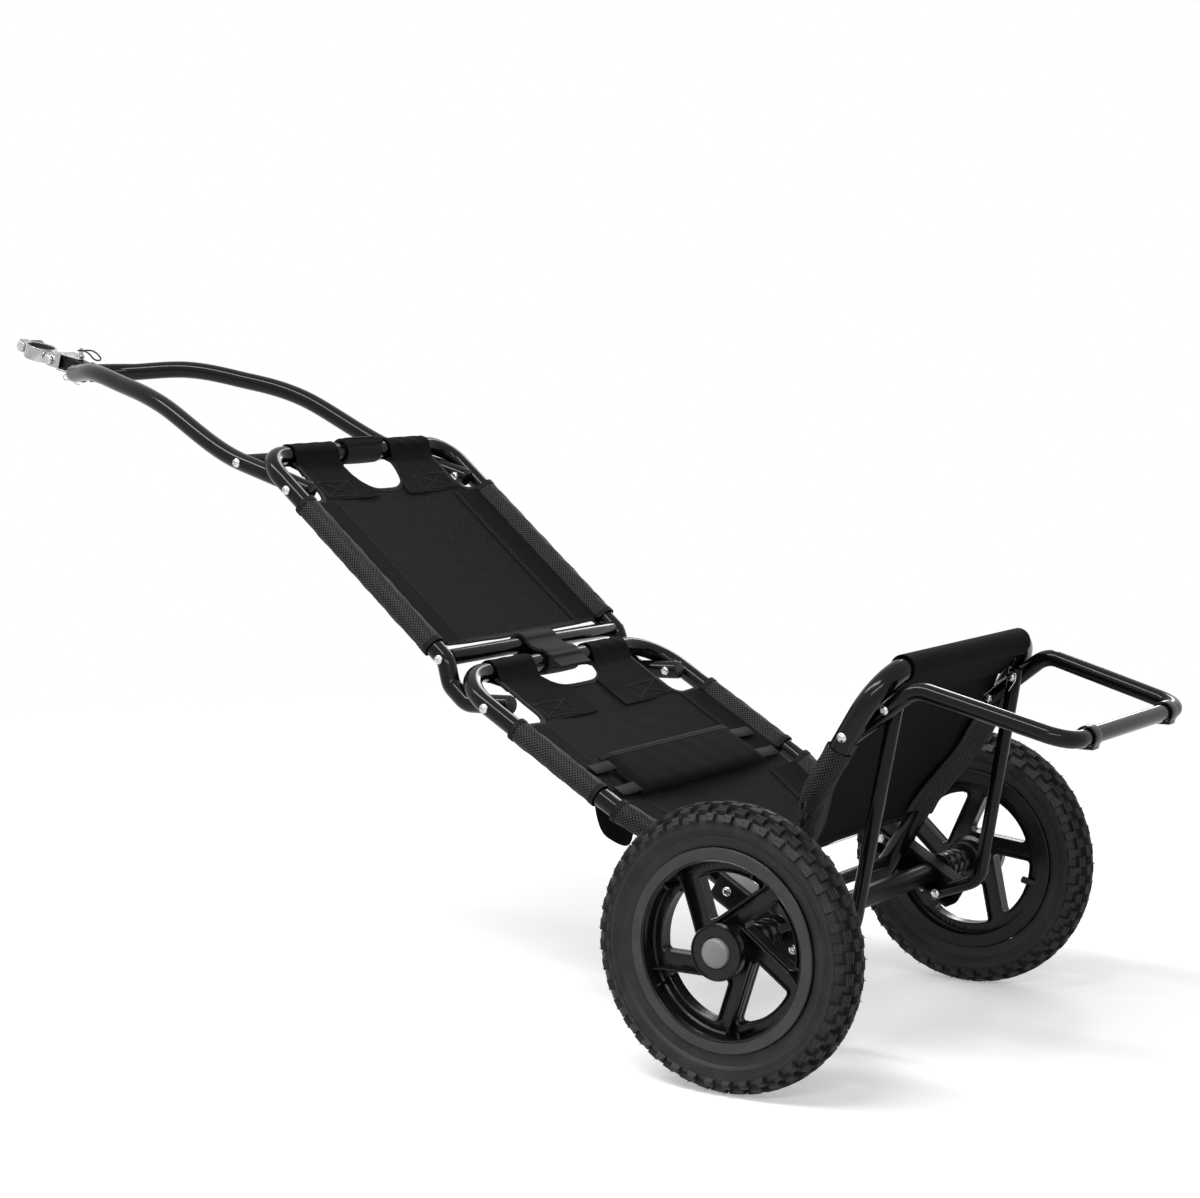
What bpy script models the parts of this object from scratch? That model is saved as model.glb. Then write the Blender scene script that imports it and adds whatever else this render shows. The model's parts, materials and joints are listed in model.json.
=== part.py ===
"""Bike cargo trailer that also stands up as a hand cart.

The model is in its own frame: +Z up, +Y the way it is towed, metres. The origin
is the middle of the clamp that grips the seat post.
"""
import math

import bmesh
import bpy
from mathutils import Matrix, Vector

# Where the trailer stands behind and below the clamp.
CLAMP_AHEAD_OF_AXLE = 1.248
CLAMP_ABOVE_GROUND = 0.757
POST_TILT = math.radians(17.0)

# Clearances.
GAP = 0.0003
SIDE_PLAY = 0.0005

# Tubes and fasteners.
FRAME_TUBE_R = 0.011
PLATFORM_TUBE_R = 0.0125
STAND_TUBE_R = 0.0095
STRUT_R = 0.008
CROSS_TUBE_R = 0.0095
PLATFORM_BAR_R = 0.008
AXLE_TUBE_R = 0.0125
BOLT_R = 0.003
BOLT_HEAD_R = 0.0055
BOLT_HEAD_H = 0.003
HEAD_TOP_SHARE = 0.8
HEAD_SHOULDER_SHARE = 0.55
STRUT_BOLT_HEAD_R = 0.005
NUT_H = 0.0045
CLOTH_T = 0.0025
PANEL_T = 0.003

# Lower frame, measured from the axle along its side tubes.
LOWER_TILT = math.radians(30.45)
LOWER_HALF = 0.2065
BRACKET_HALF = 0.1755
LOWER_TOP_L = 0.4825
TOP_PAST_PIVOT = 0.058
LOWER_PIVOT_L = LOWER_TOP_L - TOP_PAST_PIVOT
LOWER_END_L = 0.052
TAPER_LOW_L = 0.115
TAPER_HIGH_L = 0.2245
LOWER_CORNER_R = 0.058
TAPER_BEND_R = 0.08

# Bracket channel, open to the inside.
BRACKET_LOW_L = -0.042
BRACKET_HIGH_L = 0.0875
BRACKET_DROP = 0.0195
BRACKET_WALL = 0.003
BRACKET_DEPTH = 0.030
PLATFORM_PIVOT_L = 0.0427
PLATFORM_PIVOT_N = -0.0110
CROSS_BAR_GRIP = 0.014
STRUT_PIVOT_L = -0.0281
STRUT_PIVOT_N = -0.0044

# Upper frame, measured from the lower pivot.
UPPER_TILT = math.radians(40.1)
LEG_PLAY = 0.003
LEG_SPLAY = 0.0015
UPPER_LEG_HALF = LOWER_HALF - 2.0 * FRAME_TUBE_R - LEG_PLAY
UPPER_HALF = UPPER_LEG_HALF - LEG_SPLAY
UPPER_DROP = 0.0168
CROSS_PAST_TOP = 0.035
UPPER_CROSS_U = TOP_PAST_PIVOT + CROSS_PAST_TOP
UPPER_TOP_U = 0.440
UPPER_PIVOT_U = UPPER_TOP_U - TOP_PAST_PIVOT
UPPER_CORNER_R = 0.037
CRANK_DEPTH = 0.033
CRANK_LOW_U = 0.036
CRANK_HIGH_U = 0.066
CRANK_END_BELOW_CROSS = 0.003
CRANK_BEND_R = 0.02
LEG_END_PAST_PIVOT = 0.011

# Drawbar, measured from the drawbar pivot.
DRAWBAR_TILT = math.radians(15.9)
DRAWBAR_TAPER = 0.004
DRAWBAR_PIVOT_HALF = UPPER_HALF - 2.0 * FRAME_TUBE_R - SIDE_PLAY
DRAWBAR_CROSS_HALF = DRAWBAR_PIVOT_HALF - DRAWBAR_TAPER
DRAWBAR_CROSS_D = 0.102
DRAWBAR_TIP_R = 0.062
DRAWBAR_TIP_TOE = math.radians(27.0)
# Bends of one drawbar leg past the cross tube: share of the run to the tip,
# share of the rise, share of the half width at the cross tube.
DRAWBAR_BENDS = ((0.36, 0.667, 0.896), (0.59, 0.912, 0.749), (0.76, 1.03, 0.586))
DRAWBAR_TIP_STEPS = 6

# Platform, measured from the platform pivot.
PLATFORM_TILT = math.radians(121.0)
PLATFORM_IN_BRACKET = 0.0255
PLATFORM_IN_FRAME = 0.019
PLATFORM_FOOT_HALF = BRACKET_HALF - PLATFORM_IN_BRACKET
PLATFORM_HALF = LOWER_HALF - PLATFORM_IN_FRAME
PLATFORM_FRONT_P = 0.320
PLATFORM_END_PAST_PIVOT = 0.012
PLATFORM_BEND_LOW_P = 0.105
PLATFORM_BEND_HIGH_P = 0.165
PLATFORM_BEND_R = 0.05
PLATFORM_CORNER_R = 0.055
STAND_PIVOT_P = 0.239

# Kickstand, measured from its pivot on the platform.
STAND_TAPER = 0.0155
STAND_HALF = PLATFORM_HALF - PLATFORM_TUBE_R - STAND_TUBE_R
STAND_FOOT_HALF = STAND_HALF - STAND_TAPER
STRUT_HEAD_P = 0.043
STRUT_HEAD_Q = 0.0165
STAND_BEND_P = 0.0800
STAND_BEND_Q = 0.0310
STAND_FOOT_P = 0.1285
STAND_FOOT_Q = 0.198
STAND_BEND_R = 0.03
STAND_CORNER_R = 0.03
STAND_FOOT_CLIP_LEN = 0.016
STAND_FOOT_CLIP_HALF = STAND_FOOT_HALF - STAND_CORNER_R - STAND_FOOT_CLIP_LEN
STAND_FOOT_CLIP_T = 0.0025

# Struts, measured from the strut foot in lower frame directions.
STRUT_SPREAD = 0.008
STRUT_HEAD_HALF = STAND_HALF - STAND_TUBE_R - STRUT_R - SIDE_PLAY
STRUT_FOOT_HALF = STRUT_HEAD_HALF + STRUT_SPREAD
STRUT_BEND_L = -0.0343
STRUT_BEND_N = 0.0434
STRUT_BEND_R = 0.025
STRUT_END = 0.010

# Cloth.
LOWER_CUT_BELOW_PIVOT = 0.043
LOWER_CUT_L = LOWER_PIVOT_L - LOWER_CUT_BELOW_PIVOT
SLEEVE_ABOVE_TAPER = 0.028
LOWER_SLEEVE_END_L = TAPER_HIGH_L + SLEEVE_ABOVE_TAPER
LOWER_PATCH_LEN = 0.106
LOWER_PATCH_END_L = TAPER_HIGH_L - LOWER_PATCH_LEN
LOWER_TAB_IN = 0.062
LOWER_TAB_OUT = 0.139
LOWER_HAND_DEPTH = 0.047
LOWER_HAND_L = LOWER_TOP_L - LOWER_HAND_DEPTH
UPPER_CUT_BELOW_PIVOT = 0.036
UPPER_CUT_U = UPPER_PIVOT_U - UPPER_CUT_BELOW_PIVOT
PANEL_ABOVE_CROSS = 0.020
UPPER_PANEL_END_U = UPPER_CROSS_U + PANEL_ABOVE_CROSS
UPPER_TAB_IN = 0.054
UPPER_TAB_OUT = 0.120
UPPER_HAND_DEPTH = 0.072
UPPER_HAND_U = UPPER_TOP_U - UPPER_HAND_DEPTH
PANEL_CORNER_R = 0.02
TAB_CLEAR = 0.012
HEM = 0.001
POCKET_SIDE = 0.0665
POCKET_HALF = LOWER_HALF - POCKET_SIDE
POCKET_BELOW_SLEEVE = 0.015
POCKET_LEN = 0.065
POCKET_LOW_L = LOWER_SLEEVE_END_L - POCKET_BELOW_SLEEVE
POCKET_T = 0.006
COVER_LOW_P = 0.035
COVER_LOW_SIDE = 0.025
COVER_LOW_HALF = PLATFORM_FOOT_HALF - COVER_LOW_SIDE
COVER_ABOVE_BEND = 0.003
COVER_BELOW_PIVOT = 0.020
COVER_SLEEVE_LOW_P = PLATFORM_BEND_HIGH_P + COVER_ABOVE_BEND
COVER_SLEEVE_HIGH_P = STAND_PIVOT_P - COVER_BELOW_PIVOT
COVER_SIDE = 0.0395
COVER_EDGE_HALF = PLATFORM_HALF - COVER_SIDE
COVER_NARROWING = 0.013
COVER_WRAP_HALF = COVER_EDGE_HALF - COVER_NARROWING
COVER_EDGE_BACK = 0.02
COVER_WRAP_BACK = 0.005
COVER_DROP = 0.004
STRAP_W = 0.065
STRAP_T = 0.0025

# Wheels.
WHEEL_TRACK = 0.582
TYRE_R = 0.155
TYRE_HALF_W = 0.025
TYRE_BEAD_HALF_W = 0.0165
RIM_R = 0.1095
RIM_HALF_W = 0.0207
RIM_INNER_R = 0.0945
HUB_R = 0.022
HUB_FLANGE_R = 0.030
HUB_IN = 0.030
HUB_OUT = 0.0300
HUB_FLANGE_T = 0.012
SPOKES = 5
SPOKE_TURN_LEFT = math.radians(18.0)  # how far the wheels happen to have rolled
SPOKE_TURN_RIGHT = math.radians(60.0)
SPOKE_W = 0.021
SPOKE_T = 0.018
SPOKE_OFFSET = 0.0225
SPOKE_IN_RIM = 0.003
HUB_WEB_R = 0.0335
HUB_WEB_PROUD = 0.0005
RIM_WEB_R = 0.081
RIM_WEB_T = 0.012
AXLE_PIN_R = 0.006
BUTTON_R = 0.016
BUTTON_TRAVEL = 0.004
BUTTON_BODY = 0.003
BUTTON_DOME = 0.004
BUTTON_PROUD = 0.0005
# Shares of the button's radius and of its dome's drop, from the top down.
BUTTON_CURVE = ((0.45, 0.12), (0.8, 0.45))
HOUSING_R = 0.0145
HOUSING_RIB_R = 0.0170
HOUSING_RIBS = 3
HOUSING_RIB_W = 0.006
HOUSING_TO_HUB = 0.0025
PIN_IN_AXLE = 0.020
PIN_END_PLAY = 0.002

# Hitch, measured from the clamp middle along the hitch line and the post.
TIP_BACK = 0.0885
BLOCK_RISE = 0.003
BLOCK_W = 0.018
BLOCK_FRONT = 0.052
BLOCK_BACK = 0.115
PIN_BACK = 0.071
PIN_R = 0.003
PIN_HEAD_R = 0.0055
PIN_HEAD_H = 0.004
PIN_TAIL = 0.008
PIN_CHAMFER = 0.001
PIN_TOP_SHARE = 0.9
PIN_EYE_BELOW_BAIL = 0.0055
PIN_EYE_ABOVE_BAIL = 0.0035
YOKE_PLATE_BACK = 0.049
YOKE_T = 0.0025
YOKE_HALF = 0.0140
YOKE_ARM_END_R = 0.006
YOKE_ARM_ROOT = 0.004
YOKE_EDGE = 0.002
YOKE_EAR_R = 0.0085
YOKE_BOLT_BACK = 0.030
YOKE_BOLT_HEAD_R = 0.007
YOKE_BOLT_HEAD_H = 0.0045
POST_R = 0.016
LINER_T = 0.0018
LINER_INSET = 0.001
JAW_T = 0.0024
JAW_HALF_H = 0.009
LUG_R = 0.0075
CLAMP_EAR_T = 0.005
CLAMP_EAR_OUT = 0.0345
CLAMP_SCREW_F = 0.0280
JAW_SPLIT = 0.001
SEAM_OVERLAP = 0.001
KNOB_R = 0.0075
KNOB_LEN = 0.024
KNOB_EDGE = 0.003
KNOB_NECK_SHARE = 0.7
KNOB_TOP_SHARE = 0.8
SCREW_SHORT = 0.004
HEX_R = 0.0062
HEX_H = 0.004
BAIL_WIRE_R = 0.0011
BAIL_REACH = 0.032
BAIL_HALF = 0.0075
BAIL_RISE = 0.0035
BAIL_EYE_R = 0.002
BAIL_BOW_R = 0.006
BAIL_OPENING = 0.0015

TUBE_LEVEL = 4
WIRE_LEVEL = 1
BOLT_STEPS = 10
CUT_STEPS = 12
BUTTON_STEPS = 16
AXLE_STEPS = 16
HUB_STEPS = 20
CLAMP_STEPS = 32
WHEEL_STEPS = 36
OVERCUT = 0.01
NOTCH_OVERCUT = 0.02
CUT_REACH = 0.03
CUT_AWAY = 0.06
TYRE_ARC = 125.0
TYRE_ARC_STEPS = 10
CUT_TWIST = math.radians(7.0)
ARC_STEP = math.radians(20.0)

PAINT = ("black_paint", (0.012, 0.012, 0.013), 0.28, 0.35)
PLASTIC = ("black_plastic", (0.020, 0.020, 0.021), 0.45, 0.0)
RUBBER = ("tyre_rubber", (0.016, 0.016, 0.016), 0.75, 0.0)
LINER = ("liner_rubber", (0.013, 0.013, 0.013), 0.80, 0.0)
CHROME = ("chrome", (0.80, 0.80, 0.81), 0.12, 1.0)
STEEL = ("bright_steel", (0.68, 0.68, 0.70), 0.25, 1.0)
CLOTH = ("black_cloth", (0.017, 0.017, 0.018), 0.85, 0.0)
MESH = ("grey_mesh", (0.060, 0.060, 0.062), 0.85, 0.0)
GREY = ("grey_button", (0.120, 0.120, 0.125), 0.40, 0.1)


def clear_scene():
    """Empty the file."""
    for item in list(bpy.data.objects):
        bpy.data.objects.remove(item, do_unlink=True)


def collection(name):
    """Make a collection in the scene."""
    made = bpy.data.collections.new(name)
    bpy.context.scene.collection.children.link(made)
    return made


def material(look):
    """Give the Principled material of one finish, made once."""
    name, colour, rough, metal = look
    found = bpy.data.materials.get(name)
    if found:
        return found
    made = bpy.data.materials.new(name)
    made.use_nodes = True
    shader = made.node_tree.nodes["Principled BSDF"]
    shader.inputs["Base Color"].default_value = (*colour, 1.0)
    shader.inputs["Roughness"].default_value = rough
    shader.inputs["Metallic"].default_value = metal
    return made


def axis_frame(tilt, origin):
    """Frame whose Y runs at a tilt in the side view, at an origin (0, y, z)."""
    return Matrix.Translation(origin) @ Matrix.Rotation(tilt, 4, "X")


def body_empty(name, frame):
    """Empty on a body's joint axis; its pieces are parented to it."""
    empty = bpy.data.objects.new(name, None)
    PARTS.objects.link(empty)
    empty.matrix_world = frame
    return empty


def add(name, mesh, look, parent, local=None):
    """Put a mesh in the parts collection under its body's empty."""
    obj = bpy.data.objects.new(name, mesh)
    PARTS.objects.link(obj)
    obj.parent = parent
    obj.matrix_local = local if local else Matrix.Identity(4)
    mesh.materials.clear()
    mesh.materials.append(material(look))
    return obj


def add_cutter(name, mesh, parent, local=None):
    """Put a mesh in the cutters collection."""
    obj = bpy.data.objects.new(name, mesh)
    CUTTERS.objects.link(obj)
    obj.parent = parent
    obj.matrix_local = local if local else Matrix.Identity(4)
    obj.hide_render = True
    obj.display_type = "WIRE"
    return obj


def combine(obj, other, operation="DIFFERENCE"):
    """Boolean one object with another."""
    step = obj.modifiers.new(operation.lower(), "BOOLEAN")
    step.operation = operation
    step.object = other
    step.solver = "EXACT"
    return obj


def smooth(mesh, angle=40.0):
    """Shade round faces smooth."""
    mesh.shade_smooth()
    mesh.set_sharp_from_angle(angle=math.radians(angle))


def around(radius, sides=CUT_STEPS):
    """Corner radius of a many-sided bore that clears a round radius by a gap."""
    return (radius + GAP) / math.cos(math.pi / sides)


def fillet(points, radii):
    """Points of a line whose inner corners are rounded to the given radii."""
    points = [Vector(point) for point in points]
    path = [points[0]]
    for index in range(1, len(points) - 1):
        here = points[index]
        back = (points[index - 1] - here).normalized()
        ahead = (points[index + 1] - here).normalized()
        turn = math.pi - back.angle(ahead)
        radius = radii[index - 1]
        if turn < math.radians(1.0) or radius <= 0.0:
            path.append(here)
            continue
        reach = radius * math.tan(turn / 2.0)
        start = here + back * reach
        centre = here + (back + ahead).normalized() * (radius / math.cos(turn / 2.0))
        spoke = start - centre
        axis = (-back).cross(ahead).normalized()
        steps = max(2, math.ceil(turn / ARC_STEP))
        for step in range(steps + 1):
            turned = Matrix.Rotation(turn * step / steps, 3, axis) @ spoke
            path.append(centre + turned)
    path.append(points[-1])
    return path


def tube_mesh(path, radius, level=TUBE_LEVEL):
    """Closed mesh of a round tube along a path."""
    curve = bpy.data.curves.new("tube", "CURVE")
    curve.dimensions = "3D"
    curve.bevel_depth = radius
    curve.bevel_resolution = level
    curve.use_fill_caps = True
    curve.twist_mode = "MINIMUM"
    spline = curve.splines.new("POLY")
    spline.points.add(len(path) - 1)
    for place, point in zip(spline.points, path):
        place.co = (*point, 1.0)
    return curve_to_mesh(curve)


def curve_to_mesh(curve):
    """Evaluate a curve and weld its caps."""
    holder = bpy.data.objects.new("curve", curve)
    CUTTERS.objects.link(holder)
    bpy.context.view_layer.update()
    graph = bpy.context.evaluated_depsgraph_get()
    mesh = bpy.data.meshes.new_from_object(holder.evaluated_get(graph))
    bpy.data.objects.remove(holder, do_unlink=True)
    work = bmesh.new()
    work.from_mesh(mesh)
    bmesh.ops.remove_doubles(work, verts=work.verts, dist=0.00001)
    bmesh.ops.recalc_face_normals(work, faces=work.faces)
    work.to_mesh(mesh)
    work.free()
    smooth(mesh)
    return mesh


def plate_mesh(outlines, thickness):
    """Flat plate in XY, centred on Z, from closed outlines; inner ones are holes."""
    curve = bpy.data.curves.new("plate", "CURVE")
    curve.dimensions = "2D"
    curve.fill_mode = "BOTH"
    curve.extrude = thickness / 2.0
    for outline in outlines:
        spline = curve.splines.new("POLY")
        spline.points.add(len(outline) - 1)
        for place, point in zip(spline.points, outline):
            place.co = (point[0], point[1], 0.0, 1.0)
        spline.use_cyclic_u = True
    return curve_to_mesh(curve)


def box_mesh(low, high):
    """Box between two corners."""
    work = bmesh.new()
    low = Vector(low)
    high = Vector(high)
    size = Matrix.Diagonal((*(high - low), 1.0))
    middle = Matrix.Translation((low + high) / 2.0)
    bmesh.ops.create_cube(work, size=1.0, matrix=middle @ size)
    mesh = bpy.data.meshes.new("box")
    work.to_mesh(mesh)
    work.free()
    return mesh


def rod_mesh(start, end, radius, sides=CUT_STEPS, twist=0.0):
    """Closed cylinder between two points."""
    start = Vector(start)
    end = Vector(end)
    work = bmesh.new()
    turn = (end - start).to_track_quat("Z", "Y").to_matrix().to_4x4()
    place = Matrix.Translation((start + end) / 2.0) @ turn @ Matrix.Rotation(twist, 4, "Z")
    bmesh.ops.create_cone(work, cap_ends=True, segments=sides, radius1=radius,
                          radius2=radius, depth=(end - start).length, matrix=place)
    mesh = bpy.data.meshes.new("rod")
    work.to_mesh(mesh)
    work.free()
    smooth(mesh)
    return mesh


def turned(name, profile, look, parent, local=None, steps=BOLT_STEPS, closed=False):
    """Turned piece round Z from (radius, height) points, top to bottom."""
    work = bmesh.new()
    verts = [work.verts.new((radius, 0.0, height)) for radius, height in profile]
    for index in range(len(verts) - 1):
        work.edges.new((verts[index], verts[index + 1]))
    if closed:
        work.edges.new((verts[-1], verts[0]))
    mesh = bpy.data.meshes.new(name)
    work.to_mesh(mesh)
    work.free()
    if parent is None:
        obj = add_cutter(name, mesh, None, local)
    else:
        obj = add(name, mesh, look, parent, local)
    screw = obj.modifiers.new("turn", "SCREW")
    screw.axis = "Z"
    screw.steps = steps
    screw.render_steps = steps
    screw.use_merge_vertices = True
    screw.merge_threshold = 0.00001
    screw.use_smooth_shade = True
    return obj


def along_x(x, y=0.0, z=0.0, side=1.0):
    """Place a turned piece's top towards the outside, side +1 is +X."""
    turn = Matrix.Rotation(math.radians(90.0) * side, 4, "Y")
    return Matrix.Translation((x, y, z)) @ turn


def head_profile(face, head_r, head_h):
    """Profile of a domed bolt head that stands on a face."""
    return [(0.0, face + head_h), (head_r * HEAD_TOP_SHARE, face + head_h),
            (head_r, face + head_h * HEAD_SHOULDER_SHARE), (head_r, face)]


def bolt(name, parent, outer, inner, y=0.0, z=0.0, side=1.0, nut=True,
         head_r=BOLT_HEAD_R, head_h=BOLT_HEAD_H):
    """Bolt along X. Outer and inner are the faces that it clamps, as half widths."""
    head_face = outer + GAP
    profile = head_profile(0.0, head_r, head_h) + [(BOLT_R, 0.0)]
    length = head_face - inner
    if nut:
        nut_face = length + GAP
        profile += [(BOLT_R, -nut_face), (head_r, -nut_face),
                    (head_r, -nut_face - NUT_H), (0.0, -nut_face - NUT_H)]
    else:
        profile += [(BOLT_R, -length), (0.0, -length)]
    return turned(name, profile, STEEL, parent, along_x(side * head_face, y, z, side))


def tie_rod(name, parent, half, y=0.0, z=0.0):
    """Rod through a cross tube with a head at each end."""
    face = half + SIDE_PLAY
    profile = head_profile(face, BOLT_HEAD_R, BOLT_HEAD_H)
    profile += [(BOLT_R, face), (BOLT_R, -face), (BOLT_HEAD_R, -face),
                (BOLT_HEAD_R, -face - NUT_H), (0.0, -face - NUT_H)]
    return turned(name, profile, STEEL, parent, along_x(0.0, y, z, -1.0))


def cross_hole(along):
    """Hole for a bolt along X through the hitch, at a place on the hitch line."""
    return rod_mesh((-CUT_REACH, along, 0.0), (CUT_REACH, along, 0.0), BOLT_R + GAP)


def drill_x(obj, parent, y, z, half=0.25, radius=BOLT_R):
    """Hole along X right across the trailer."""
    mesh = rod_mesh((-half, y, z), (half, y, z), around(radius), twist=CUT_TWIST)
    return combine(obj, add_cutter("drill_" + obj.name, mesh, parent))


def mirrored(half_path):
    """Whole path from its +X half, given from the end to the middle."""
    other = [Vector((-point[0], point[1], point[2])) for point in reversed(half_path)]
    return list(half_path) + other


def slice_y(path, low, high):
    """Part of a path whose Y lies between two values, with exact ends."""
    kept = []
    for index in range(len(path) - 1):
        first = path[index]
        second = path[index + 1]
        if low <= first.y <= high:
            kept.append(first)
        span = second.y - first.y
        if abs(span) < 1e-9:
            continue
        cuts = sorted((level - first.y) / span for level in (low, high))
        kept += [first.lerp(second, cut) for cut in cuts if 1e-6 < cut < 1.0 - 1e-6]
    if low <= path[-1].y <= high:
        kept.append(path[-1])
    return kept


# Paths of the bent tubes.

def lower_path():
    """Lower frame tube in its own frame."""
    corners = [(BRACKET_HALF, LOWER_END_L, 0.0), (BRACKET_HALF, TAPER_LOW_L, 0.0),
               (LOWER_HALF, TAPER_HIGH_L, 0.0), (LOWER_HALF, LOWER_TOP_L, 0.0),
               (-LOWER_HALF, LOWER_TOP_L, 0.0), (-LOWER_HALF, TAPER_HIGH_L, 0.0),
               (-BRACKET_HALF, TAPER_LOW_L, 0.0), (-BRACKET_HALF, LOWER_END_L, 0.0)]
    radii = [TAPER_BEND_R, TAPER_BEND_R, LOWER_CORNER_R]
    return fillet(corners, radii + radii[::-1])


def upper_path():
    """Upper frame tube in its own frame, with its cranked leg ends."""
    crank = Vector((0.0, CRANK_LOW_U, -CRANK_DEPTH))
    past = -crank.normalized() * LEG_END_PAST_PIVOT
    half = [(UPPER_LEG_HALF, past.y, past.z), (UPPER_LEG_HALF, CRANK_LOW_U, -CRANK_DEPTH),
            (UPPER_LEG_HALF, CRANK_HIGH_U, -CRANK_DEPTH),
            (UPPER_HALF, UPPER_CROSS_U - CRANK_END_BELOW_CROSS, -UPPER_DROP),
            (UPPER_HALF, UPPER_TOP_U, -UPPER_DROP)]
    other = [(-x, y, z) for x, y, z in reversed(half)]
    radii = [CRANK_BEND_R, CRANK_BEND_R, CRANK_BEND_R, UPPER_CORNER_R]
    return fillet(half + other, radii + radii[::-1])


def drawbar_path():
    """Drawbar tube in its own frame."""
    tip = DRAWBAR.inverted() @ (HITCH @ Vector((0.0, -TIP_BACK, 0.0)))
    cross = Vector((DRAWBAR_CROSS_HALF, DRAWBAR_CROSS_D, 0.0))
    level = DRAWBAR.inverted().to_3x3() @ Vector((0.0, 1.0, 0.0))
    up = DRAWBAR.inverted().to_3x3() @ Vector((0.0, 0.0, 1.0))
    reach = Vector((0.0, tip.y, tip.z)) - Vector((0.0, cross.y, cross.z))
    run = reach.dot(level)
    rise = reach.dot(up)
    knots = [Vector((DRAWBAR_PIVOT_HALF, 0.0, 0.0)), cross]
    for along, climb, half in DRAWBAR_BENDS:
        place = Vector((0.0, cross.y, cross.z)) + level * run * along + up * rise * climb
        knots.append(Vector((cross.x * half, place.y, place.z)))
    arc = []
    for step in range(DRAWBAR_TIP_STEPS + 1):
        share = step / DRAWBAR_TIP_STEPS
        turn = DRAWBAR_TIP_TOE + (math.pi / 2.0 - DRAWBAR_TIP_TOE) * share
        back = DRAWBAR_TIP_R * (1.0 - math.sin(turn))
        place = Vector((0.0, tip.y, tip.z)) - level * back
        arc.append(Vector((DRAWBAR_TIP_R * math.cos(turn), place.y, place.z)))
    knots += arc[:2]
    past = (knots[0] - knots[1]).normalized() * LEG_END_PAST_PIVOT
    half = [knots[0] + past, knots[0]] + spline(knots)[1:] + arc[1:]
    return half + mirrored(half)[len(half) + 1:]


def spline(knots, steps=3):
    """Smooth points through knots; the first run stays straight."""
    path = [knots[0], knots[1]]
    for index in range(1, len(knots) - 2):
        before, first, second, after = knots[index - 1:index + 3]
        for step in range(1, steps + 1):
            share = step / steps
            slope_in = (second - before) * 0.5
            slope_out = (after - first) * 0.5
            if index == 1:
                slope_in = (first - before).normalized() * (second - first).length
            cube = share ** 3
            square = share ** 2
            path.append(first * (2 * cube - 3 * square + 1)
                        + slope_in * (cube - 2 * square + share)
                        + second * (3 * square - 2 * cube)
                        + slope_out * (cube - square))
    return path


def platform_path():
    """Platform tube in its own frame."""
    half = [(PLATFORM_FOOT_HALF, -PLATFORM_END_PAST_PIVOT, 0.0),
            (PLATFORM_FOOT_HALF, PLATFORM_BEND_LOW_P, 0.0),
            (PLATFORM_HALF, PLATFORM_BEND_HIGH_P, 0.0),
            (PLATFORM_HALF, PLATFORM_FRONT_P, 0.0)]
    other = [(-x, y, z) for x, y, z in reversed(half)]
    radii = [PLATFORM_BEND_R, PLATFORM_BEND_R, PLATFORM_CORNER_R]
    return fillet(half + other, radii + radii[::-1])


def stand_path():
    """Kickstand tube in its own frame, from its pivot."""
    start = -Vector((0.0, STRUT_HEAD_P, STRUT_HEAD_Q)).normalized() * LEG_END_PAST_PIVOT
    half = [(STAND_HALF, start.y, start.z), (STAND_HALF, STAND_BEND_P, STAND_BEND_Q),
            (STAND_FOOT_HALF, STAND_FOOT_P, STAND_FOOT_Q)]
    other = [(-x, y, z) for x, y, z in reversed(half)]
    radii = [STAND_BEND_R, STAND_CORNER_R]
    return fillet(half + other, radii + radii[::-1])


def strut_head_local():
    """Strut head pivot, seen from the strut foot."""
    place = PLATFORM @ Vector((0.0, STAND_PIVOT_P + STRUT_HEAD_P, STRUT_HEAD_Q))
    return STRUT.inverted() @ place


def strut_path(side):
    """One strut in its own frame, from its foot."""
    head = strut_head_local()
    bend = Vector((0.0, STRUT_BEND_L, STRUT_BEND_N))
    flat_head = Vector((0.0, head.y, head.z))
    start = -bend.normalized() * STRUT_END
    end = flat_head + (flat_head - bend).normalized() * STRUT_END
    corners = [(side * STRUT_FOOT_HALF, start.y, start.z),
               (side * STRUT_FOOT_HALF, bend.y, bend.z),
               (side * STRUT_HEAD_HALF, end.y, end.z)]
    return fillet(corners, [STRUT_BEND_R])


# Cloth pieces.

def arc_points(centre, radius_x, radius_y, start, end, steps):
    """Points of an elliptic arc, angles in degrees."""
    points = []
    for step in range(steps + 1):
        turn = math.radians(start + (end - start) * step / steps)
        points.append((centre[0] + radius_x * math.cos(turn),
                       centre[1] + radius_y * math.sin(turn)))
    return points


def panel_top(tab_in, tab_out, cut, top, hand):
    """Right half of a panel's top edge, from the side cut in to the middle."""
    corner = PANEL_CORNER_R
    points = arc_points((tab_out + corner, cut + corner), corner, corner, 270.0, 180.0, 3)
    points += [(tab_out, top), (tab_in, top)]
    drop = top - hand
    points += arc_points((0.0, top), tab_in, drop, 0.0, -90.0, 6)[1:]
    return points


def both_sides(half):
    """Closed outline from its +X half, given from the bottom to the middle top."""
    left = [(-x, y) for x, y in reversed(half) if abs(x) > 1e-9]
    return list(half) + left


def sleeves(obj, parent, path, spans, tube_r, name):
    """Join cloth sleeves round a tube to a panel, then cut the tube out."""
    for index, (low, high) in enumerate(spans):
        for side in (1, -1):
            whole = [point for point in path if point.x * side > 0.0]
            part = slice_y(whole, low - HEM, high + HEM)
            mesh = tube_mesh(part, around(tube_r) + CLOTH_T)
            cut = add_cutter(f"{name}_sleeve_{index}_{side}", mesh, parent)
            combine(obj, cut, "UNION")


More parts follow.
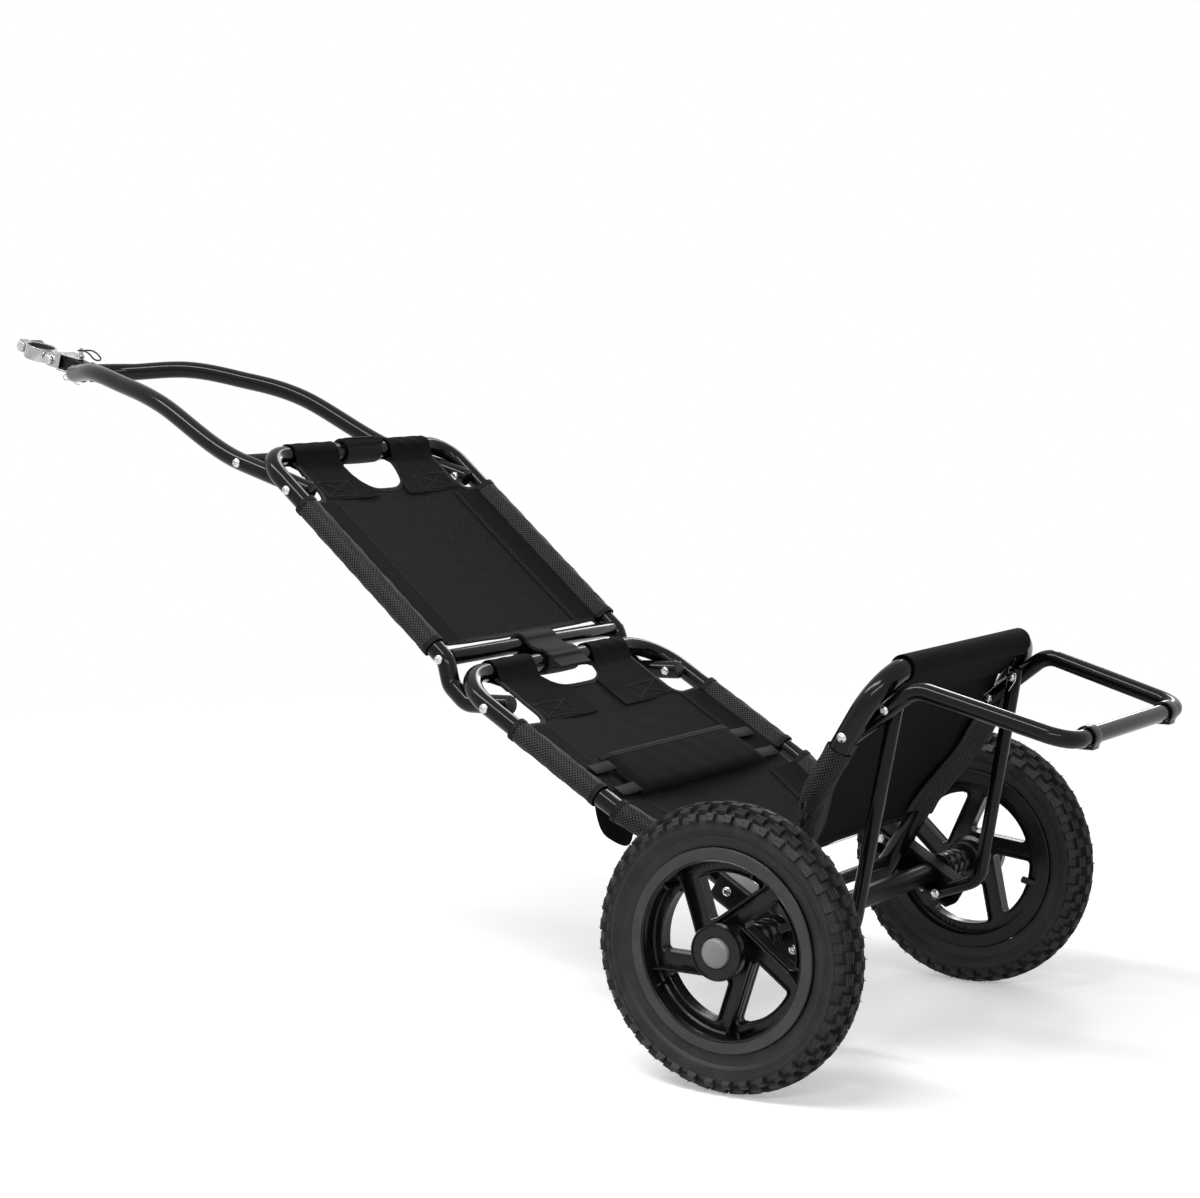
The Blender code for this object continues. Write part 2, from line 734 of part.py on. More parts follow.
def loop_round(obj, parent, path, spans, tube_r, name):
    """Join cloth loops round a top tube to a panel. Spans are in X."""
    for index, (low, high) in enumerate(spans):
        turned_path = [Vector((point.y, point.x, point.z)) for point in path]
        part = slice_y(turned_path, low - HEM, high + HEM)
        part = [Vector((point.y, point.x, point.z)) for point in part]
        part = [point for point in part if point.y > path_middle(path)]
        mesh = tube_mesh(part, around(tube_r) + CLOTH_T)
        combine(obj, add_cutter(f"{name}_loop_{index}", mesh, parent), "UNION")


def path_middle(path):
    """Half the highest Y of a path."""
    return max(point.y for point in path) / 2.0


def cut_tube(obj, parent, path, tube_r, name):
    """Clear a tube out of cloth."""
    mesh = tube_mesh(path, around(tube_r))
    return combine(obj, add_cutter(name + "_bore", mesh, parent))


def lower_sling(parent, path):
    """Lower sling: panel, two pairs of side sleeves, two loops."""
    notch = LOWER_HALF - FRAME_TUBE_R - TAB_CLEAR
    low = slice_y([p for p in path if p.x > 0.0], LOWER_PATCH_END_L, TAPER_HIGH_L)
    half = [(point.x, point.y) for point in low]
    half += [(notch, TAPER_HIGH_L - HEM), (notch, LOWER_SLEEVE_END_L + HEM),
             (LOWER_HALF, LOWER_SLEEVE_END_L), (LOWER_HALF, LOWER_CUT_L - HEM)]
    half += panel_top(LOWER_TAB_IN, LOWER_TAB_OUT, LOWER_CUT_L, LOWER_TOP_L, LOWER_HAND_L)
    mesh = plate_mesh([both_sides(half)], PANEL_T)
    obj = add("lower_sling", mesh, MESH, parent)
    sleeves(obj, parent, path, ((LOWER_SLEEVE_END_L, LOWER_CUT_L),
                                (LOWER_PATCH_END_L, TAPER_HIGH_L)), FRAME_TUBE_R, "lower")
    spans = ((LOWER_TAB_IN, LOWER_TAB_OUT), (-LOWER_TAB_OUT, -LOWER_TAB_IN))
    loop_round(obj, parent, path, spans, FRAME_TUBE_R, "lower")
    return cut_tube(obj, parent, path, FRAME_TUBE_R, "lower")


def upper_panel(parent, path):
    """Upper panel: side sleeves and two loops."""
    half = [(UPPER_HALF, UPPER_PANEL_END_U), (UPPER_HALF, UPPER_CUT_U - HEM)]
    half += panel_top(UPPER_TAB_IN, UPPER_TAB_OUT, UPPER_CUT_U, UPPER_TOP_U, UPPER_HAND_U)
    mesh = plate_mesh([both_sides(half)], PANEL_T)
    obj = add("upper_panel", mesh, MESH, parent, Matrix.Translation((0.0, 0.0, -UPPER_DROP)))
    sleeves(obj, parent, path, ((UPPER_PANEL_END_U, UPPER_CUT_U),), FRAME_TUBE_R, "upper")
    spans = ((UPPER_TAB_IN, UPPER_TAB_OUT), (-UPPER_TAB_OUT, -UPPER_TAB_IN))
    loop_round(obj, parent, path, spans, FRAME_TUBE_R, "upper")
    return cut_tube(obj, parent, path, FRAME_TUBE_R, "upper")


def platform_cover(parent, path):
    """Cover of the platform: side sleeves and a front wrap."""
    half = [(COVER_LOW_HALF, COVER_LOW_P), (COVER_LOW_HALF, PLATFORM_BEND_LOW_P),
            (COVER_EDGE_HALF, COVER_SLEEVE_LOW_P - HEM), (PLATFORM_HALF, COVER_SLEEVE_LOW_P),
            (PLATFORM_HALF, COVER_SLEEVE_HIGH_P), (COVER_EDGE_HALF, COVER_SLEEVE_HIGH_P + HEM),
            (COVER_EDGE_HALF, PLATFORM_FRONT_P - COVER_EDGE_BACK),
            (COVER_WRAP_HALF, PLATFORM_FRONT_P - COVER_WRAP_BACK)]
    outline = half + [(-x, y) for x, y in reversed(half)]
    mesh = plate_mesh([outline], PANEL_T)
    obj = add("platform_cover", mesh, CLOTH, parent, Matrix.Translation((0.0, 0.0, -COVER_DROP)))
    span = ((COVER_SLEEVE_LOW_P, COVER_SLEEVE_HIGH_P),)
    sleeves(obj, parent, path, span, PLATFORM_TUBE_R, "cover")
    span = ((-COVER_WRAP_HALF, COVER_WRAP_HALF),)
    loop_round(obj, parent, path, span, PLATFORM_TUBE_R, "cover")
    return cut_tube(obj, parent, path, PLATFORM_TUBE_R, "cover")


def hull_round(first, first_r, second, second_r, steps=8):
    """Outline of a belt round two circles in a plane."""
    first = Vector(first)
    second = Vector(second)
    line = second - first
    heading = math.atan2(line.y, line.x)
    lean = math.acos((first_r - second_r) / line.length)
    points = []
    for step in range(steps + 1):
        turn = heading + lean + (2.0 * math.pi - 2.0 * lean) * step / steps
        points.append(first + Vector((math.cos(turn), math.sin(turn))) * first_r)
    for step in range(steps + 1):
        turn = heading - lean + 2.0 * lean * step / steps
        points.append(second + Vector((math.cos(turn), math.sin(turn))) * second_r)
    return [tuple(point) for point in points]


def strap(name, parent, first, first_r, second, second_r):
    """Locking strap round a top tube and a cross tube."""
    first_r = around(first_r)
    second_r = around(second_r)
    inner = hull_round(first, first_r, second, second_r)
    outer = hull_round(first, first_r + STRAP_T, second, second_r + STRAP_T)
    upright = Matrix(((0.0, 0.0, 1.0, 0.0), (1.0, 0.0, 0.0, 0.0),
                      (0.0, 1.0, 0.0, 0.0), (0.0, 0.0, 0.0, 1.0)))
    return add(name, plate_mesh([outer, inner], STRAP_W), CLOTH, parent, upright)


# Bodies.

def build_lower(root):
    """Lower frame, brackets, axle tube, housings, sling and pivot bolts."""
    path = lower_path()
    frame = add("lower_frame_tube", tube_mesh(path, FRAME_TUBE_R), PAINT, root)
    drill_x(frame, root, LOWER_PIVOT_L, 0.0)
    for side, word in ((-1, "left"), (1, "right")):
        build_bracket(root, side, word)
        build_housing(root, side, word)
        bolt(f"lower_pivot_bolt_{word}", root, LOWER_HALF + FRAME_TUBE_R,
             UPPER_LEG_HALF - FRAME_TUBE_R, LOWER_PIVOT_L, 0.0, side)
        web = BRACKET_HALF - FRAME_TUBE_R - GAP + BRACKET_DEPTH
        bolt(f"platform_pivot_bolt_{word}", root, web,
             PLATFORM_FOOT_HALF - PLATFORM_TUBE_R - CROSS_BAR_GRIP,
             PLATFORM_PIVOT_L, PLATFORM_PIVOT_N, side, nut=False)
        bolt(f"strut_foot_bolt_{word}", root, web, STRUT_FOOT_HALF - STRUT_R,
             STRUT_PIVOT_L, STRUT_PIVOT_N, side)
    half = web_inner() - GAP
    axle = rod_mesh((-half, 0.0, 0.0), (half, 0.0, 0.0), AXLE_TUBE_R, AXLE_STEPS)
    axle = add("axle_tube", axle, PAINT, root)
    for side in (-1, 1):
        start = (side * (half - PIN_IN_AXLE), 0.0, 0.0)
        mesh = rod_mesh(start, (side * (half + OVERCUT), 0.0, 0.0), around(AXLE_PIN_R))
        combine(axle, add_cutter("axle_socket", mesh, root))
    lower_sling(root, path)
    pocket = box_mesh((-POCKET_HALF, POCKET_LOW_L, PANEL_T / 2 + GAP),
                      (POCKET_HALF, POCKET_LOW_L + POCKET_LEN, PANEL_T / 2 + GAP + POCKET_T))
    add("storage_pocket", pocket, CLOTH, root)


def web_outer():
    """Half width to the outer face of a bracket's web."""
    return BRACKET_HALF - FRAME_TUBE_R - GAP + BRACKET_DEPTH


def web_inner():
    """Half width to the inner face of a bracket's web."""
    return web_outer() - BRACKET_WALL


def build_bracket(root, side, word):
    """Channel with its open side inwards."""
    top = FRAME_TUBE_R + GAP
    outer = web_outer()
    inner = outer - BRACKET_DEPTH
    shell = box_mesh((min(side * inner, side * outer), BRACKET_LOW_L, -BRACKET_DROP),
                     (max(side * inner, side * outer), BRACKET_HIGH_L, top + BRACKET_WALL))
    obj = add(f"wheel_bracket_{word}", shell, PAINT, root)
    core = web_inner()
    mouth = inner - OVERCUT
    hollow = box_mesh((min(side * mouth, side * core), BRACKET_LOW_L - OVERCUT,
                       -BRACKET_DROP + BRACKET_WALL),
                      (max(side * mouth, side * core), BRACKET_HIGH_L + OVERCUT, top))
    combine(obj, add_cutter(f"hollow_{word}", hollow, root))
    notch = rod_mesh((side * mouth, 0.0, 0.0), (side * core, 0.0, 0.0),
                     around(AXLE_TUBE_R, AXLE_STEPS), AXLE_STEPS)
    combine(obj, add_cutter(f"notch_{word}", notch, root))
    drill_x(obj, root, PLATFORM_PIVOT_L, PLATFORM_PIVOT_N)
    drill_x(obj, root, STRUT_PIVOT_L, STRUT_PIVOT_N)
    drill_x(obj, root, 0.0, 0.0, radius=AXLE_PIN_R)
    return obj


def hub_inner_face():
    """Half width to the inner face of a hub."""
    return WHEEL_TRACK / 2.0 - HUB_IN


def build_housing(root, side, word):
    """Ribbed collar between bracket and hub."""
    start = web_outer() + GAP
    end = hub_inner_face() - HOUSING_TO_HUB
    bore = around(AXLE_PIN_R)
    profile = [(HOUSING_R, end)]
    pitch = (end - start) / (HOUSING_RIBS + 1)
    for index in range(HOUSING_RIBS, 0, -1):
        middle = start + pitch * index
        upper = middle + HOUSING_RIB_W / 2.0
        lower = middle - HOUSING_RIB_W / 2.0
        profile += [(HOUSING_R, upper), (HOUSING_RIB_R, upper),
                    (HOUSING_RIB_R, lower), (HOUSING_R, lower)]
    profile += [(HOUSING_R, start), (bore, start), (bore, end)]
    local = along_x(0.0, 0.0, 0.0, side)
    return turned(f"axle_housing_{word}", profile, PLASTIC, root, local, CUT_STEPS, True)


def build_upper(upper):
    """Upper frame, its cross tube, panel, strap and drawbar pivot bolts."""
    path = upper_path()
    frame = add("upper_frame_tube", tube_mesh(path, FRAME_TUBE_R), PAINT, upper)
    drill_x(frame, upper, 0.0, 0.0)
    drill_x(frame, upper, UPPER_CROSS_U, -UPPER_DROP)
    drill_x(frame, upper, UPPER_PIVOT_U, -UPPER_DROP)
    half = UPPER_HALF - FRAME_TUBE_R - GAP
    ends = [(x, UPPER_CROSS_U, -UPPER_DROP) for x in (-half, half)]
    cross = add("upper_cross_tube", rod_mesh(*ends, CROSS_TUBE_R), PAINT, upper)
    drill_x(cross, upper, UPPER_CROSS_U, -UPPER_DROP)
    tie_rod("upper_tie_rod", upper, UPPER_HALF + FRAME_TUBE_R, UPPER_CROSS_U, -UPPER_DROP)
    for side, word in ((-1, "left"), (1, "right")):
        bolt(f"drawbar_pivot_bolt_{word}", upper, UPPER_HALF + FRAME_TUBE_R,
             DRAWBAR_PIVOT_HALF - FRAME_TUBE_R - GAP, UPPER_PIVOT_U, -UPPER_DROP, side)
    top = UPPER.inverted() @ (LOWER @ Vector((0.0, LOWER_TOP_L, 0.0)))
    strap("lower_strap", upper, (top.y, top.z), FRAME_TUBE_R,
          (UPPER_CROSS_U, -UPPER_DROP), CROSS_TUBE_R)
    upper_panel(upper, path)


def build_drawbar(drawbar):
    """Drawbar, its cross tube, strap and tongue block."""
    path = drawbar_path()
    frame = add("drawbar_tube", tube_mesh(path, FRAME_TUBE_R), PAINT, drawbar)
    drill_x(frame, drawbar, 0.0, 0.0)
    drill_x(frame, drawbar, DRAWBAR_CROSS_D, 0.0)
    half = DRAWBAR_CROSS_HALF - FRAME_TUBE_R - GAP
    cross = rod_mesh((-half, DRAWBAR_CROSS_D, 0.0), (half, DRAWBAR_CROSS_D, 0.0), CROSS_TUBE_R)
    cross = add("drawbar_cross_tube", cross, PAINT, drawbar)
    combine(cross, add_cutter("drawbar_cope", tube_mesh(path, around(FRAME_TUBE_R)), drawbar))
    drill_x(cross, drawbar, DRAWBAR_CROSS_D, 0.0)
    tie_rod("drawbar_tie_rod", drawbar, DRAWBAR_CROSS_HALF + FRAME_TUBE_R, DRAWBAR_CROSS_D, 0.0)
    top = DRAWBAR.inverted() @ (UPPER @ Vector((0.0, UPPER_TOP_U, -UPPER_DROP)))
    strap("upper_strap", drawbar, (top.y, top.z), FRAME_TUBE_R, (DRAWBAR_CROSS_D, 0.0), CROSS_TUBE_R)
    local = DRAWBAR.inverted() @ HITCH
    w = BLOCK_W / 2.0
    block = box_mesh((-w, -BLOCK_BACK, BLOCK_RISE - w), (w, -BLOCK_FRONT, BLOCK_RISE + w))
    block = add("tongue_block", block, PAINT, drawbar, local)
    side = w + GAP
    notch = box_mesh((-side, -BLOCK_BACK - NOTCH_OVERCUT, BLOCK_RISE - side),
                     (side, -BLOCK_FRONT + NOTCH_OVERCUT, BLOCK_RISE + side + NOTCH_OVERCUT))
    combine(frame, add_cutter("block_notch", notch, drawbar, local))
    hole = rod_mesh((0.0, -PIN_BACK, -CUT_REACH), (0.0, -PIN_BACK, CUT_REACH), PIN_R + GAP)
    combine(block, add_cutter("block_hole", hole, drawbar, local))


def build_platform(platform):
    """Platform tube, cover, cross bar and kickstand pivot bolts."""
    path = platform_path()
    tube = add("platform_tube", tube_mesh(path, PLATFORM_TUBE_R), PAINT, platform)
    drill_x(tube, platform, 0.0, 0.0)
    drill_x(tube, platform, STAND_PIVOT_P, 0.0)
    half = PLATFORM_FOOT_HALF - PLATFORM_TUBE_R - GAP
    bar = rod_mesh((-half, 0.0, 0.0), (half, 0.0, 0.0), PLATFORM_BAR_R)
    bar = add("platform_cross_bar", bar, PAINT, platform)
    drill_x(bar, platform, 0.0, 0.0)
    for side, word in ((-1, "left"), (1, "right")):
        bolt(f"stand_pivot_bolt_{word}", platform, PLATFORM_HALF + PLATFORM_TUBE_R,
             STAND_HALF - STAND_TUBE_R, STAND_PIVOT_P, 0.0, side)
    platform_cover(platform, path)


def build_stand(stand):
    """Kickstand tube, foot clips and strut head bolts."""
    path = stand_path()
    tube = add("kickstand_tube", tube_mesh(path, STAND_TUBE_R), PAINT, stand)
    drill_x(tube, stand, 0.0, 0.0)
    drill_x(tube, stand, STRUT_HEAD_P, STRUT_HEAD_Q)
    for side, word in ((-1, "left"), (1, "right")):
        start = side * STAND_FOOT_CLIP_HALF - STAND_FOOT_CLIP_LEN / 2.0
        inner = around(STAND_TUBE_R)
        outer = inner + STAND_FOOT_CLIP_T
        profile = [(outer, start + STAND_FOOT_CLIP_LEN), (outer, start),
                   (inner, start), (inner, start + STAND_FOOT_CLIP_LEN)]
        turned(f"foot_clip_{word}", profile, PLASTIC, stand,
               along_x(0.0, STAND_FOOT_P, STAND_FOOT_Q, 1.0), CUT_STEPS, True)
        bolt(f"strut_head_bolt_{word}", stand, STAND_HALF + STAND_TUBE_R,
             STAND_HALF - STAND_TUBE_R + GAP, STRUT_HEAD_P, STRUT_HEAD_Q, side, nut=False,
             head_r=STRUT_BOLT_HEAD_R)


def build_struts(strut_empty):
    """Both struts with the nuts at their heads."""
    head = strut_head_local()
    for side, word in ((-1, "left"), (1, "right")):
        obj = add(f"strut_{word}", tube_mesh(strut_path(side), STRUT_R), PAINT, strut_empty)
        drill_x(obj, strut_empty, 0.0, 0.0)
        drill_x(obj, strut_empty, head.y, head.z)
        face = STRUT_HEAD_HALF - STRUT_R - GAP
        profile = [(0.0, STRUT_R), (BOLT_R, STRUT_R), (BOLT_R, 0.0), (BOLT_HEAD_R, 0.0),
                   (BOLT_HEAD_R, -NUT_H), (0.0, -NUT_H)]
        turned(f"strut_nut_{word}", profile, STEEL, strut_empty,
               along_x(side * face, head.y, head.z, side))


def build_wheel(wheel, side, word):
    """Tyre, moulded wheel, axle pin and release button."""
    local = along_x(0.0, 0.0, 0.0, side)
    seat = RIM_R + GAP
    middle = (TYRE_R + seat) / 2.0
    section = arc_points((middle, 0.0), TYRE_R - middle, TYRE_HALF_W, TYRE_ARC, -TYRE_ARC,
                         TYRE_ARC_STEPS)
    profile = [(seat, TYRE_BEAD_HALF_W)] + section + [(seat, -TYRE_BEAD_HALF_W)]
    turned(f"tyre_{word}", profile, RUBBER, wheel, local, WHEEL_STEPS, True)
    build_mag(wheel, side, word, local)
    seat = HUB_OUT - BUTTON_BODY - BUTTON_TRAVEL - 2 * GAP
    length = WHEEL_TRACK / 2.0 - (web_inner() - GAP - PIN_IN_AXLE) - PIN_END_PLAY
    profile = [(0.0, seat), (AXLE_PIN_R, seat), (AXLE_PIN_R, -length), (0.0, -length)]
    turned(f"axle_pin_{word}", profile, STEEL, wheel, local)


def build_mag(wheel, side, word, local):
    """Five-spoke wheel in one piece with its rim and hub. The two are mirror images."""
    name = f"wheel_{word}"
    ring = RIM_WEB_T / 2.0
    rim = [(RIM_R, RIM_HALF_W), (RIM_R, -RIM_HALF_W), (RIM_INNER_R, -RIM_HALF_W),
           (RIM_INNER_R, -ring), (RIM_WEB_R, -ring), (RIM_WEB_R, ring), (RIM_INNER_R, ring),
           (RIM_INNER_R, RIM_HALF_W)]
    obj = turned(name, rim, PLASTIC, wheel, local, WHEEL_STEPS, True)
    back = HUB_OUT - HUB_FLANGE_T
    bore = around(AXLE_PIN_R)
    floor = HUB_OUT - BUTTON_BODY - BUTTON_TRAVEL - 2 * GAP
    seat = around(BUTTON_R)
    web = SPOKE_T / 2.0 + HUB_WEB_PROUD
    hub = [(HUB_FLANGE_R, HUB_OUT), (HUB_FLANGE_R, back), (HUB_R, back), (HUB_R, web),
           (HUB_WEB_R, web), (HUB_WEB_R, -web), (HUB_R, -web), (HUB_R, -HUB_IN),
           (bore, -HUB_IN), (bore, floor), (seat, floor), (seat, HUB_OUT)]
    world = wheel.matrix_world @ local
    hub_cutter = turned(name + "_hub", hub, PLASTIC, None, world, HUB_STEPS, True)
    rolled = SPOKE_TURN_LEFT if side < 0 else SPOKE_TURN_RIGHT
    offset = -side * SPOKE_OFFSET
    for index in range(SPOKES):
        turn = Matrix.Rotation(rolled + 2.0 * math.pi * index / SPOKES, 4, "Z")
        low = (0.0, offset - SPOKE_W / 2.0, -SPOKE_T / 2.0)
        high = (RIM_INNER_R + SPOKE_IN_RIM, offset + SPOKE_W / 2.0, SPOKE_T / 2.0)
        spoke = add_cutter(f"{name}_spoke_{index}", box_mesh(low, high), None, world @ turn)
        combine(obj, spoke, "UNION")
    combine(obj, hub_cutter, "UNION")
    return obj


def build_button(button, side, word):
    """Release button in the hub's recess."""
    base = HUB_OUT - BUTTON_BODY
    rim = HUB_OUT + BUTTON_PROUD
    top = rim + BUTTON_DOME
    profile = [(0.0, top)]
    profile += [(BUTTON_R * out, top - BUTTON_DOME * drop) for out, drop in BUTTON_CURVE]
    profile += [(BUTTON_R, rim), (BUTTON_R, base), (0.0, base)]
    local = along_x(0.0, 0.0, 0.0, side)
    turned(f"release_button_{word}", profile, GREY, button, local, BUTTON_STEPS)


def build_yoke(yoke):
    """Yoke plate with ears and arms, in one piece."""
    w = BLOCK_W / 2.0 + SIDE_PLAY
    high = BLOCK_RISE + w + YOKE_T
    low = BLOCK_RISE - w - YOKE_T
    plate = box_mesh((-YOKE_HALF, -YOKE_PLATE_BACK, low), (YOKE_HALF, -YOKE_PLATE_BACK + YOKE_T, high))
    obj = add("yoke", plate, CHROME, yoke, YAW.inverted() @ HITCH)
    for word, level in (("top", high - YOKE_T / 2.0), ("bottom", low + YOKE_T / 2.0)):
        front = -YOKE_PLATE_BACK + YOKE_T / 2.0
        outline = [(YOKE_HALF, front), (YOKE_HALF, front - YOKE_ARM_ROOT)]
        outline += arc_points((0.0, -PIN_BACK), YOKE_ARM_END_R, YOKE_ARM_END_R, 0.0, -180.0, 6)
        outline += [(-YOKE_HALF, front - YOKE_ARM_ROOT), (-YOKE_HALF, front)]
        arm = plate_mesh([outline], YOKE_T)
        local = (YAW.inverted() @ HITCH) @ Matrix.Translation((0.0, 0.0, level))
        combine(obj, add_cutter("arm_" + word, arm, yoke, local), "UNION")
    for side in (-1, 1):
        middle = side * (YOKE_HALF - YOKE_T / 2.0)
        outline = arc_points((-YOKE_BOLT_BACK, 0.0), YOKE_EAR_R, YOKE_EAR_R, -90.0, 90.0, 6)
        outline += [(-YOKE_PLATE_BACK + YOKE_T / 2.0, high - YOKE_EDGE),
                    (-YOKE_PLATE_BACK + YOKE_T / 2.0, low + YOKE_EDGE)]
        ear = plate_mesh([outline], YOKE_T)
        upright = Matrix(((0.0, 0.0, 1.0, middle), (1.0, 0.0, 0.0, 0.0),
                          (0.0, 1.0, 0.0, 0.0), (0.0, 0.0, 0.0, 1.0)))
        combine(obj, add_cutter("ear", ear, yoke, (YAW.inverted() @ HITCH) @ upright), "UNION")
    hole = rod_mesh((0.0, -PIN_BACK, -CUT_REACH), (0.0, -PIN_BACK, CUT_REACH), PIN_R + GAP)
    combine(obj, add_cutter("yoke_hole", hole, yoke, YAW.inverted() @ HITCH))
    hole = cross_hole(-YOKE_BOLT_BACK)
    combine(obj, add_cutter("ear_hole", hole, yoke, YAW.inverted() @ HITCH))
    face = YOKE_HALF + GAP
    profile = head_profile(face, YOKE_BOLT_HEAD_R, YOKE_BOLT_HEAD_H)
    profile += [(BOLT_R, face), (BOLT_R, -face), (BOLT_HEAD_R, -face),
                (BOLT_HEAD_R, -face - NUT_H), (0.0, -face - NUT_H)]
    local = (YAW.inverted() @ HITCH) @ along_x(0.0, -YOKE_BOLT_BACK, 0.0, -1.0)
    turned("yoke_bolt", profile, STEEL, yoke, local)


def build_clamp(clamp, knob):
    """Clamp jaws, liners and screw, and the knob on the screw."""
    place = PITCH.inverted() @ HITCH
    lug_half = YOKE_HALF - YOKE_T - SIDE_PLAY
    outer = POST_R + LINER_T + GAP + JAW_T
    inner = POST_R + LINER_T + GAP
    ring = [(outer, JAW_HALF_H), (outer, -JAW_HALF_H), (inner, -JAW_HALF_H), (inner, JAW_HALF_H)]
    pad_half = JAW_HALF_H - LINER_INSET
    liner = [(inner - GAP, pad_half), (inner - GAP, -pad_half), (POST_R, -pad_half), (POST_R, pad_half)]
    reach = CUT_AWAY
    tall = CUT_REACH
    for side, word in ((-1, "left"), (1, "right")):
        jaw = turned(f"clamp_jaw_{word}", ring, CHROME, clamp, place, CLAMP_STEPS, True)
        ear_face = side * (JAW_SPLIT + CLAMP_EAR_T)
        ear = box_mesh((min(0.0, ear_face), inner + SIDE_PLAY, -pad_half),
                       (max(0.0, ear_face), CLAMP_EAR_OUT, pad_half))
        combine(jaw, add_cutter("ear_" + word, ear, clamp, place), "UNION")
        if side < 0:
            lug = lug_mesh(lug_half, (outer + inner) / 2.0)
            combine(jaw, add_cutter("lug", lug, clamp, place), "UNION")
            combine(jaw, add_cutter("lug_hole", cross_hole(-YOKE_BOLT_BACK), clamp, place))
            away = box_mesh((-JAW_SPLIT, -SEAM_OVERLAP, -tall), (reach, reach, tall))
            combine(jaw, add_cutter("away_front", away, clamp, place))
            away = box_mesh((lug_half, -reach, -tall), (reach, SEAM_OVERLAP, tall))
            combine(jaw, add_cutter("away_side", away, clamp, place))
        else:
            away = box_mesh((-reach, -SEAM_OVERLAP, -tall), (JAW_SPLIT, reach, tall))
            combine(jaw, add_cutter("away_front", away, clamp, place))
            away = box_mesh((-reach, -reach, -tall), (lug_half + GAP, SEAM_OVERLAP, tall))
            combine(jaw, add_cutter("away_side", away, clamp, place))
        hole = cross_hole(CLAMP_SCREW_F)
        combine(jaw, add_cutter("ear_hole_" + word, hole, clamp, place))
        pad = turned(f"clamp_liner_{word}", liner, LINER, clamp, place, CLAMP_STEPS, True)
        away = box_mesh((min(side * JAW_SPLIT, -side * reach), -reach, -tall),
                        (max(side * JAW_SPLIT, -side * reach), reach, tall))
        combine(pad, add_cutter("pad_cut_" + word, away, clamp, place))
    face = JAW_SPLIT + CLAMP_EAR_T + GAP
    profile = [(0.0, face + HEX_H), (HEX_R, face + HEX_H), (HEX_R, face), (BOLT_R, face),
               (BOLT_R, -face - KNOB_LEN + SCREW_SHORT), (0.0, -face - KNOB_LEN + SCREW_SHORT)]
    turned("clamp_screw", profile, STEEL, clamp, place @ along_x(0.0, CLAMP_SCREW_F, 0.0, -1.0))
    build_knob(knob, face)


def lug_mesh(half, start):
    """Rounded lug behind the ring for the yoke bolt."""
    outline = arc_points((-YOKE_BOLT_BACK, 0.0), LUG_R, LUG_R, 270.0, 90.0, 6)
    outline = [(-start, -LUG_R)] + outline + [(-start, LUG_R)]
    mesh = plate_mesh([outline], 2.0 * half)
    upright = Matrix(((0.0, 0.0, 1.0, 0.0), (1.0, 0.0, 0.0, 0.0),
                      (0.0, 1.0, 0.0, 0.0), (0.0, 0.0, 0.0, 1.0)))
    mesh.transform(upright)
    return mesh


def build_knob(knob, face):
    """Knob on the far end of the clamp screw."""
    low = face + GAP
    bore = around(BOLT_R, BOLT_STEPS)
    top = low + KNOB_LEN
    profile = [(0.0, top), (KNOB_R * KNOB_TOP_SHARE, top), (KNOB_R, top - KNOB_EDGE),
               (KNOB_R, low + KNOB_EDGE), (KNOB_R * KNOB_NECK_SHARE, low), (bore, low),
               (bore, top - KNOB_EDGE), (0.0, top - KNOB_EDGE)]
    local = (SCREW.inverted() @ HITCH) @ along_x(0.0, CLAMP_SCREW_F, 0.0, 1.0)
    turned("clamp_knob", profile, PLASTIC, knob, local)


def build_pin(pin, bail):
    """Lock pin with an eye, and its wire bail."""
    top = BLOCK_RISE + BLOCK_W / 2.0 + SIDE_PLAY + YOKE_T + GAP
    bottom = BLOCK_RISE - BLOCK_W / 2.0 - SIDE_PLAY - YOKE_T - PIN_TAIL
    eye_top = bail_level() + PIN_EYE_ABOVE_BAIL
    profile = [(0.0, eye_top), (PIN_R * PIN_TOP_SHARE, eye_top), (PIN_R, eye_top - PIN_CHAMFER),
               (PIN_R, top + PIN_HEAD_H), (PIN_HEAD_R, top + PIN_HEAD_H), (PIN_HEAD_R, top),
               (PIN_R, top), (PIN_R, bottom), (0.0, bottom)]
    obj = turned("lock_pin", profile, CHROME, pin)
    level = bail_level()
    hole = rod_mesh((-PIN_HEAD_R, 0.0, level), (PIN_HEAD_R, 0.0, level), around(BAIL_WIRE_R))
    combine(obj, add_cutter("eye_hole", hole, pin))
    corners = [(0.0, 0.0, 0.0), (BAIL_HALF, 0.0, 0.0), (BAIL_HALF, -BAIL_REACH, BAIL_RISE),
               (-BAIL_HALF, -BAIL_REACH, BAIL_RISE), (-BAIL_HALF, 0.0, 0.0),
               (-PIN_R - BAIL_OPENING, 0.0, 0.0)]
    path = fillet(corners, [BAIL_EYE_R, BAIL_BOW_R, BAIL_BOW_R, BAIL_EYE_R])
    add("pin_bail", tube_mesh(path, BAIL_WIRE_R, WIRE_LEVEL), PLASTIC, bail)


def bail_level():
    """Height of the bail's axis over the hitch line."""
    top = BLOCK_RISE + BLOCK_W / 2.0 + SIDE_PLAY + YOKE_T + GAP
    return top + PIN_HEAD_H + PIN_EYE_BELOW_BAIL


clear_scene()
PARTS = collection("bike_cargo_trailer")
CUTTERS = collection("cutters")

